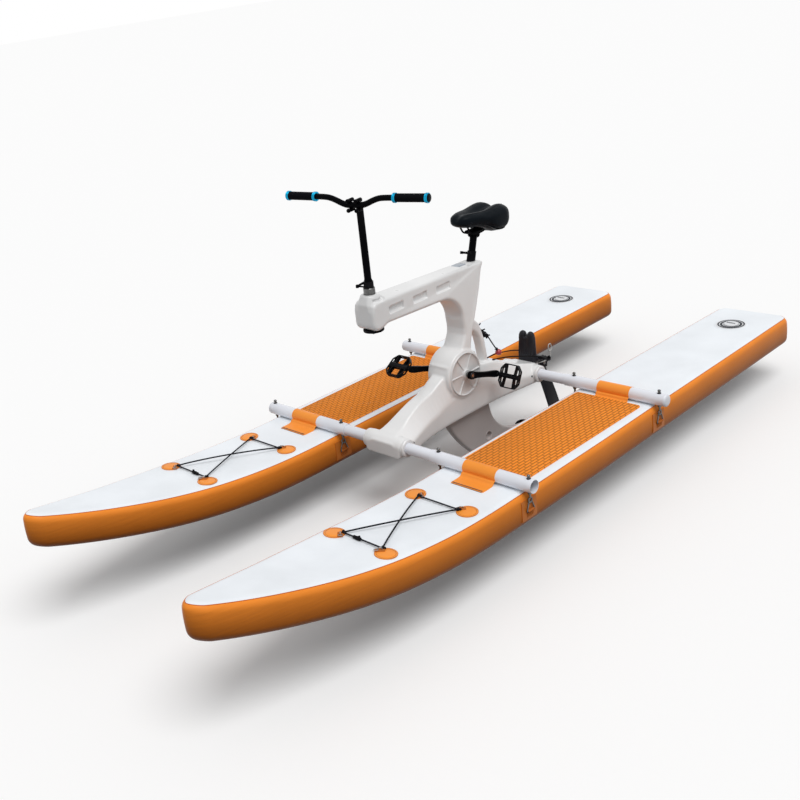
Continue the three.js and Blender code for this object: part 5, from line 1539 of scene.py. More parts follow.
def build_crank(side, sign, looks):
    """Forged crank arm with a round boss, a waisted shank with a channel, and the pedal spindle."""
    along, normal, tip = crank_frame(sign)
    stations = [
        (-0.016, 0.0), (-0.0155, 0.0045), (-0.013, 0.01), (-0.008, 0.0142), (0.0, 0.016), (0.008, 0.0158),
        (0.016, 0.0142), (0.026, 0.0126), (0.041, 0.0117),
    ]
    stations += [
        (0.06, 0.011), (0.079, 0.0107), (0.098, 0.011), (0.114, 0.0118), (0.13, 0.0128), (0.146, 0.0134),
        (0.158, 0.013), (0.164, 0.0112), (0.1685, 0.0068), (0.1705, 0.0),
    ]
    outline = stations + [(u, -v) for u, v in stations[-2::-1]]
    points = smooth_path([(u, v, 0) for u, v in outline], 3)[:-1]
    bm = bmesh.new()
    places = [CRANK_CENTRE + along * p.x + normal * p.y for p in points]
    verts = plate(bm, [(p.y, p.z) for p in places], 0.0, 0.0149)
    x = sign * 0.082 - 0.00745
    bmesh.ops.translate(bm, verts=verts, vec=(x, 0, 0))
    lids = sorted(bm.faces, key=lambda f: abs(f.normal.x))[-2:]
    round_edges(bm, list({e for f in lids for e in f.edges}), 0.0034, 5)
    outer = max(bm.faces, key=lambda f: (f.normal.x * sign > 0.9) * f.calc_area())
    inset(bm, outer, 0.0022, -0.0003)
    inset(bm, outer, 0.0012, -0.0012)
    rod(
        bm, Vector((sign * 0.082, tip.y, tip.z)), Vector((sign * 0.17, tip.y, tip.z)), 0.0054, segments=32,
        bevel=0.0008,
    )
    turned(
        bm,
        [
            (0.0, 0.0), (0.0092, 0.0), (0.0092, 0.003), (0.008, 0.004), (0.008, 0.0095), (0.0092, 0.0105),
            (0.0092, 0.0112), (0.0, 0.0112),
        ],
        (sign * 0.0895, tip.y, tip.z), (sign, 0, 0), 6,
    )
    from_bm(
        bm, "forged_arm_" + side, "crank", looks["black_metal"], ("crank_arm_" + side,), 40
    )
    cap = bmesh.new()
    turned(
        cap,
        [
            (0.0, 0.0), (0.0118, 0.0), (0.0122, 0.001), (0.0115, 0.0022), (0.007, 0.0026), (0.0062, 0.0012),
            (0.0044, 0.0008), (0.0, 0.0008),
        ],
        (sign * 0.0893, CRANK_CENTRE.y, CRANK_CENTRE.z),
        (sign, 0, 0),
        40,
    )
    from_bm(cap, "crank_bolt_" + side, "crank", looks["steel_dark"], angle=35)


def build_pedal(side, sign, looks):
    """Cage pedal: a chamfered rim with teeth, windows and slots, and a thick bearing barrel."""
    _, _, tip = crank_frame(sign)
    tilt = {"port": 63, "starboard": 148}[side]
    half_x, half_y, half_z, chamfer, wall = 0.0458, 0.0478, 0.0082, 0.022, 0.0046
    quarter = [
        (half_x, half_y - chamfer), (half_x - chamfer * 0.8, half_y), (chamfer * 0.8 - half_x, half_y),
        (-half_x, half_y - chamfer),
    ]
    outline = quarter + [(-u, -v) for u, v in quarter]
    bm = bmesh.new()
    plate(bm, outline, -half_z, half_z, 2)
    upright = [e for e in bm.edges if abs((e.verts[0].co - e.verts[1].co).z) > half_z]
    round_edges(bm, upright, 0.004)
    body = as_object(bm, "cage_pedal_" + side)
    cuts = bmesh.new()
    near, far, edge = 0.0092, half_y - wall, half_x - wall
    corner = half_y - chamfer - 0.001
    for way in (1, -1):
        windows = [[(-0.0205, near), (0.0205, near), (0.023, far), (-0.023, far)]]
        windows += [
            [(u * 0.024, near), (u * edge, near), (u * edge, corner), (u * 0.0268, far - 0.0015)]
            for u in (1, -1)
        ]
        for window in windows:
            hole = [(u, way * v) for u, v in window]
            plate(cuts, hole, -0.02, 0.02, 2, 0.0012, 2)
    carve(body, cuts)
    slots = bmesh.new()
    for way in (-1, 1):
        centre = way * 0.0132
        box(slots, (centre - 0.0096, -0.06, -0.0042), (centre + 0.0096, 0.06, 0.0042), 0.0015)
    for way in (-1, 1):
        box(slots, (way * 0.05 - 0.02, -0.028, -0.0036), (way * 0.05 + 0.02, -0.013, 0.0036), 0.0012)
        box(slots, (way * 0.05 - 0.02, 0.013, -0.0036), (way * 0.05 + 0.02, 0.028, 0.0036), 0.0012)
    carve(body, slots)
    barrel = bmesh.new()
    profile = [
        (0.0058, -0.0458), (0.0084, -0.0458), (0.0092, -0.0447), (0.0092, -0.032), (0.0082, -0.028),
        (0.0082, 0.028), (0.0092, 0.032), (0.0092, 0.0447), (0.0084, 0.0458), (0.0058, 0.0458),
        (0.0058, -0.0458),
    ]
    turned(barrel, profile, (0, 0, 0), PORT, 40)
    outward(barrel)
    carve(body, barrel, "UNION")
    teeth = bmesh.new()
    spots = [(u, v) for u in (-0.018, -0.006, 0.006, 0.018) for v in (half_y - 0.003, 0.003 - half_y)]
    spots += [(u, v) for v in (-0.021, 0.021) for u in (half_x - 0.003, 0.003 - half_x)]
    for level in (half_z - 0.0012, 0.0012 - half_z):
        for u, v in spots:
            rod(
                teeth, (u, v, level - 0.0004), (u, v, level + math.copysign(0.0022, level)), 0.0019, 0.0012,
                8,
            )
    bm = taken(body)
    merge(bm, teeth)
    place = Matrix.Translation((sign * 0.147, tip.y, tip.z))
    if sign < 0:
        place = place @ Matrix.Rotation(math.pi, 4, "Y")
    bm.transform(place @ Matrix.Rotation(math.radians(tilt), 4, "X"))
    from_bm(
        bm, "cage_pedal_" + side, "pedal_" + side, looks["black_plastic"], ("pedal_" + side,),
        32,
    )


def build_propeller(looks):
    """Two-bladed propeller with cupped blades and a rounded spinner."""
    bm = bmesh.new()
    y, z = 0.512, POD_CENTRE.z
    profile = [
        (0.0063, -0.021), (0.0168, -0.021), (0.018, -0.0195), (0.018, 0.021), (0.0172, 0.027),
        (0.014, 0.034), (0.0085, 0.039), (0.0, 0.041),
    ]
    turned(bm, profile, (0, y, z), AFT, 48)
    turned(bm, [(0.0063, -0.021), (0.0063, 0.016), (0.0, 0.016)], (0, y, z), AFT, 48)
    bmesh.ops.remove_doubles(bm, verts=bm.verts, dist=1e-6)
    chord_places, chords = [0, 0.25, 0.5, 0.75, 0.92, 1], [0.026, 0.04, 0.048, 0.042, 0.028, 0.012]
    for turn in (0, math.pi):
        rings = []
        for i in range(17):
            share = i / 16
            pitch = math.radians(lerp(48, 22, share))
            reach = lerp(0.012, 0.095, share)
            chord = smooth_table(chord_places, chords, share)
            thick = lerp(0.0058, 0.0018, share)
            ring = []
            for angle in turns(20):
                u = chord / 2 * math.cos(angle)
                v = thick / 2 * math.sin(angle) + 0.0022 * (1 - math.cos(angle) ** 2)
                ring.append(
                    Vector(
                        (
                            reach, v * math.cos(pitch) - u * math.sin(pitch),
                            u * math.cos(pitch) + v * math.sin(pitch),
                        )
                    )
                )
            rings.append(ring)
        blade = bmesh.new()
        skin(blade, rings)
        blade.transform(Matrix.Translation((0, y, z)) @ Matrix.Rotation(turn - math.radians(17), 4, "Y"))
        merge(bm, blade)
    from_bm(
        bm, "cupped_propeller", "propeller", looks["black_plastic"], ("propeller",), 40
    )


# Steering column


STEER_PLACE = Matrix.Translation((0, STEER_Y, DRAFT)) @ Matrix.Rotation(STEER_TURN, 4, "Z")
HEAD_TOP = 0.714
COLLAR_TOP = HEAD_TOP + 0.0003 + 0.037
BAND_MIDDLE = COLLAR_TOP + 0.0003 + 0.011
POST_TOP = 1.044
BAR_HEIGHT = POST_TOP + 0.011
BAR_FORWARD = 0.028
BAR_REACH = 0.29
BAR_BEND = 0.092


def build_release(place, inner, name, body, lever_body, looks, replaced, lever_replaced):
    """Quick-release band with ears, pin and nut, and its cam lever, made about +Z with the ears aft."""
    band, half = 0.004, 0.0095
    outer = inner + band
    bm = bmesh.new()
    profile = [
        (inner, -half), (outer - 0.001, -half), (outer, -half + 0.001), (outer, half - 0.001),
        (outer - 0.001, half), (inner, half), (inner, -half),
    ]
    turned(bm, profile, (0, 0, 0), UP, 64)
    outward(bm)
    ring = as_object(bm, name)
    ears = bmesh.new()
    box(ears, (-0.008, inner + 0.001, -half * 0.8), (0.008, outer + 0.015, half * 0.8), 0.0025)
    carve(ring, ears, "UNION")
    cuts = bmesh.new()
    box(cuts, (-0.001, 0, -0.02), (0.001, outer + 0.03, 0.02))
    rod(cuts, (0, 0, -0.02), (0, 0, 0.02), inner, segments=64)
    carve(ring, cuts)
    pin_y = outer + 0.0075
    cam_x = outer + 0.005
    bm = taken(ring)
    turned(
        bm,
        [(0.0, 0.0), (0.0055, 0.0), (0.0068, 0.0014), (0.0068, 0.0072), (0.005, 0.0084), (0.0, 0.0084)],
        (-0.0079, pin_y, 0), (-1, 0, 0), 24,
    )
    rod(bm, (-0.015, pin_y, 0), (cam_x - 0.0064, pin_y, 0), 0.003, segments=24, bevel=0.0005)
    bm.transform(place)
    from_bm(bm, name + "_band", body, looks["black_metal"], replaced, 35)
    bm = bmesh.new()
    rod(bm, (cam_x, pin_y, -0.0055), (cam_x, pin_y, 0.0055), 0.006, segments=32, bevel=0.0012)
    rings = []
    for share, half_wide, half_high in (
        (0.0, 0.004, 0.0048), (0.2, 0.003, 0.0044), (0.5, 0.0024, 0.0046), (0.8, 0.0026, 0.0052),
        (0.95, 0.0025, 0.005), (1.0, 0.0012, 0.003),
    ):
        y = lerp(pin_y, pin_y - 0.0485, share)
        bend = 0.0016 * math.sin(math.pi * share)
        rings.append(
            [
                Vector((cam_x + bend + half_wide * math.cos(a), y, half_high * math.sin(a)))
                for a in turns(16)
            ]
        )
    skin(bm, rings)
    bm.transform(place)
    from_bm(bm, name + "_lever", lever_body, looks["black_metal"], lever_replaced, 40)


def build_column(looks):
    """Steerer, steering disc, steel head collar with its bolts, quick-release band and stem post."""
    floor = 0.6 - 0.0006
    top = BAND_MIDDLE + 0.011 - 0.0003
    bm = bmesh.new()
    profile = [
        (0.0154, floor - 0.01), (0.018, floor - 0.01), (0.018, top), (0.0154, top), (0.0154, floor - 0.01),
    ]
    turned(bm, profile, (0, 0, 0), UP, 64)
    bm.transform(STEER_PLACE)
    from_bm(bm, "steerer", "steerer", looks["black_metal"], ("steerer_tube",))
    bm = bmesh.new()
    profile = [
        (0.0183, floor - 0.01), (0.034, floor - 0.01), (0.0372, floor - 0.0088), (0.038, floor - 0.0066),
        (0.0366, floor - 0.0056), (0.0366, floor - 0.0044), (0.038, floor - 0.0034),
        (0.0374, floor - 0.0008), (0.035, floor), (0.0183, floor), (0.0183, floor - 0.01),
    ]
    turned(bm, profile, (0, 0, 0), UP, 64)
    for k in range(6):
        turn = Matrix.Rotation(2 * math.pi * k / 6, 4, "Z")
        bolt = rod(
            bm, (0.028, 0, floor - 0.0096), (0.028, 0, floor - 0.0128), 0.0032, segments=6, bevel=0.0005
        )
        move(bm, bolt, turn)
    bm.transform(STEER_PLACE)
    from_bm(bm, "cable_disc", "steerer", looks["black_plastic"], ("steering_disc",))
    bm = bmesh.new()
    low, high = HEAD_TOP + 0.0003, COLLAR_TOP
    profile = [
        (0.0183, low), (0.0205, low), (0.0212, low + 0.001), (0.0212, high - 0.0012), (0.0202, high),
        (0.0183, high), (0.0183, low),
    ]
    turned(bm, profile, (0, 0, 0), UP, 72)
    outward(bm)
    collar = as_object(bm, "collar")
    slit = bmesh.new()
    box(slit, (-0.0009, 0.015, low - 0.01), (0.0009, 0.03, high + 0.01))
    box(slit, (0.015, -0.0009, low - 0.01), (0.03, 0.0009, low + 0.02))
    carve(collar, slit)
    bm = taken(collar)
    for way in (-1, 1):
        z = HEAD_TOP + 0.0185 + way * 0.00925
        foot = (0, 0.0208, z)
        turned(
            bm,
            [
                (0.0, 0.0), (0.003, 0.0), (0.0032, 0.0008), (0.0029, 0.003), (0.0016, 0.0032),
                (0.0016, 0.0018), (0.0, 0.0018),
            ],
            foot, AFT, 24,
        )
        foot = (0.0208 * way, 0, z)
        turned(
            bm, [(0.0, 0.0), (0.0026, 0.0), (0.0026, 0.0008), (0.0012, 0.0012), (0.0, 0.0012)], foot,
            (way, 0, 0), 24,
        )
    bm.transform(STEER_PLACE)
    from_bm(bm, "steel_collar", "steerer", looks["collar"], ("head_collar",), 35)
    place = STEER_PLACE @ Matrix.Translation((0, 0, BAND_MIDDLE)) @ Matrix.Rotation(math.pi, 4, "Z")
    build_release(place, 0.0183, "stem", "steerer", "stem_lever", looks, ("stem_band",), ("stem_lever",))
    bm = bmesh.new()
    foot = top - 0.082
    profile = [
        (0.011, foot), (0.015, foot), (0.015, top + 0.004), (0.0129, top + 0.01), (0.0127, POST_TOP),
        (0.011, POST_TOP), (0.011, foot),
    ]
    turned(bm, profile, (0, 0, 0), UP, 64)
    bm.transform(STEER_PLACE)
    from_bm(bm, "post_tube", "stem", looks["black_metal"], ("stem_post",))


def bar_place(reach):
    """A place on the straight outer part of the bar's centre line."""
    share = (abs(reach) - BAR_BEND) / (BAR_REACH - BAR_BEND)
    return Vector((reach, -BAR_FORWARD + 0.01 * share, BAR_HEIGHT + 0.027))


def bar_line():
    """Centre line of the riser bar, port to starboard, in the steered frame."""
    end = BAR_REACH - 0.006
    outer = [bar_place(x) for x in (end, 0.236, 0.188, 0.14)]
    outer += [
        Vector((x, -BAR_FORWARD, BAR_HEIGHT + rise))
        for x, rise in ((0.112, 0.0262), (0.094, 0.0228), (0.074, 0.0158), (0.054, 0.0072), (0.036, 0.0015))
    ]
    middle = [Vector((x, -BAR_FORWARD, BAR_HEIGHT)) for x in (0.022, 0.0, -0.022)]
    return outer + middle + [Vector((-p.x, p.y, p.z)) for p in reversed(outer)]


def build_bar(looks):
    """Riser bar, its four-bolt clamp, and the stem's cap."""
    bm = bmesh.new()
    points = smooth_path(bar_line(), 7)

    def thickness(share):
        centre = abs(share - 0.5)
        return lerp(0.0112, 0.0104, min(1.0, centre / 0.16))

    sweep(bm, points, thickness, 28)
    bm.transform(STEER_PLACE)
    from_bm(bm, "riser_bar", "stem", looks["black_metal"], ("handlebar",), 50)
    bm = bmesh.new()
    turned(
        bm,
        [
            (0.0, 1.026), (0.0186, 1.026), (0.02, 1.0275), (0.02, 1.0565), (0.0186, 1.06), (0.012, 1.0612),
            (0.0, 1.0612),
        ],
        (0, 0, 0), UP, 48,
    )
    block = [(0.0, 1.031), (-0.012, 1.03), (-0.028, 1.037), (-0.028, 1.073), (-0.01, 1.062), (0.0, 1.06)]
    plate(bm, block, -0.016, 0.016, 0, 0.003)
    profile = [
        (0.0, -0.024), (0.0158, -0.024), (0.017, -0.0228), (0.017, -0.007), (0.016, -0.005), (0.016, 0.005),
        (0.017, 0.007), (0.017, 0.0228), (0.0158, 0.024), (0.0, 0.024),
    ]
    turned(bm, profile, (0, -BAR_FORWARD, BAR_HEIGHT), PORT, 48)
    outward(bm)
    clamp = as_object(bm, "bar_clamp")
    remesh(clamp, 0.0011)
    relax(clamp, 3)
    cuts = bmesh.new()
    rod(cuts, (-0.05, -BAR_FORWARD, BAR_HEIGHT), (0.05, -BAR_FORWARD, BAR_HEIGHT), 0.0116, segments=48)
    rod(cuts, (0, 0, 1.015), (0, 0, POST_TOP + 0.0003), 0.013, segments=48)
    box(
        cuts, (-0.03, -BAR_FORWARD - 0.0006, BAR_HEIGHT - 0.03),
        (0.03, -BAR_FORWARD + 0.0006, BAR_HEIGHT + 0.03),
    )
    carve(clamp, cuts)
    bm = taken(clamp)
    for u in (-1, 1):
        for v in (-1, 1):
            x, z = u * 0.0165, BAR_HEIGHT + v * 0.0165
            turned(
                bm,
                [
                    (0.0, -0.0495), (0.004, -0.0492), (0.0064, -0.0476), (0.0076, -0.0445),
                    (0.0074, -0.0412), (0.0056, -0.039), (0.0064, -0.0378), (0.007, -0.03), (0.007, -0.012),
                    (0.0, -0.012),
                ],
                (x, 0, z),
                AFT,
                28,
            )
    turned(
        bm,
        [
            (0.0, 1.0605), (0.0115, 1.0605), (0.0125, 1.0615), (0.0115, 1.0635), (0.004, 1.064),
            (0.0036, 1.0625), (0.0, 1.0625),
        ],
        (0, 0, 0), UP, 40,
    )
    bm.transform(STEER_PLACE)
    from_bm(bm, "bar_clamp", "stem", looks["black_metal"], ("stem_clamp",), 40)


def build_grip(side, sign, looks):
    """Ribbed rubber grip between two blue lock rings, with an end cap."""
    inner, end = bar_place(sign * (BAR_REACH - 0.132)), bar_place(sign * BAR_REACH)
    axis = (end - inner).normalized()
    long = (end - inner).length
    bm = bmesh.new()
    profile = [(0.0113, 0.0105), (0.0148, 0.0105)]
    for k in range(34):
        place = lerp(0.013, long - 0.013, k / 33)
        profile.append((0.0143 if k % 2 else 0.015, place))
    profile += [(0.0148, long - 0.0105), (0.0113, long - 0.0105), (0.0113, 0.0105)]
    turned(bm, profile, inner, axis, 40)
    bm.transform(STEER_PLACE)
    from_bm(bm, "ribbed_grip_" + side, "stem", looks["grip"], ("grip_" + side,), 50)
    rings = bmesh.new()
    for start in (0.0, long - 0.011):
        profile = [
            (0.0113, 0.0), (0.016, 0.0), (0.0172, 0.0012), (0.0172, 0.0036), (0.0164, 0.0046),
            (0.0164, 0.0064), (0.0172, 0.0074), (0.0172, 0.0098), (0.016, 0.011), (0.0113, 0.011),
            (0.0113, 0.0),
        ]
        turned(rings, profile, inner + axis * start, axis, 48)
        screw = inner + axis * (start + 0.0055)
        rod(rings, screw + Vector((0, 0, -0.0168)), screw + Vector((0, 0, -0.0178)), 0.0019, segments=16)
    rings.transform(STEER_PLACE)
    from_bm(rings, "lock_rings_" + side, "stem", looks["blue"], angle=35)
    cap = bmesh.new()
    turned(
        cap,
        [
            (0.0, -0.0055), (0.011, -0.0055), (0.011, 0.0004), (0.0138, 0.0006), (0.0142, 0.0014),
            (0.012, 0.003), (0.0, 0.0036),
        ],
        end, axis, 40,
    )
    cap.transform(STEER_PLACE)
    from_bm(cap, "grip_cap_" + side, "stem", looks["black_plastic"])


# Seat


SADDLE_FOOT = 0.102


def seat_place(reach):
    """A place on the seat post's axis, so far above the strut's top."""
    return SEAT_FOOT + SEAT_AXIS * reach


def build_seat_post(looks):
    """Seat sleeve, its quick-release collar, the post, and the saddle's rails with their clamp."""
    turn = UP.rotation_difference(SEAT_AXIS).to_matrix().to_4x4()
    bm = bmesh.new()
    profile = [
        (0.0139, -0.128), (0.0168, -0.128), (0.0168, 0.0352), (0.016, 0.036), (0.0139, 0.036),
        (0.0139, -0.128),
    ]
    turned(bm, profile, SEAT_FOOT, SEAT_AXIS, 64)
    from_bm(bm, "seat_tube_sleeve", "craft", looks["black_metal"], ("seat_sleeve",))
    place = Matrix.Translation(seat_place(0.036 - 0.011)) @ turn @ Matrix.Rotation(math.pi, 4, "Z")
    build_release(place, 0.0171, "seat", "craft", "seat_lever", looks, ("seat_collar",), ("seat_lever",))
    bm = bmesh.new()
    profile = [
        (0.0, -0.092), (0.0136, -0.092), (0.0136, 0.092), (0.0126, 0.096), (0.011, SADDLE_FOOT),
        (0.0, SADDLE_FOOT),
    ]
    turned(bm, profile, SEAT_FOOT, SEAT_AXIS, 64)
    from_bm(bm, "seat_post_tube", "seat", looks["black_metal"], ("seat_post",))
    top = seat_place(SADDLE_FOOT)
    bm = bmesh.new()
    box(bm, (-0.0128, top.y - 0.015, top.z - 0.017), (0.0128, top.y + 0.015, top.z + 0.004), 0.004)
    box(bm, (-0.023, top.y - 0.03, top.z + 0.003), (0.023, top.y + 0.03, top.z + 0.017), 0.005)
    rod(bm, (-0.02, top.y, top.z - 0.001), (0.02, top.y, top.z - 0.001), 0.012, segments=40, bevel=0.001)
    for way in (-1, 1):
        rod(
            bm, (0, top.y + way * 0.026, top.z - 0.002), (0, top.y + way * 0.026, top.z + 0.02), 0.003,
            segments=16, bevel=0.0004,
        )
        rod(
            bm, (0, top.y + way * 0.026, top.z - 0.005), (0, top.y + way * 0.026, top.z - 0.001), 0.0056,
            segments=6, bevel=0.0005,
        )
        box(
            bm, (-0.006, top.y + way * 0.026 - 0.006, top.z - 0.001),
            (0.006, top.y + way * 0.026 + 0.006, top.z + 0.004), 0.002,
        )
    for x in (-0.0185, 0.0185):
        rail = [
            (x, top.y - 0.06, top.z + 0.05), (x, top.y - 0.052, top.z + 0.032),
            (x, top.y - 0.036, top.z + 0.011), (x, top.y, top.z + 0.003), (x, top.y + 0.03, top.z + 0.004),
            (x * 1.2, top.y + 0.05, top.z + 0.012), (x * 1.4, top.y + 0.06, top.z + 0.022),
        ]
        sweep(bm, smooth_path(rail, 6), 0.0035, 14)
    from_bm(bm, "saddle_rails", "seat", looks["black_metal"], angle=40)


def saddle_tables():
    """Places from nose to tail, and half width, top, underside and channel there, in millimetres."""
    places = [0, 0.03, 0.09, 0.18, 0.3, 0.44, 0.56, 0.68, 0.8, 0.91, 0.97, 1]
    widths = [17, 31, 44, 54, 67, 80, 90, 93, 93, 83, 64, 42]
    tops = [-27, -15, -8, -6, -8, -10, -8, -3, 0, -4, -13, -26]
    bottoms = [-39, -47, -53, -57, -61, -72, -88, -101, -103, -90, -72, -54]
    dishes = [0, 2, 7, 12, 17, 22, 25, 27, 28, 27, 20, 10]
    return places, widths, tops, bottoms, dishes


def build_saddle(looks, settings):
    """Two-lobed padded saddle, swelled by pressure, with its channel, its seams and the pan below."""
    places, widths, tops, bottoms, dishes = saddle_tables()
    post = seat_place(SADDLE_FOOT)
    front, rear, level = post.y - 0.103, post.y + 0.144, post.z + 0.098
    count = 40
    rings = []
    for i in range(33):
        share = 0.5 - 0.5 * math.cos(math.pi * i / 32)
        half = smooth_table(places, widths, share) * 0.96
        low = smooth_table(places, bottoms, share)
        tall = smooth_table(places, tops, share) - low
        channel = smooth_table(places, dishes, share)
        ring = []
        for k in range(count):
            angle = 2 * math.pi * (k + 0.5) / count
            c, s = math.cos(angle), math.sin(angle)
            across = math.copysign(abs(c) ** 0.82, c)
            if s > 0:
                z = low + tall * (0.5 + 0.5 * s**0.6) - channel * math.exp(-((across / 0.27) ** 2)) * s
            else:
                z = low + tall * (0.5 - 0.5 * abs(s) ** 0.6)
            ring.append(Vector((half * across / 1000, lerp(front, rear, share), level + z / 1000)))
        rings.append(ring)
    bm = bmesh.new()
    skin(bm, rings)
    outward(bm)
    cushion = as_object(bm, "padded_saddle")
    remesh(cushion, 0.0045)
    rest = [v.co.copy() for v in cushion.data.vertices]
    scene = bpy.context.scene
    cloth = cushion.modifiers.new("swell", "CLOTH")
    cloth.settings.use_pressure = True
    cloth.settings.uniform_pressure_force = 3.0
    cloth.settings.effector_weights.gravity = 0
    cloth.settings.tension_stiffness = 30
    cloth.settings.quality = 4
    scene.frame_start, scene.frame_end = 1, 14
    for step in range(1, 15):
        scene.frame_set(step)
    bake(cushion)
    scene.frame_set(1)
    for vert, home in zip(cushion.data.vertices, rest):
        shift = vert.co - home
        if shift.length > settings.swell:
            shift = shift.normalized() * settings.swell
        vert.co = home + shift
    relax(cushion, 4)
    for vert in cushion.data.vertices:
        share = (vert.co.y - front) / (rear - front)
        if vert.co.z > level - 0.05 and 0.25 < share < 0.97:
            near = math.exp(-((vert.co.x / 0.0045) ** 2))
            vert.co.z -= 0.003 * near * math.sin(math.pi * min(1.0, (share - 0.25) / 0.72))
    clearance = level - 0.06
    for vert in cushion.data.vertices:
        if vert.co.z < clearance and abs(vert.co.x) < 0.03 and abs(vert.co.y - post.y - 0.02) < 0.06:
            vert.co.z = max(vert.co.z, min(clearance, vert.co.z + 0.01))
    smoother = cushion.modifiers.new("smooth", "SUBSURF")
    smoother.levels = smoother.render_levels = 1
    bake(cushion)
    settle(cushion, "seat", [looks["saddle"]], ("saddle",), 80)
    seams = bmesh.new()
    cover = cushion.evaluated_get(bpy.context.evaluated_depsgraph_get())
    for sign in (-1, 1):
        line = []
        for i in range(25):
            share = lerp(0.12, 0.93, i / 24)
            half = smooth_table(places, widths, share) / 1000
            x = sign * half * lerp(0.62, 0.55, share)
            start = Vector((x, lerp(front, rear, share), level + 0.05))
            hit, where, normal, _ = cover.ray_cast(start, -UP)
            if hit:
                line.append(where + normal * 0.0003)
        sweep(seams, smooth_path(line, 3), 0.0008, 8)
    from_bm(seams, "saddle_seams", "seat", looks["black_plastic"], angle=60)
    pan = bmesh.new()
    rim = []
    for i in range(20):
        share = 0.5 - 0.5 * math.cos(math.pi * (i + 0.5) / 20)
        half = smooth_table(places, widths, share) * 0.8 / 1000
        low = smooth_table(places, bottoms, share) / 1000
        y = lerp(front + 0.006, rear - 0.008, share)
        floor = level + low - 0.0012
        below = [Vector((half * c, y, floor + 0.01 * c**2)) for c in (-1, -0.8, -0.5, 0, 0.5, 0.8, 1)]
        rim.append(below + [Vector((half * c * 0.9, y, floor + 0.014)) for c in (1, 0.5, 0, -0.5, -1)])
    skin(pan, rim)
    from_bm(pan, "saddle_pan", "seat", looks["black_plastic"], angle=45)


# Rudder


SWING_PLACE = Matrix.Translation(RUDDER_PIVOT) @ Matrix.Rotation(RUDDER_TURN, 4, "Z")
WING_TOP = 0.1883
WING_REACH = 0.078
BLADE_PIVOT = (0.042, 0.14)
BLADE_HORN = Vector((0, 0.09, 0.1465))


def rounded_ring(centre, half_x, half_y, z, power=0.5, count=32):
    """A rounded box section, level, as a ring of points."""
    ring = []
    for a in turns(count):
        c, s = math.cos(a), math.sin(a)
        x = half_x * math.copysign(abs(c) ** power, c)
        y = half_y * math.copysign(abs(s) ** power, s)
        ring.append(Vector((centre[0] + x, centre[1] + y, z)))
    return ring


def build_bracket(looks):
    """Two rounded lobes on a flared base, between which the raised blade parks, with pale bolts."""
    bm = bmesh.new()
    for _, sign in SIDES:
        rows = (
            (0.172, 0.0215, 0.0165, 0.023), (0.184, 0.0205, 0.016, 0.0195), (0.21, 0.02, 0.0157, 0.017),
            (0.25, 0.02, 0.0157, 0.0165), (0.276, 0.0198, 0.0155, 0.016), (0.292, 0.0195, 0.014, 0.0142),
            (0.301, 0.0192, 0.0105, 0.0105), (0.306, 0.019, 0.005, 0.005),
        )
        lobe = [
            rounded_ring((sign * x, 0.518), half_x, half_y, z + DRAFT, 0.62)
            for z, x, half_x, half_y in rows
        ]
        skin(bm, lobe)
    box(bm, (-0.021, 0.5035, 0.17 + DRAFT), (0.021, 0.518, 0.281 + DRAFT), 0.003)
    for x in (-0.031, -0.0205, -0.0095, 0.0, 0.0095, 0.0205, 0.031):
        rod(bm, (x * 1.12, 0.5005, 0.172 + DRAFT), (x, 0.5045, 0.262 + DRAFT), 0.003, 0.0022, 12)
    base = [
        rounded_ring((0, 0.533), 0.036, 0.041, 0.1682 + DRAFT, 0.3),
        rounded_ring((0, 0.533), 0.036, 0.041, 0.176 + DRAFT, 0.3),
        rounded_ring((0, 0.531), 0.034, 0.039, 0.1799 + DRAFT, 0.3),
    ]
    skin(bm, base)
    flare = [
        rounded_ring((0, 0.521), 0.041, 0.028, 0.176 + DRAFT, 0.5),
        rounded_ring((0, 0.5175), 0.036, 0.019, 0.206 + DRAFT, 0.5),
    ]
    skin(bm, flare)
    bracket = as_object(bm, "parking_bracket")
    remesh(bracket, 0.0016)
    relax(bracket, 5)
    cuts = bmesh.new()
    rod(cuts, RUDDER_PIVOT + UP * 0.15, RUDDER_PIVOT + UP * 0.3, 0.0083, segments=40)
    box(cuts, (-0.05, 0.535, 0.18 + DRAFT), (0.05, 0.6, 0.195 + DRAFT))
    box(cuts, (-0.05, 0.48, 0.14 + DRAFT), (0.05, 0.6, 0.168 + DRAFT))
    for _, sign in SIDES:
        groove = [(sign * 0.0215, 0.5358, z + DRAFT) for z in (0.196, 0.225, 0.262, 0.284)]
        sweep(cuts, groove, 0.003, 12)
    carve(bracket, cuts)
    settle(bracket, "craft", [looks["rudder_plastic"]], ("rudder_bracket",), 40)
    bolts = bmesh.new()
    dome = [(0.0, 0.0026), (0.0022, 0.0022), (0.0036, 0.0008), (0.0038, 0.0), (0.0, 0.0)]
    for _, sign in SIDES:
        for y in (0.545, 0.566):
            turned(bolts, dome, (sign * 0.027, y, 0.18 + DRAFT - 0.0003), UP, 20)
        turned(bolts, dome, (sign * 0.0215, 0.5325, 0.288 + DRAFT), AFT, 20)
    from_bm(bolts, "bracket_bolts", "craft", looks["steel"])


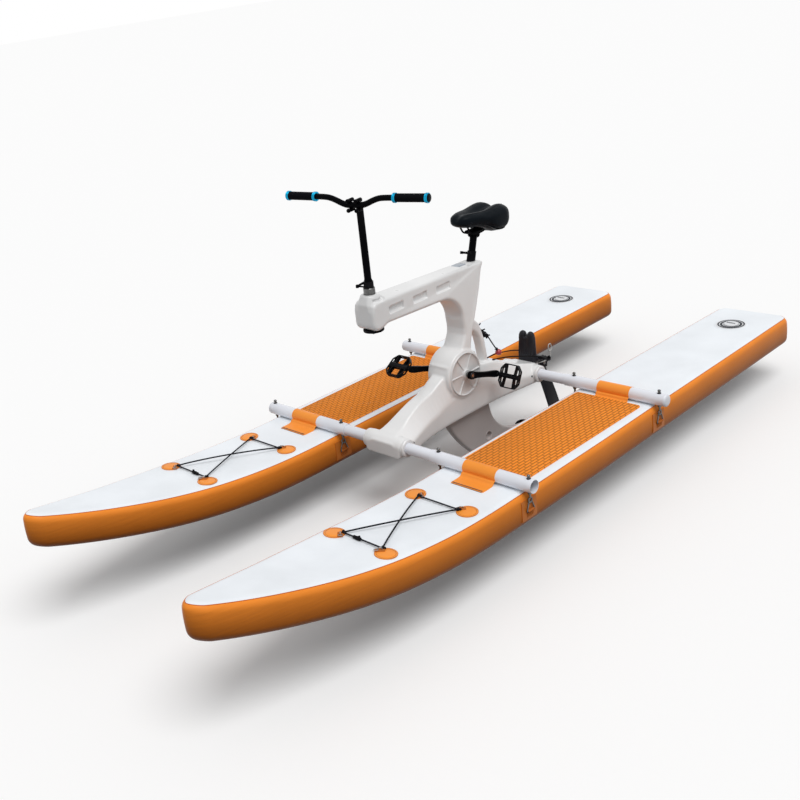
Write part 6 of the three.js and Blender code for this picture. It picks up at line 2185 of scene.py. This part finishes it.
def build_head(looks):
    """Steered rudder head: forked block, stock, tapered wings with cable eyes, and the blade's pin."""
    bm = bmesh.new()
    box(bm, (-0.014, -0.012, 0.118), (0.014, 0.062, 0.1677), 0.005)
    rod(bm, (0, 0, 0.118), (0, 0, 0.17), 0.0138, segments=40, bevel=0.002)
    head = as_object(bm, "rudder_fork")
    remesh(head, 0.0012)
    relax(head, 3)
    bm = bmesh.new()
    box(bm, (-0.0035, BLADE_PIVOT[0] - 0.024, 0.1), (0.0035, 0.08, 0.18))
    carve(head, bm)
    bm = taken(head)
    rod(bm, (0, 0, 0.16), (0, 0, 0.1943), 0.0079, segments=40, bevel=0.0008)
    outline = arc_points((WING_REACH, 0), 0.008, -math.pi / 2, math.pi / 2, 12) + [(0.02, 0.0078)]
    outline += [(-u, -v) for u, v in outline]
    plates = bmesh.new()
    plate(plates, outline, 0.1803, WING_TOP, 2, 0.0014)
    wings = as_object(plates, "rudder_wings")
    for _, sign in SIDES:
        eyes = bmesh.new()
        for x in (0.046, 0.062):
            rod(eyes, (sign * x, 0, 0.17), (sign * x, 0, 0.2), 0.0032, segments=24)
        carve(wings, eyes)
    merge(bm, taken(wings))
    bm.transform(SWING_PLACE)
    from_bm(bm, "rudder_fork", "rudder", looks["rudder_plastic"], ("rudder_head",), 40)
    pin = bmesh.new()
    y, z = BLADE_PIVOT
    for way in (-1, 1):
        turned(
            pin, [(0.0, 0.0), (0.0065, 0.0), (0.0068, 0.0006), (0.005, 0.0016), (0.0, 0.0018)],
            (way * 0.0139, y, z), (way, 0, 0), 24,
        )
    rod(pin, (-0.0139, y, z), (0.0139, y, z), 0.0048, segments=24)
    nut = [(0.0, 0.0), (0.0062, 0.0), (0.0062, 0.0036), (0.005, 0.0046), (0.0, 0.0046)]
    turned(pin, nut, (0, 0, 0.194), UP, 6)
    pin.transform(SWING_PLACE)
    from_bm(pin, "blade_pin", "rudder", looks["steel"])
    clamps = bmesh.new()
    for _, sign in SIDES:
        x = sign * WING_REACH
        box(clamps, (x - 0.007, -0.006, WING_TOP - 0.0006), (x + 0.007, 0.006, WING_TOP + 0.007), 0.002)
        rod(clamps, (x, 0, WING_TOP + 0.006), (x, 0, WING_TOP + 0.0105), 0.0034, segments=6, bevel=0.0005)
        rod(clamps, (x, 0, WING_TOP - 0.0102), (x, 0, WING_TOP - 0.0076), 0.0045, segments=20, bevel=0.0008)
    clamps.transform(SWING_PLACE)
    from_bm(clamps, "cable_clamps", "rudder", looks["black_metal"])


def blade_outline():
    """Outline of the blade in the swing frame's (y, z), from its boss round the foot and back."""
    pairs = [(0.581, 0.14), (0.5815, 0.1), (0.586, 0.056), (0.606, -0.006), (0.625, -0.07), (0.637, -0.112)]
    pairs += [
        (0.6405, -0.1205), (0.647, -0.122), (0.672, -0.117), (0.698, -0.1125), (0.7035, -0.1085),
        (0.7025, -0.1),
    ]
    pairs += [
        (0.692, -0.062), (0.677, -0.018), (0.661, 0.025), (0.64, 0.073), (0.622, 0.112), (0.6215, 0.1265)
    ]
    pairs += [
        (0.634, 0.1315), (0.652, 0.139), (0.6575, 0.1435), (0.6575, 0.151), (0.652, 0.1545), (0.628, 0.157),
        (0.612, 0.16),
    ]
    foot = [(y - RUDDER_Y, z) for y, z in pairs]
    return foot + arc_points(BLADE_PIVOT, 0.021, math.radians(72), math.pi, 8)[:-1]


def build_blade(looks):
    """Swept blade with thinned edges, and the white ring and line at its horn."""
    bm = bmesh.new()
    domed_slab(bm, blade_outline(), 0.003, 0.0021, 4)
    blade = as_object(bm, "swept_blade")
    bm = bmesh.new()
    y, z = BLADE_PIVOT
    rod(bm, (-0.02, y, z), (0.02, y, z), 0.0052, segments=40)
    rod(bm, BLADE_HORN - PORT * 0.02, BLADE_HORN + PORT * 0.02, 0.0026, segments=24)
    carve(blade, bm)
    blade.data.transform(SWING_PLACE)
    settle(blade, "rudder_blade", [looks["rudder_plastic"]], ("rudder_blade",), 40)
    ring = bmesh.new()
    corners = [
        BLADE_HORN + Vector((0, 0.006 + a, b))
        for a, b in (
            (0, 0.026), (0.0085, 0.033), (0.0105, 0.045), (0.0055, 0.0575), (-0.0045, 0.0575),
            (-0.0095, 0.045), (-0.0065, 0.033),
        )
    ]
    closed = smooth_path(corners + [corners[0]], 6)
    sweep(ring, closed, 0.0019, 10)
    ring.transform(SWING_PLACE)
    from_bm(ring, "blade_ring", "rudder_blade", looks["white_line"], angle=60)
    line = bmesh.new()
    points = [
        BLADE_HORN + Vector(p)
        for p in (
            (0, 0.006, 0.03), (0.0015, 0.005, 0.016), (0.005, 0.002, 0.002), (0.012, -0.02, 0.002),
            (0.018, -0.068, 0.005), (0.018, -0.112, 0.009),
        )
    ]
    sweep(line, smooth_path(points, 6), 0.0015, 8)
    line.transform(SWING_PLACE)
    from_bm(line, "blade_line", "rudder_blade", looks["white_line"], angle=60)


def build_cables(side, sign, looks):
    """Sheathed steering cable from the housing to its wing, with a ferrule at each end."""
    start = Vector((sign * 0.016, 0.268, 0.268 + DRAFT))
    wing = SWING_PLACE @ Vector((sign * WING_REACH, 0, WING_TOP + 0.0033))
    middle = (start + wing) / 2 + UP * 0.01
    quarter = (start + middle) / 2 + UP * 0.004
    rest = (middle + wing) / 2 + UP * 0.0025
    line = smooth_path([start, quarter, middle, rest, wing], 6)
    bm = bmesh.new()
    sweep(bm, line, 0.0024, 16)
    toward = (line[1] - line[0]).normalized()
    turned(
        bm, [(0.0, 0.0), (0.003, 0.0), (0.003, 0.01), (0.0026, 0.013), (0.0, 0.013)], start, toward, 20
    )
    back = (line[-2] - line[-1]).normalized()
    turned(bm, [(0.0, 0.0), (0.003, 0.0), (0.003, 0.012), (0.0026, 0.014), (0.0, 0.014)], wing, back, 20)
    cable = from_bm(
        bm, "rudder_cable_" + side, None, looks["cable"], ("steering_cable_" + side,), 50
    )
    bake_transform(cable)


# Lift cord


def lift_points():
    """The lift cord's foot, its bend, its end in the ball, and the ball's centre."""
    start = Vector((0, 0.2129, 0.408 + DRAFT))
    bend = Vector((0, 0.271, 0.361 + DRAFT))
    centre = Vector((0, 0.328, 0.278 + DRAFT))
    end = centre + (bend - centre).normalized() * 0.0133
    return start, bend, end, centre


def knot(bm, centre, size, thick, lean):
    """A small overhand knot: a closed trefoil of cord."""
    points = []
    for k in range(37):
        t = 2 * math.pi * k / 36
        x = math.sin(t) + 2 * math.sin(2 * t)
        y = math.cos(t) - 2 * math.cos(2 * t)
        z = -math.sin(3 * t)
        points.append(Vector((x, y, z * 1.3)) * (size / 3))
    turn = UP.rotation_difference(Vector(lean).normalized()).to_matrix().to_4x4()
    sweep(bm, [Vector(centre) + turn @ p for p in points], thick, 10)


def build_lift_cord(looks, settings):
    """Cord tied at the strut, its second knot, loose tails, and the red ball with its own knot."""
    start, bend, end, centre = lift_points()
    radius = settings.lift_cord_diameter / 2
    route = smooth_path(
        [start, start.lerp(bend, 0.5) + UP * 0.0006, bend, bend.lerp(end, 0.5) - UP * 0.0005, end], 6
    )
    bm = bmesh.new()
    sweep(bm, route, radius, 12)
    made = as_object(bm, "lift_cord_line")
    add_tube_map(made, route, radius)
    settle(made, "craft", [looks["lift_cord"]], ("lift_cord",), 60)
    along = (bend - start).normalized()
    knots = bmesh.new()
    for share in (0.1, 0.34, 0.6, 0.86):
        knot(
            knots, start.lerp(bend, share), 0.0105 if share < 0.8 else 0.008, 0.0029,
            along + Vector((0.4, 0.2 * share, 0)),
        )
    knot(knots, end + (bend - end).normalized() * 0.006, 0.0056, 0.002, (end - bend))
    for tail in (
        ((0.001, 0.002, 0.002), (-0.0015, 0.007, 0.015), (0.006, 0.012, 0.026)),
        ((0.002, 0.004, -0.002), (0.014, 0.008, 0.0), (0.027, 0.01, 0.006)),
        ((-0.002, 0.012, -0.01), (-0.016, 0.015, -0.008), (-0.029, 0.013, -0.014)),
        ((0.001, 0.034, -0.028), (0.014, 0.037, -0.033), (0.023, 0.042, -0.029)),
    ):
        points = smooth_path([start + Vector(p) for p in tail], 5)
        sweep(knots, points, 0.0026, 10)
    ties = from_bm(knots, "lift_cord_knots", "craft", looks["lift_cord_knots"], angle=60)
    bead = bmesh.new()
    toward = (bend - centre).normalized()
    profile = [(0.003, 0.0124)]
    for k in range(1, 24):
        a = lerp(math.radians(14), math.radians(166), k / 24)
        flat = 0.00035 if k == 12 else 0.0
        profile.append(((0.013 - flat) * math.sin(a), 0.013 * math.cos(a)))
    profile += [(0.003, -0.0124), (0.003, 0.0124)]
    turned(bead, profile, centre, toward, 48)
    outward(bead)
    stopper = bmesh.new()
    knot(stopper, centre - toward * 0.0138, 0.0036, 0.0016, toward)
    stop = from_bm(stopper, "lift_cord_stop", "craft", looks["lift_cord_knots"], angle=60)
    red = from_bm(bead, "red_ball", "craft", looks["red_ball"], ("lift_ball",), 50)


# Settings


def colour_setting(name, description, default):
    return FloatVectorProperty(
        name=name, description=description, subtype="COLOR", size=3, min=0, max=1, default=default
    )


def size_setting(name, description, default, low, high):
    return FloatProperty(
        name=name, description=description, unit="LENGTH", default=default, min=low, max=high
    )


class BoardSettings(bpy.types.PropertyGroup):
    rail_colour: colour_setting("Rail", "Colour of the boards' sides", (0.68, 0.195, 0.022))
    deck_colour: colour_setting("Deck", "Colour of the boards' decks", (0.86, 0.895, 0.935))
    seam_colour: colour_setting("Seam", "Colour of the band at the deck's edge", (0.55, 0.115, 0.01))
    pad_colour: colour_setting("Pad", "Colour of the foam deck pads", (0.93, 0.285, 0.028))
    strap_colour: colour_setting("Straps", "Colour of the straps and patches", (0.95, 0.32, 0.042))
    lacing_colour: colour_setting("Lacing", "Colour of the deck lacing", (0.01, 0.01, 0.014))
    weave: size_setting("Weave", "Width of one thread pair of the coated fabric", 0.0011, 0.0004, 0.004)


class FrameSettings(bpy.types.PropertyGroup):
    tube_colour: colour_setting("Tubes", "Colour of the cross tubes", (0.78, 0.8, 0.86))
    shell_colour: colour_setting("Shell", "Colour of the moulded body", (0.8, 0.8, 0.8))
    leg_colour: colour_setting("Leg", "Colour of the drive leg", (0.5, 0.46, 0.45))
    black_colour: colour_setting(
        "Black parts", "Colour of the black plastic parts", (0.0042, 0.0042, 0.0056)
    )
    ring_colour: colour_setting("Lock rings", "Colour of the grips' lock rings", (0.01, 0.3, 0.5))


class SeatSettings(bpy.types.PropertyGroup):
    skin_colour: colour_setting("Skin", "Colour of the saddle's cover", (0.0034, 0.0058, 0.0088))
    swell: size_setting("Swell", "How far the cover may swell", 0.0035, 0.0, 0.01)


class CordSettings(bpy.types.PropertyGroup):
    lift_cord_diameter: size_setting("Lift cord", "Thickness of the lift cord", 0.005, 0.002, 0.0052)
    ball_colour: colour_setting("Ball", "Colour of the ball on the lift cord", (0.38, 0.009, 0.02))


class StageSettings(bpy.types.PropertyGroup):
    floor_colour: colour_setting("Floor", "Colour of the floor and backdrop", (0.98, 0.98, 0.98))
    bounce: FloatProperty(
        name="Bounce", description="Share of light that the floor throws back", subtype="FACTOR",
        default=0.14, min=0, max=1,
    )
    sun: FloatProperty(name="Sun", description="Strength of the soft sun", default=1.72, min=0, max=10)
    sky: FloatProperty(name="Sky", description="Strength of the even light", default=0.5, min=0, max=2)


def finishes(scene):
    """Every finish by name, made once for the scene's settings."""
    board, body, seat, cords = scene.bike_boards, scene.bike_frame, scene.bike_seat, scene.bike_cords
    black = body.black_colour
    recipes = {
        "deck": lambda n: coated_fabric(n, board.deck_colour, board.weave, 0.4),
        # The rails carry painted shade low on their sides and a painted highlight high on them.
        "rail": lambda n: coated_fabric(n, board.rail_colour, board.weave, 0.36, puckers=0.25, painted_light=0.62),
        "rail_patch": lambda n: coated_fabric(n, tinted(board.rail_colour, 0.85), board.weave, 0.36),
        "underside": lambda n: coated_fabric(n, tinted(board.deck_colour, 0.97), board.weave, 0.42),
        "seam": lambda n: coated_fabric(n, board.seam_colour, board.weave, 0.38),
        "strap": lambda n: coated_fabric(n, board.strap_colour, board.weave, 0.4),
        "webbing": lambda n: webbing(n, (0.55, 0.16, 0.03)),
        "thread": lambda n: webbing(n, (0.12, 0.075, 0.1)),
        "foam": lambda n: foam_pad(n, board.pad_colour),
        "bungee": lambda n: braided(n, board.lacing_colour, 0.007, fleck=(0.05, 0.05, 0.06)),
        "valve_seal": lambda n: moulded(n, (0.012, 0.015, 0.022), 0.45, mirror=0.15),
        "valve": lambda n: moulded(n, (0.75, 0.76, 0.78), 0.4),
        "tube": lambda n: moulded(n, body.tube_colour, 0.24, coat=0.35, bump=0.03),
        "shell": lambda n: moulded(n, body.shell_colour, 0.3, coat=0.3, bump=0.05),
        # The bluish grey of the sheet in the arm's dish is painted shade.
        "painted_shade_sheet": lambda n: moulded(n, (0.36, 0.4, 0.46), 0.35, coat=0.3),
        # The cover takes 0.84 of the shell's colour: painted shade for its face.
        "cover": lambda n: moulded(n, tinted(body.shell_colour, 0.84), 0.34, coat=0.2, bump=0.05),
        "leg": lambda n: moulded(n, body.leg_colour, 0.42, worn=tinted(body.leg_colour, 1.5)),
        "black_plastic": lambda n: moulded(
            n, black, 0.36, worn=(0.018, 0.018, 0.021), bump=0.2, mirror=0.05
        ),
        "rudder_plastic": lambda n: moulded(
            n, tinted(black, 3.2), 0.34, worn=(0.04, 0.04, 0.046), bump=0.2, mirror=0.18
        ),
        "black_metal": lambda n: painted_metal(n, tinted(black, 0.7), 0.3, (0.07, 0.07, 0.075)),
        "grip": lambda n: grip_rubber(n, (0.005, 0.005, 0.007)),
        "blue": lambda n: metal(n, body.ring_colour, 0.3, spread=0.15),
        "steel": lambda n: metal(n, (0.27, 0.27, 0.265), 0.24),
        "collar": lambda n: metal(n, (0.125, 0.125, 0.122), 0.2),
        "steel_dark": lambda n: metal(n, (0.035, 0.035, 0.038), 0.36),
        "saddle": lambda n: grained_skin(n, seat.skin_colour),
        "cable": lambda n: braided(n, (0.01, 0.01, 0.011), 0.005),
        "lift_cord": lambda n: braided(n, (0.007, 0.007, 0.009), cords.lift_cord_diameter),
        "lift_cord_knots": lambda n: webbing(n, (0.007, 0.007, 0.009)),
        "red_ball": lambda n: moulded(
            n, cords.ball_colour, 0.28, coat=0.5, worn=tinted(cords.ball_colour, 1.2)
        ),
        "white_line": lambda n: webbing(n, (0.72, 0.72, 0.7)),
    }
    made = {}
    for key, recipe in recipes.items():
        name = "bike_" + key
        made[key] = bpy.data.materials.get(name) or recipe(name)
    return made


# Operators


class WATERBIKE_OT_stage(bpy.types.Operator):
    """Make the floor, the light and the camera"""

    bl_idname = "waterbike.stage"
    bl_label = "Stage"

    def execute(self, context):
        settings = context.scene.bike_stage
        build_floor(settings)
        build_light(settings)
        build_camera()
        return {"FINISHED"}


class WATERBIKE_OT_lift_cord(bpy.types.Operator):
    """Make the lift cord with its knots and ball"""

    bl_idname = "waterbike.lift_cord"
    bl_label = "Lift cord"

    def execute(self, context):
        build_lift_cord(finishes(context.scene), context.scene.bike_cords)
        return {"FINISHED"}


class WATERBIKE_OT_boards(bpy.types.Operator):
    """Make the two inflatable boards with their valves, pads and side patches"""

    bl_idname = "waterbike.boards"
    bl_label = "Boards"

    def execute(self, context):
        looks = finishes(context.scene)
        for side, sign in SIDES:
            build_board(side, sign, looks)
            build_pad(side, looks)
            build_valve(side, sign, looks)
            build_side_patches(side, sign, looks)
        return {"FINISHED"}


class WATERBIKE_OT_lacing(bpy.types.Operator):
    """Make the deck lacing and its oval patches"""

    bl_idname = "waterbike.lacing"
    bl_label = "Deck lacing"

    def execute(self, context):
        looks = finishes(context.scene)
        for side, sign in SIDES:
            build_lacing_patches(side, sign, looks)
            build_lacing(side, sign, looks)
        return {"FINISHED"}


class WATERBIKE_OT_cross_tubes(bpy.types.Operator):
    """Make the cross tubes with their straps and tie bolts"""

    bl_idname = "waterbike.cross_tubes"
    bl_label = "Cross tubes"

    def execute(self, context):
        looks = finishes(context.scene)
        build_tubes(looks)
        for end, y in TUBE_Y.items():
            for side, sign in SIDES:
                build_strap(end, y, side, sign, looks)
        build_ties(looks)
        return {"FINISHED"}


class WATERBIKE_OT_body(bpy.types.Operator):
    """Make the moulded body, its trim and its round gear covers"""

    bl_idname = "waterbike.body"
    bl_label = "Body"

    def execute(self, context):
        looks = finishes(context.scene)
        build_shell(looks)
        build_shell_trim(looks)
        for side, sign in SIDES:
            build_covers(side, sign, looks)
        return {"FINISHED"}


class WATERBIKE_OT_drive(bpy.types.Operator):
    """Make the drive leg, cranks, pedals and propeller"""

    bl_idname = "waterbike.drive"
    bl_label = "Drive"

    def execute(self, context):
        looks = finishes(context.scene)
        build_leg(looks)
        for side, sign in SIDES:
            build_crank(side, sign, looks)
            build_pedal(side, sign, looks)
        build_propeller(looks)
        return {"FINISHED"}


class WATERBIKE_OT_steering(bpy.types.Operator):
    """Make the steering column, the bar and its grips"""

    bl_idname = "waterbike.steering"
    bl_label = "Steering"

    def execute(self, context):
        looks = finishes(context.scene)
        build_column(looks)
        build_bar(looks)
        for side, sign in SIDES:
            build_grip(side, sign, looks)
        return {"FINISHED"}


class WATERBIKE_OT_seat(bpy.types.Operator):
    """Make the seat post with its collar, and the padded saddle"""

    bl_idname = "waterbike.seat"
    bl_label = "Seat"

    def execute(self, context):
        looks = finishes(context.scene)
        build_seat_post(looks)
        build_saddle(looks, context.scene.bike_seat)
        return {"FINISHED"}


class WATERBIKE_OT_rudder(bpy.types.Operator):
    """Make the rudder bracket, head, blade and steering cables"""

    bl_idname = "waterbike.rudder"
    bl_label = "Rudder"

    def execute(self, context):
        looks = finishes(context.scene)
        build_bracket(looks)
        build_head(looks)
        build_blade(looks)
        for side, sign in SIDES:
            build_cables(side, sign, looks)
        return {"FINISHED"}


class WATERBIKE_OT_gears(bpy.types.Operator):
    """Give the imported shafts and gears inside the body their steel"""

    bl_idname = "waterbike.gears"
    bl_label = "Shafts and gears"

    def execute(self, context):
        looks = finishes(context.scene)
        for name in ("crank_axle", "drive_shaft", "prop_shaft"):
            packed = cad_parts[name]
            packed.data.materials.clear()
            packed.data.materials.append(looks["steel"])
        return {"FINISHED"}


class WATERBIKE_PT_build(bpy.types.Panel):
    """Lists the settings and the steps of the build"""

    bl_label = "Water Bike"
    bl_space_type = "VIEW_3D"
    bl_region_type = "UI"
    bl_category = "Water Bike"

    def draw(self, context):
        for group in GROUPS:
            settings = getattr(context.scene, group)
            for key in settings.__annotations__:
                self.layout.prop(settings, key)
        for step in STEPS:
            self.layout.operator(step.bl_idname)


GROUPS = {
    "bike_boards": BoardSettings,
    "bike_frame": FrameSettings,
    "bike_seat": SeatSettings,
    "bike_cords": CordSettings,
    "bike_stage": StageSettings,
}
STEPS = (
    WATERBIKE_OT_stage,
    WATERBIKE_OT_lift_cord,
    WATERBIKE_OT_boards,
    WATERBIKE_OT_lacing,
    WATERBIKE_OT_cross_tubes,
    WATERBIKE_OT_body,
    WATERBIKE_OT_drive,
    WATERBIKE_OT_steering,
    WATERBIKE_OT_seat,
    WATERBIKE_OT_rudder,
    WATERBIKE_OT_gears,
)


# Stage


def seen_rays(tree):
    """One for rays from the camera and in reflections and glass, zero for light that bounces."""
    path = node(tree, "ShaderNodeLightPath")
    seen = arithmetic(tree, "MAXIMUM", path.outputs["Is Camera Ray"], path.outputs["Is Glossy Ray"])
    return arithmetic(tree, "MAXIMUM", seen, path.outputs["Is Transmission Ray"])


def build_floor(settings):
    """A plain white floor that keeps the shadow and throws little light back up."""
    bm = bmesh.new()
    bmesh.ops.create_grid(bm, x_segments=1, y_segments=1, size=60)
    bmesh.ops.translate(bm, verts=bm.verts, vec=(0, 0, CAD_BOX[0][2] - 0.0005))
    floor = as_object(bm, "floor")
    material, tree, shader = new_material("floor")
    colour = blend_colours(
        tree, seen_rays(tree), tinted(settings.floor_colour, settings.bounce), tuple(settings.floor_colour)
    )
    paint(tree, shader, colour, 0.0, 1.0)
    floor.data.materials.append(material)


def build_light(settings):
    """Even sky light and one soft sun from the port side."""
    world = bpy.data.worlds.new("studio")
    world.use_nodes = True
    tree = world.node_tree
    background = tree.nodes["Background"]
    background.inputs["Color"].default_value = (1, 1, 1, 1)
    level = node(tree, "ShaderNodeMapRange", **{"To Min": settings.sky, "To Max": 1.0})
    tree.links.new(seen_rays(tree), level.inputs["Value"])
    tree.links.new(level.outputs["Result"], background.inputs["Strength"])
    bpy.context.scene.world = world
    data = bpy.data.lights.new("sun", "SUN")
    data.energy = settings.sun
    data.angle = math.radians(40)
    made = bpy.data.objects.new("sun", data)
    bpy.context.scene.collection.objects.link(made)
    made.matrix_world = Vector((0.44, -0.1, 0.89)).to_track_quat("Z", "Y").to_matrix().to_4x4()


def build_camera():
    """The photo's camera: tilted, with its centre shifted, and plain colour."""
    data = bpy.data.cameras.new("camera")
    data.sensor_width = 36
    data.lens = 49.28
    data.shift_x = 0.137
    data.shift_y = -0.0893
    data.clip_end = 100
    made = bpy.data.objects.new("camera", data)
    bpy.context.scene.collection.objects.link(made)
    back = Vector((0.7321, -0.6069, 0.3094)).normalized()
    right = (-back).cross(UP).normalized()
    above = right.cross(-back)
    roll = math.radians(-8.09)
    c, s = math.cos(roll), math.sin(roll)
    turn = Matrix((c * right + s * above, c * above - s * right, back)).transposed().to_4x4()
    made.matrix_world = Matrix.Translation((2.6592, -2.9372, 1.9943)) @ turn
    bpy.context.scene.camera = made
    bpy.context.scene.view_settings.view_transform = "Standard"


# Registration


def register():
    for kind in (*GROUPS.values(), *STEPS, WATERBIKE_PT_build):
        bpy.utils.register_class(kind)
    for key, kind in GROUPS.items():
        setattr(bpy.types.Scene, key, PointerProperty(type=kind))


def unregister():
    for key in GROUPS:
        delattr(bpy.types.Scene, key)
    for kind in reversed((*GROUPS.values(), *STEPS, WATERBIKE_PT_build)):
        bpy.utils.unregister_class(kind)


def main():
    register()
    for step in STEPS:
        family, name = step.bl_idname.split(".")
        getattr(getattr(bpy.ops, family), name)()


if __name__ == "__main__":
    main()
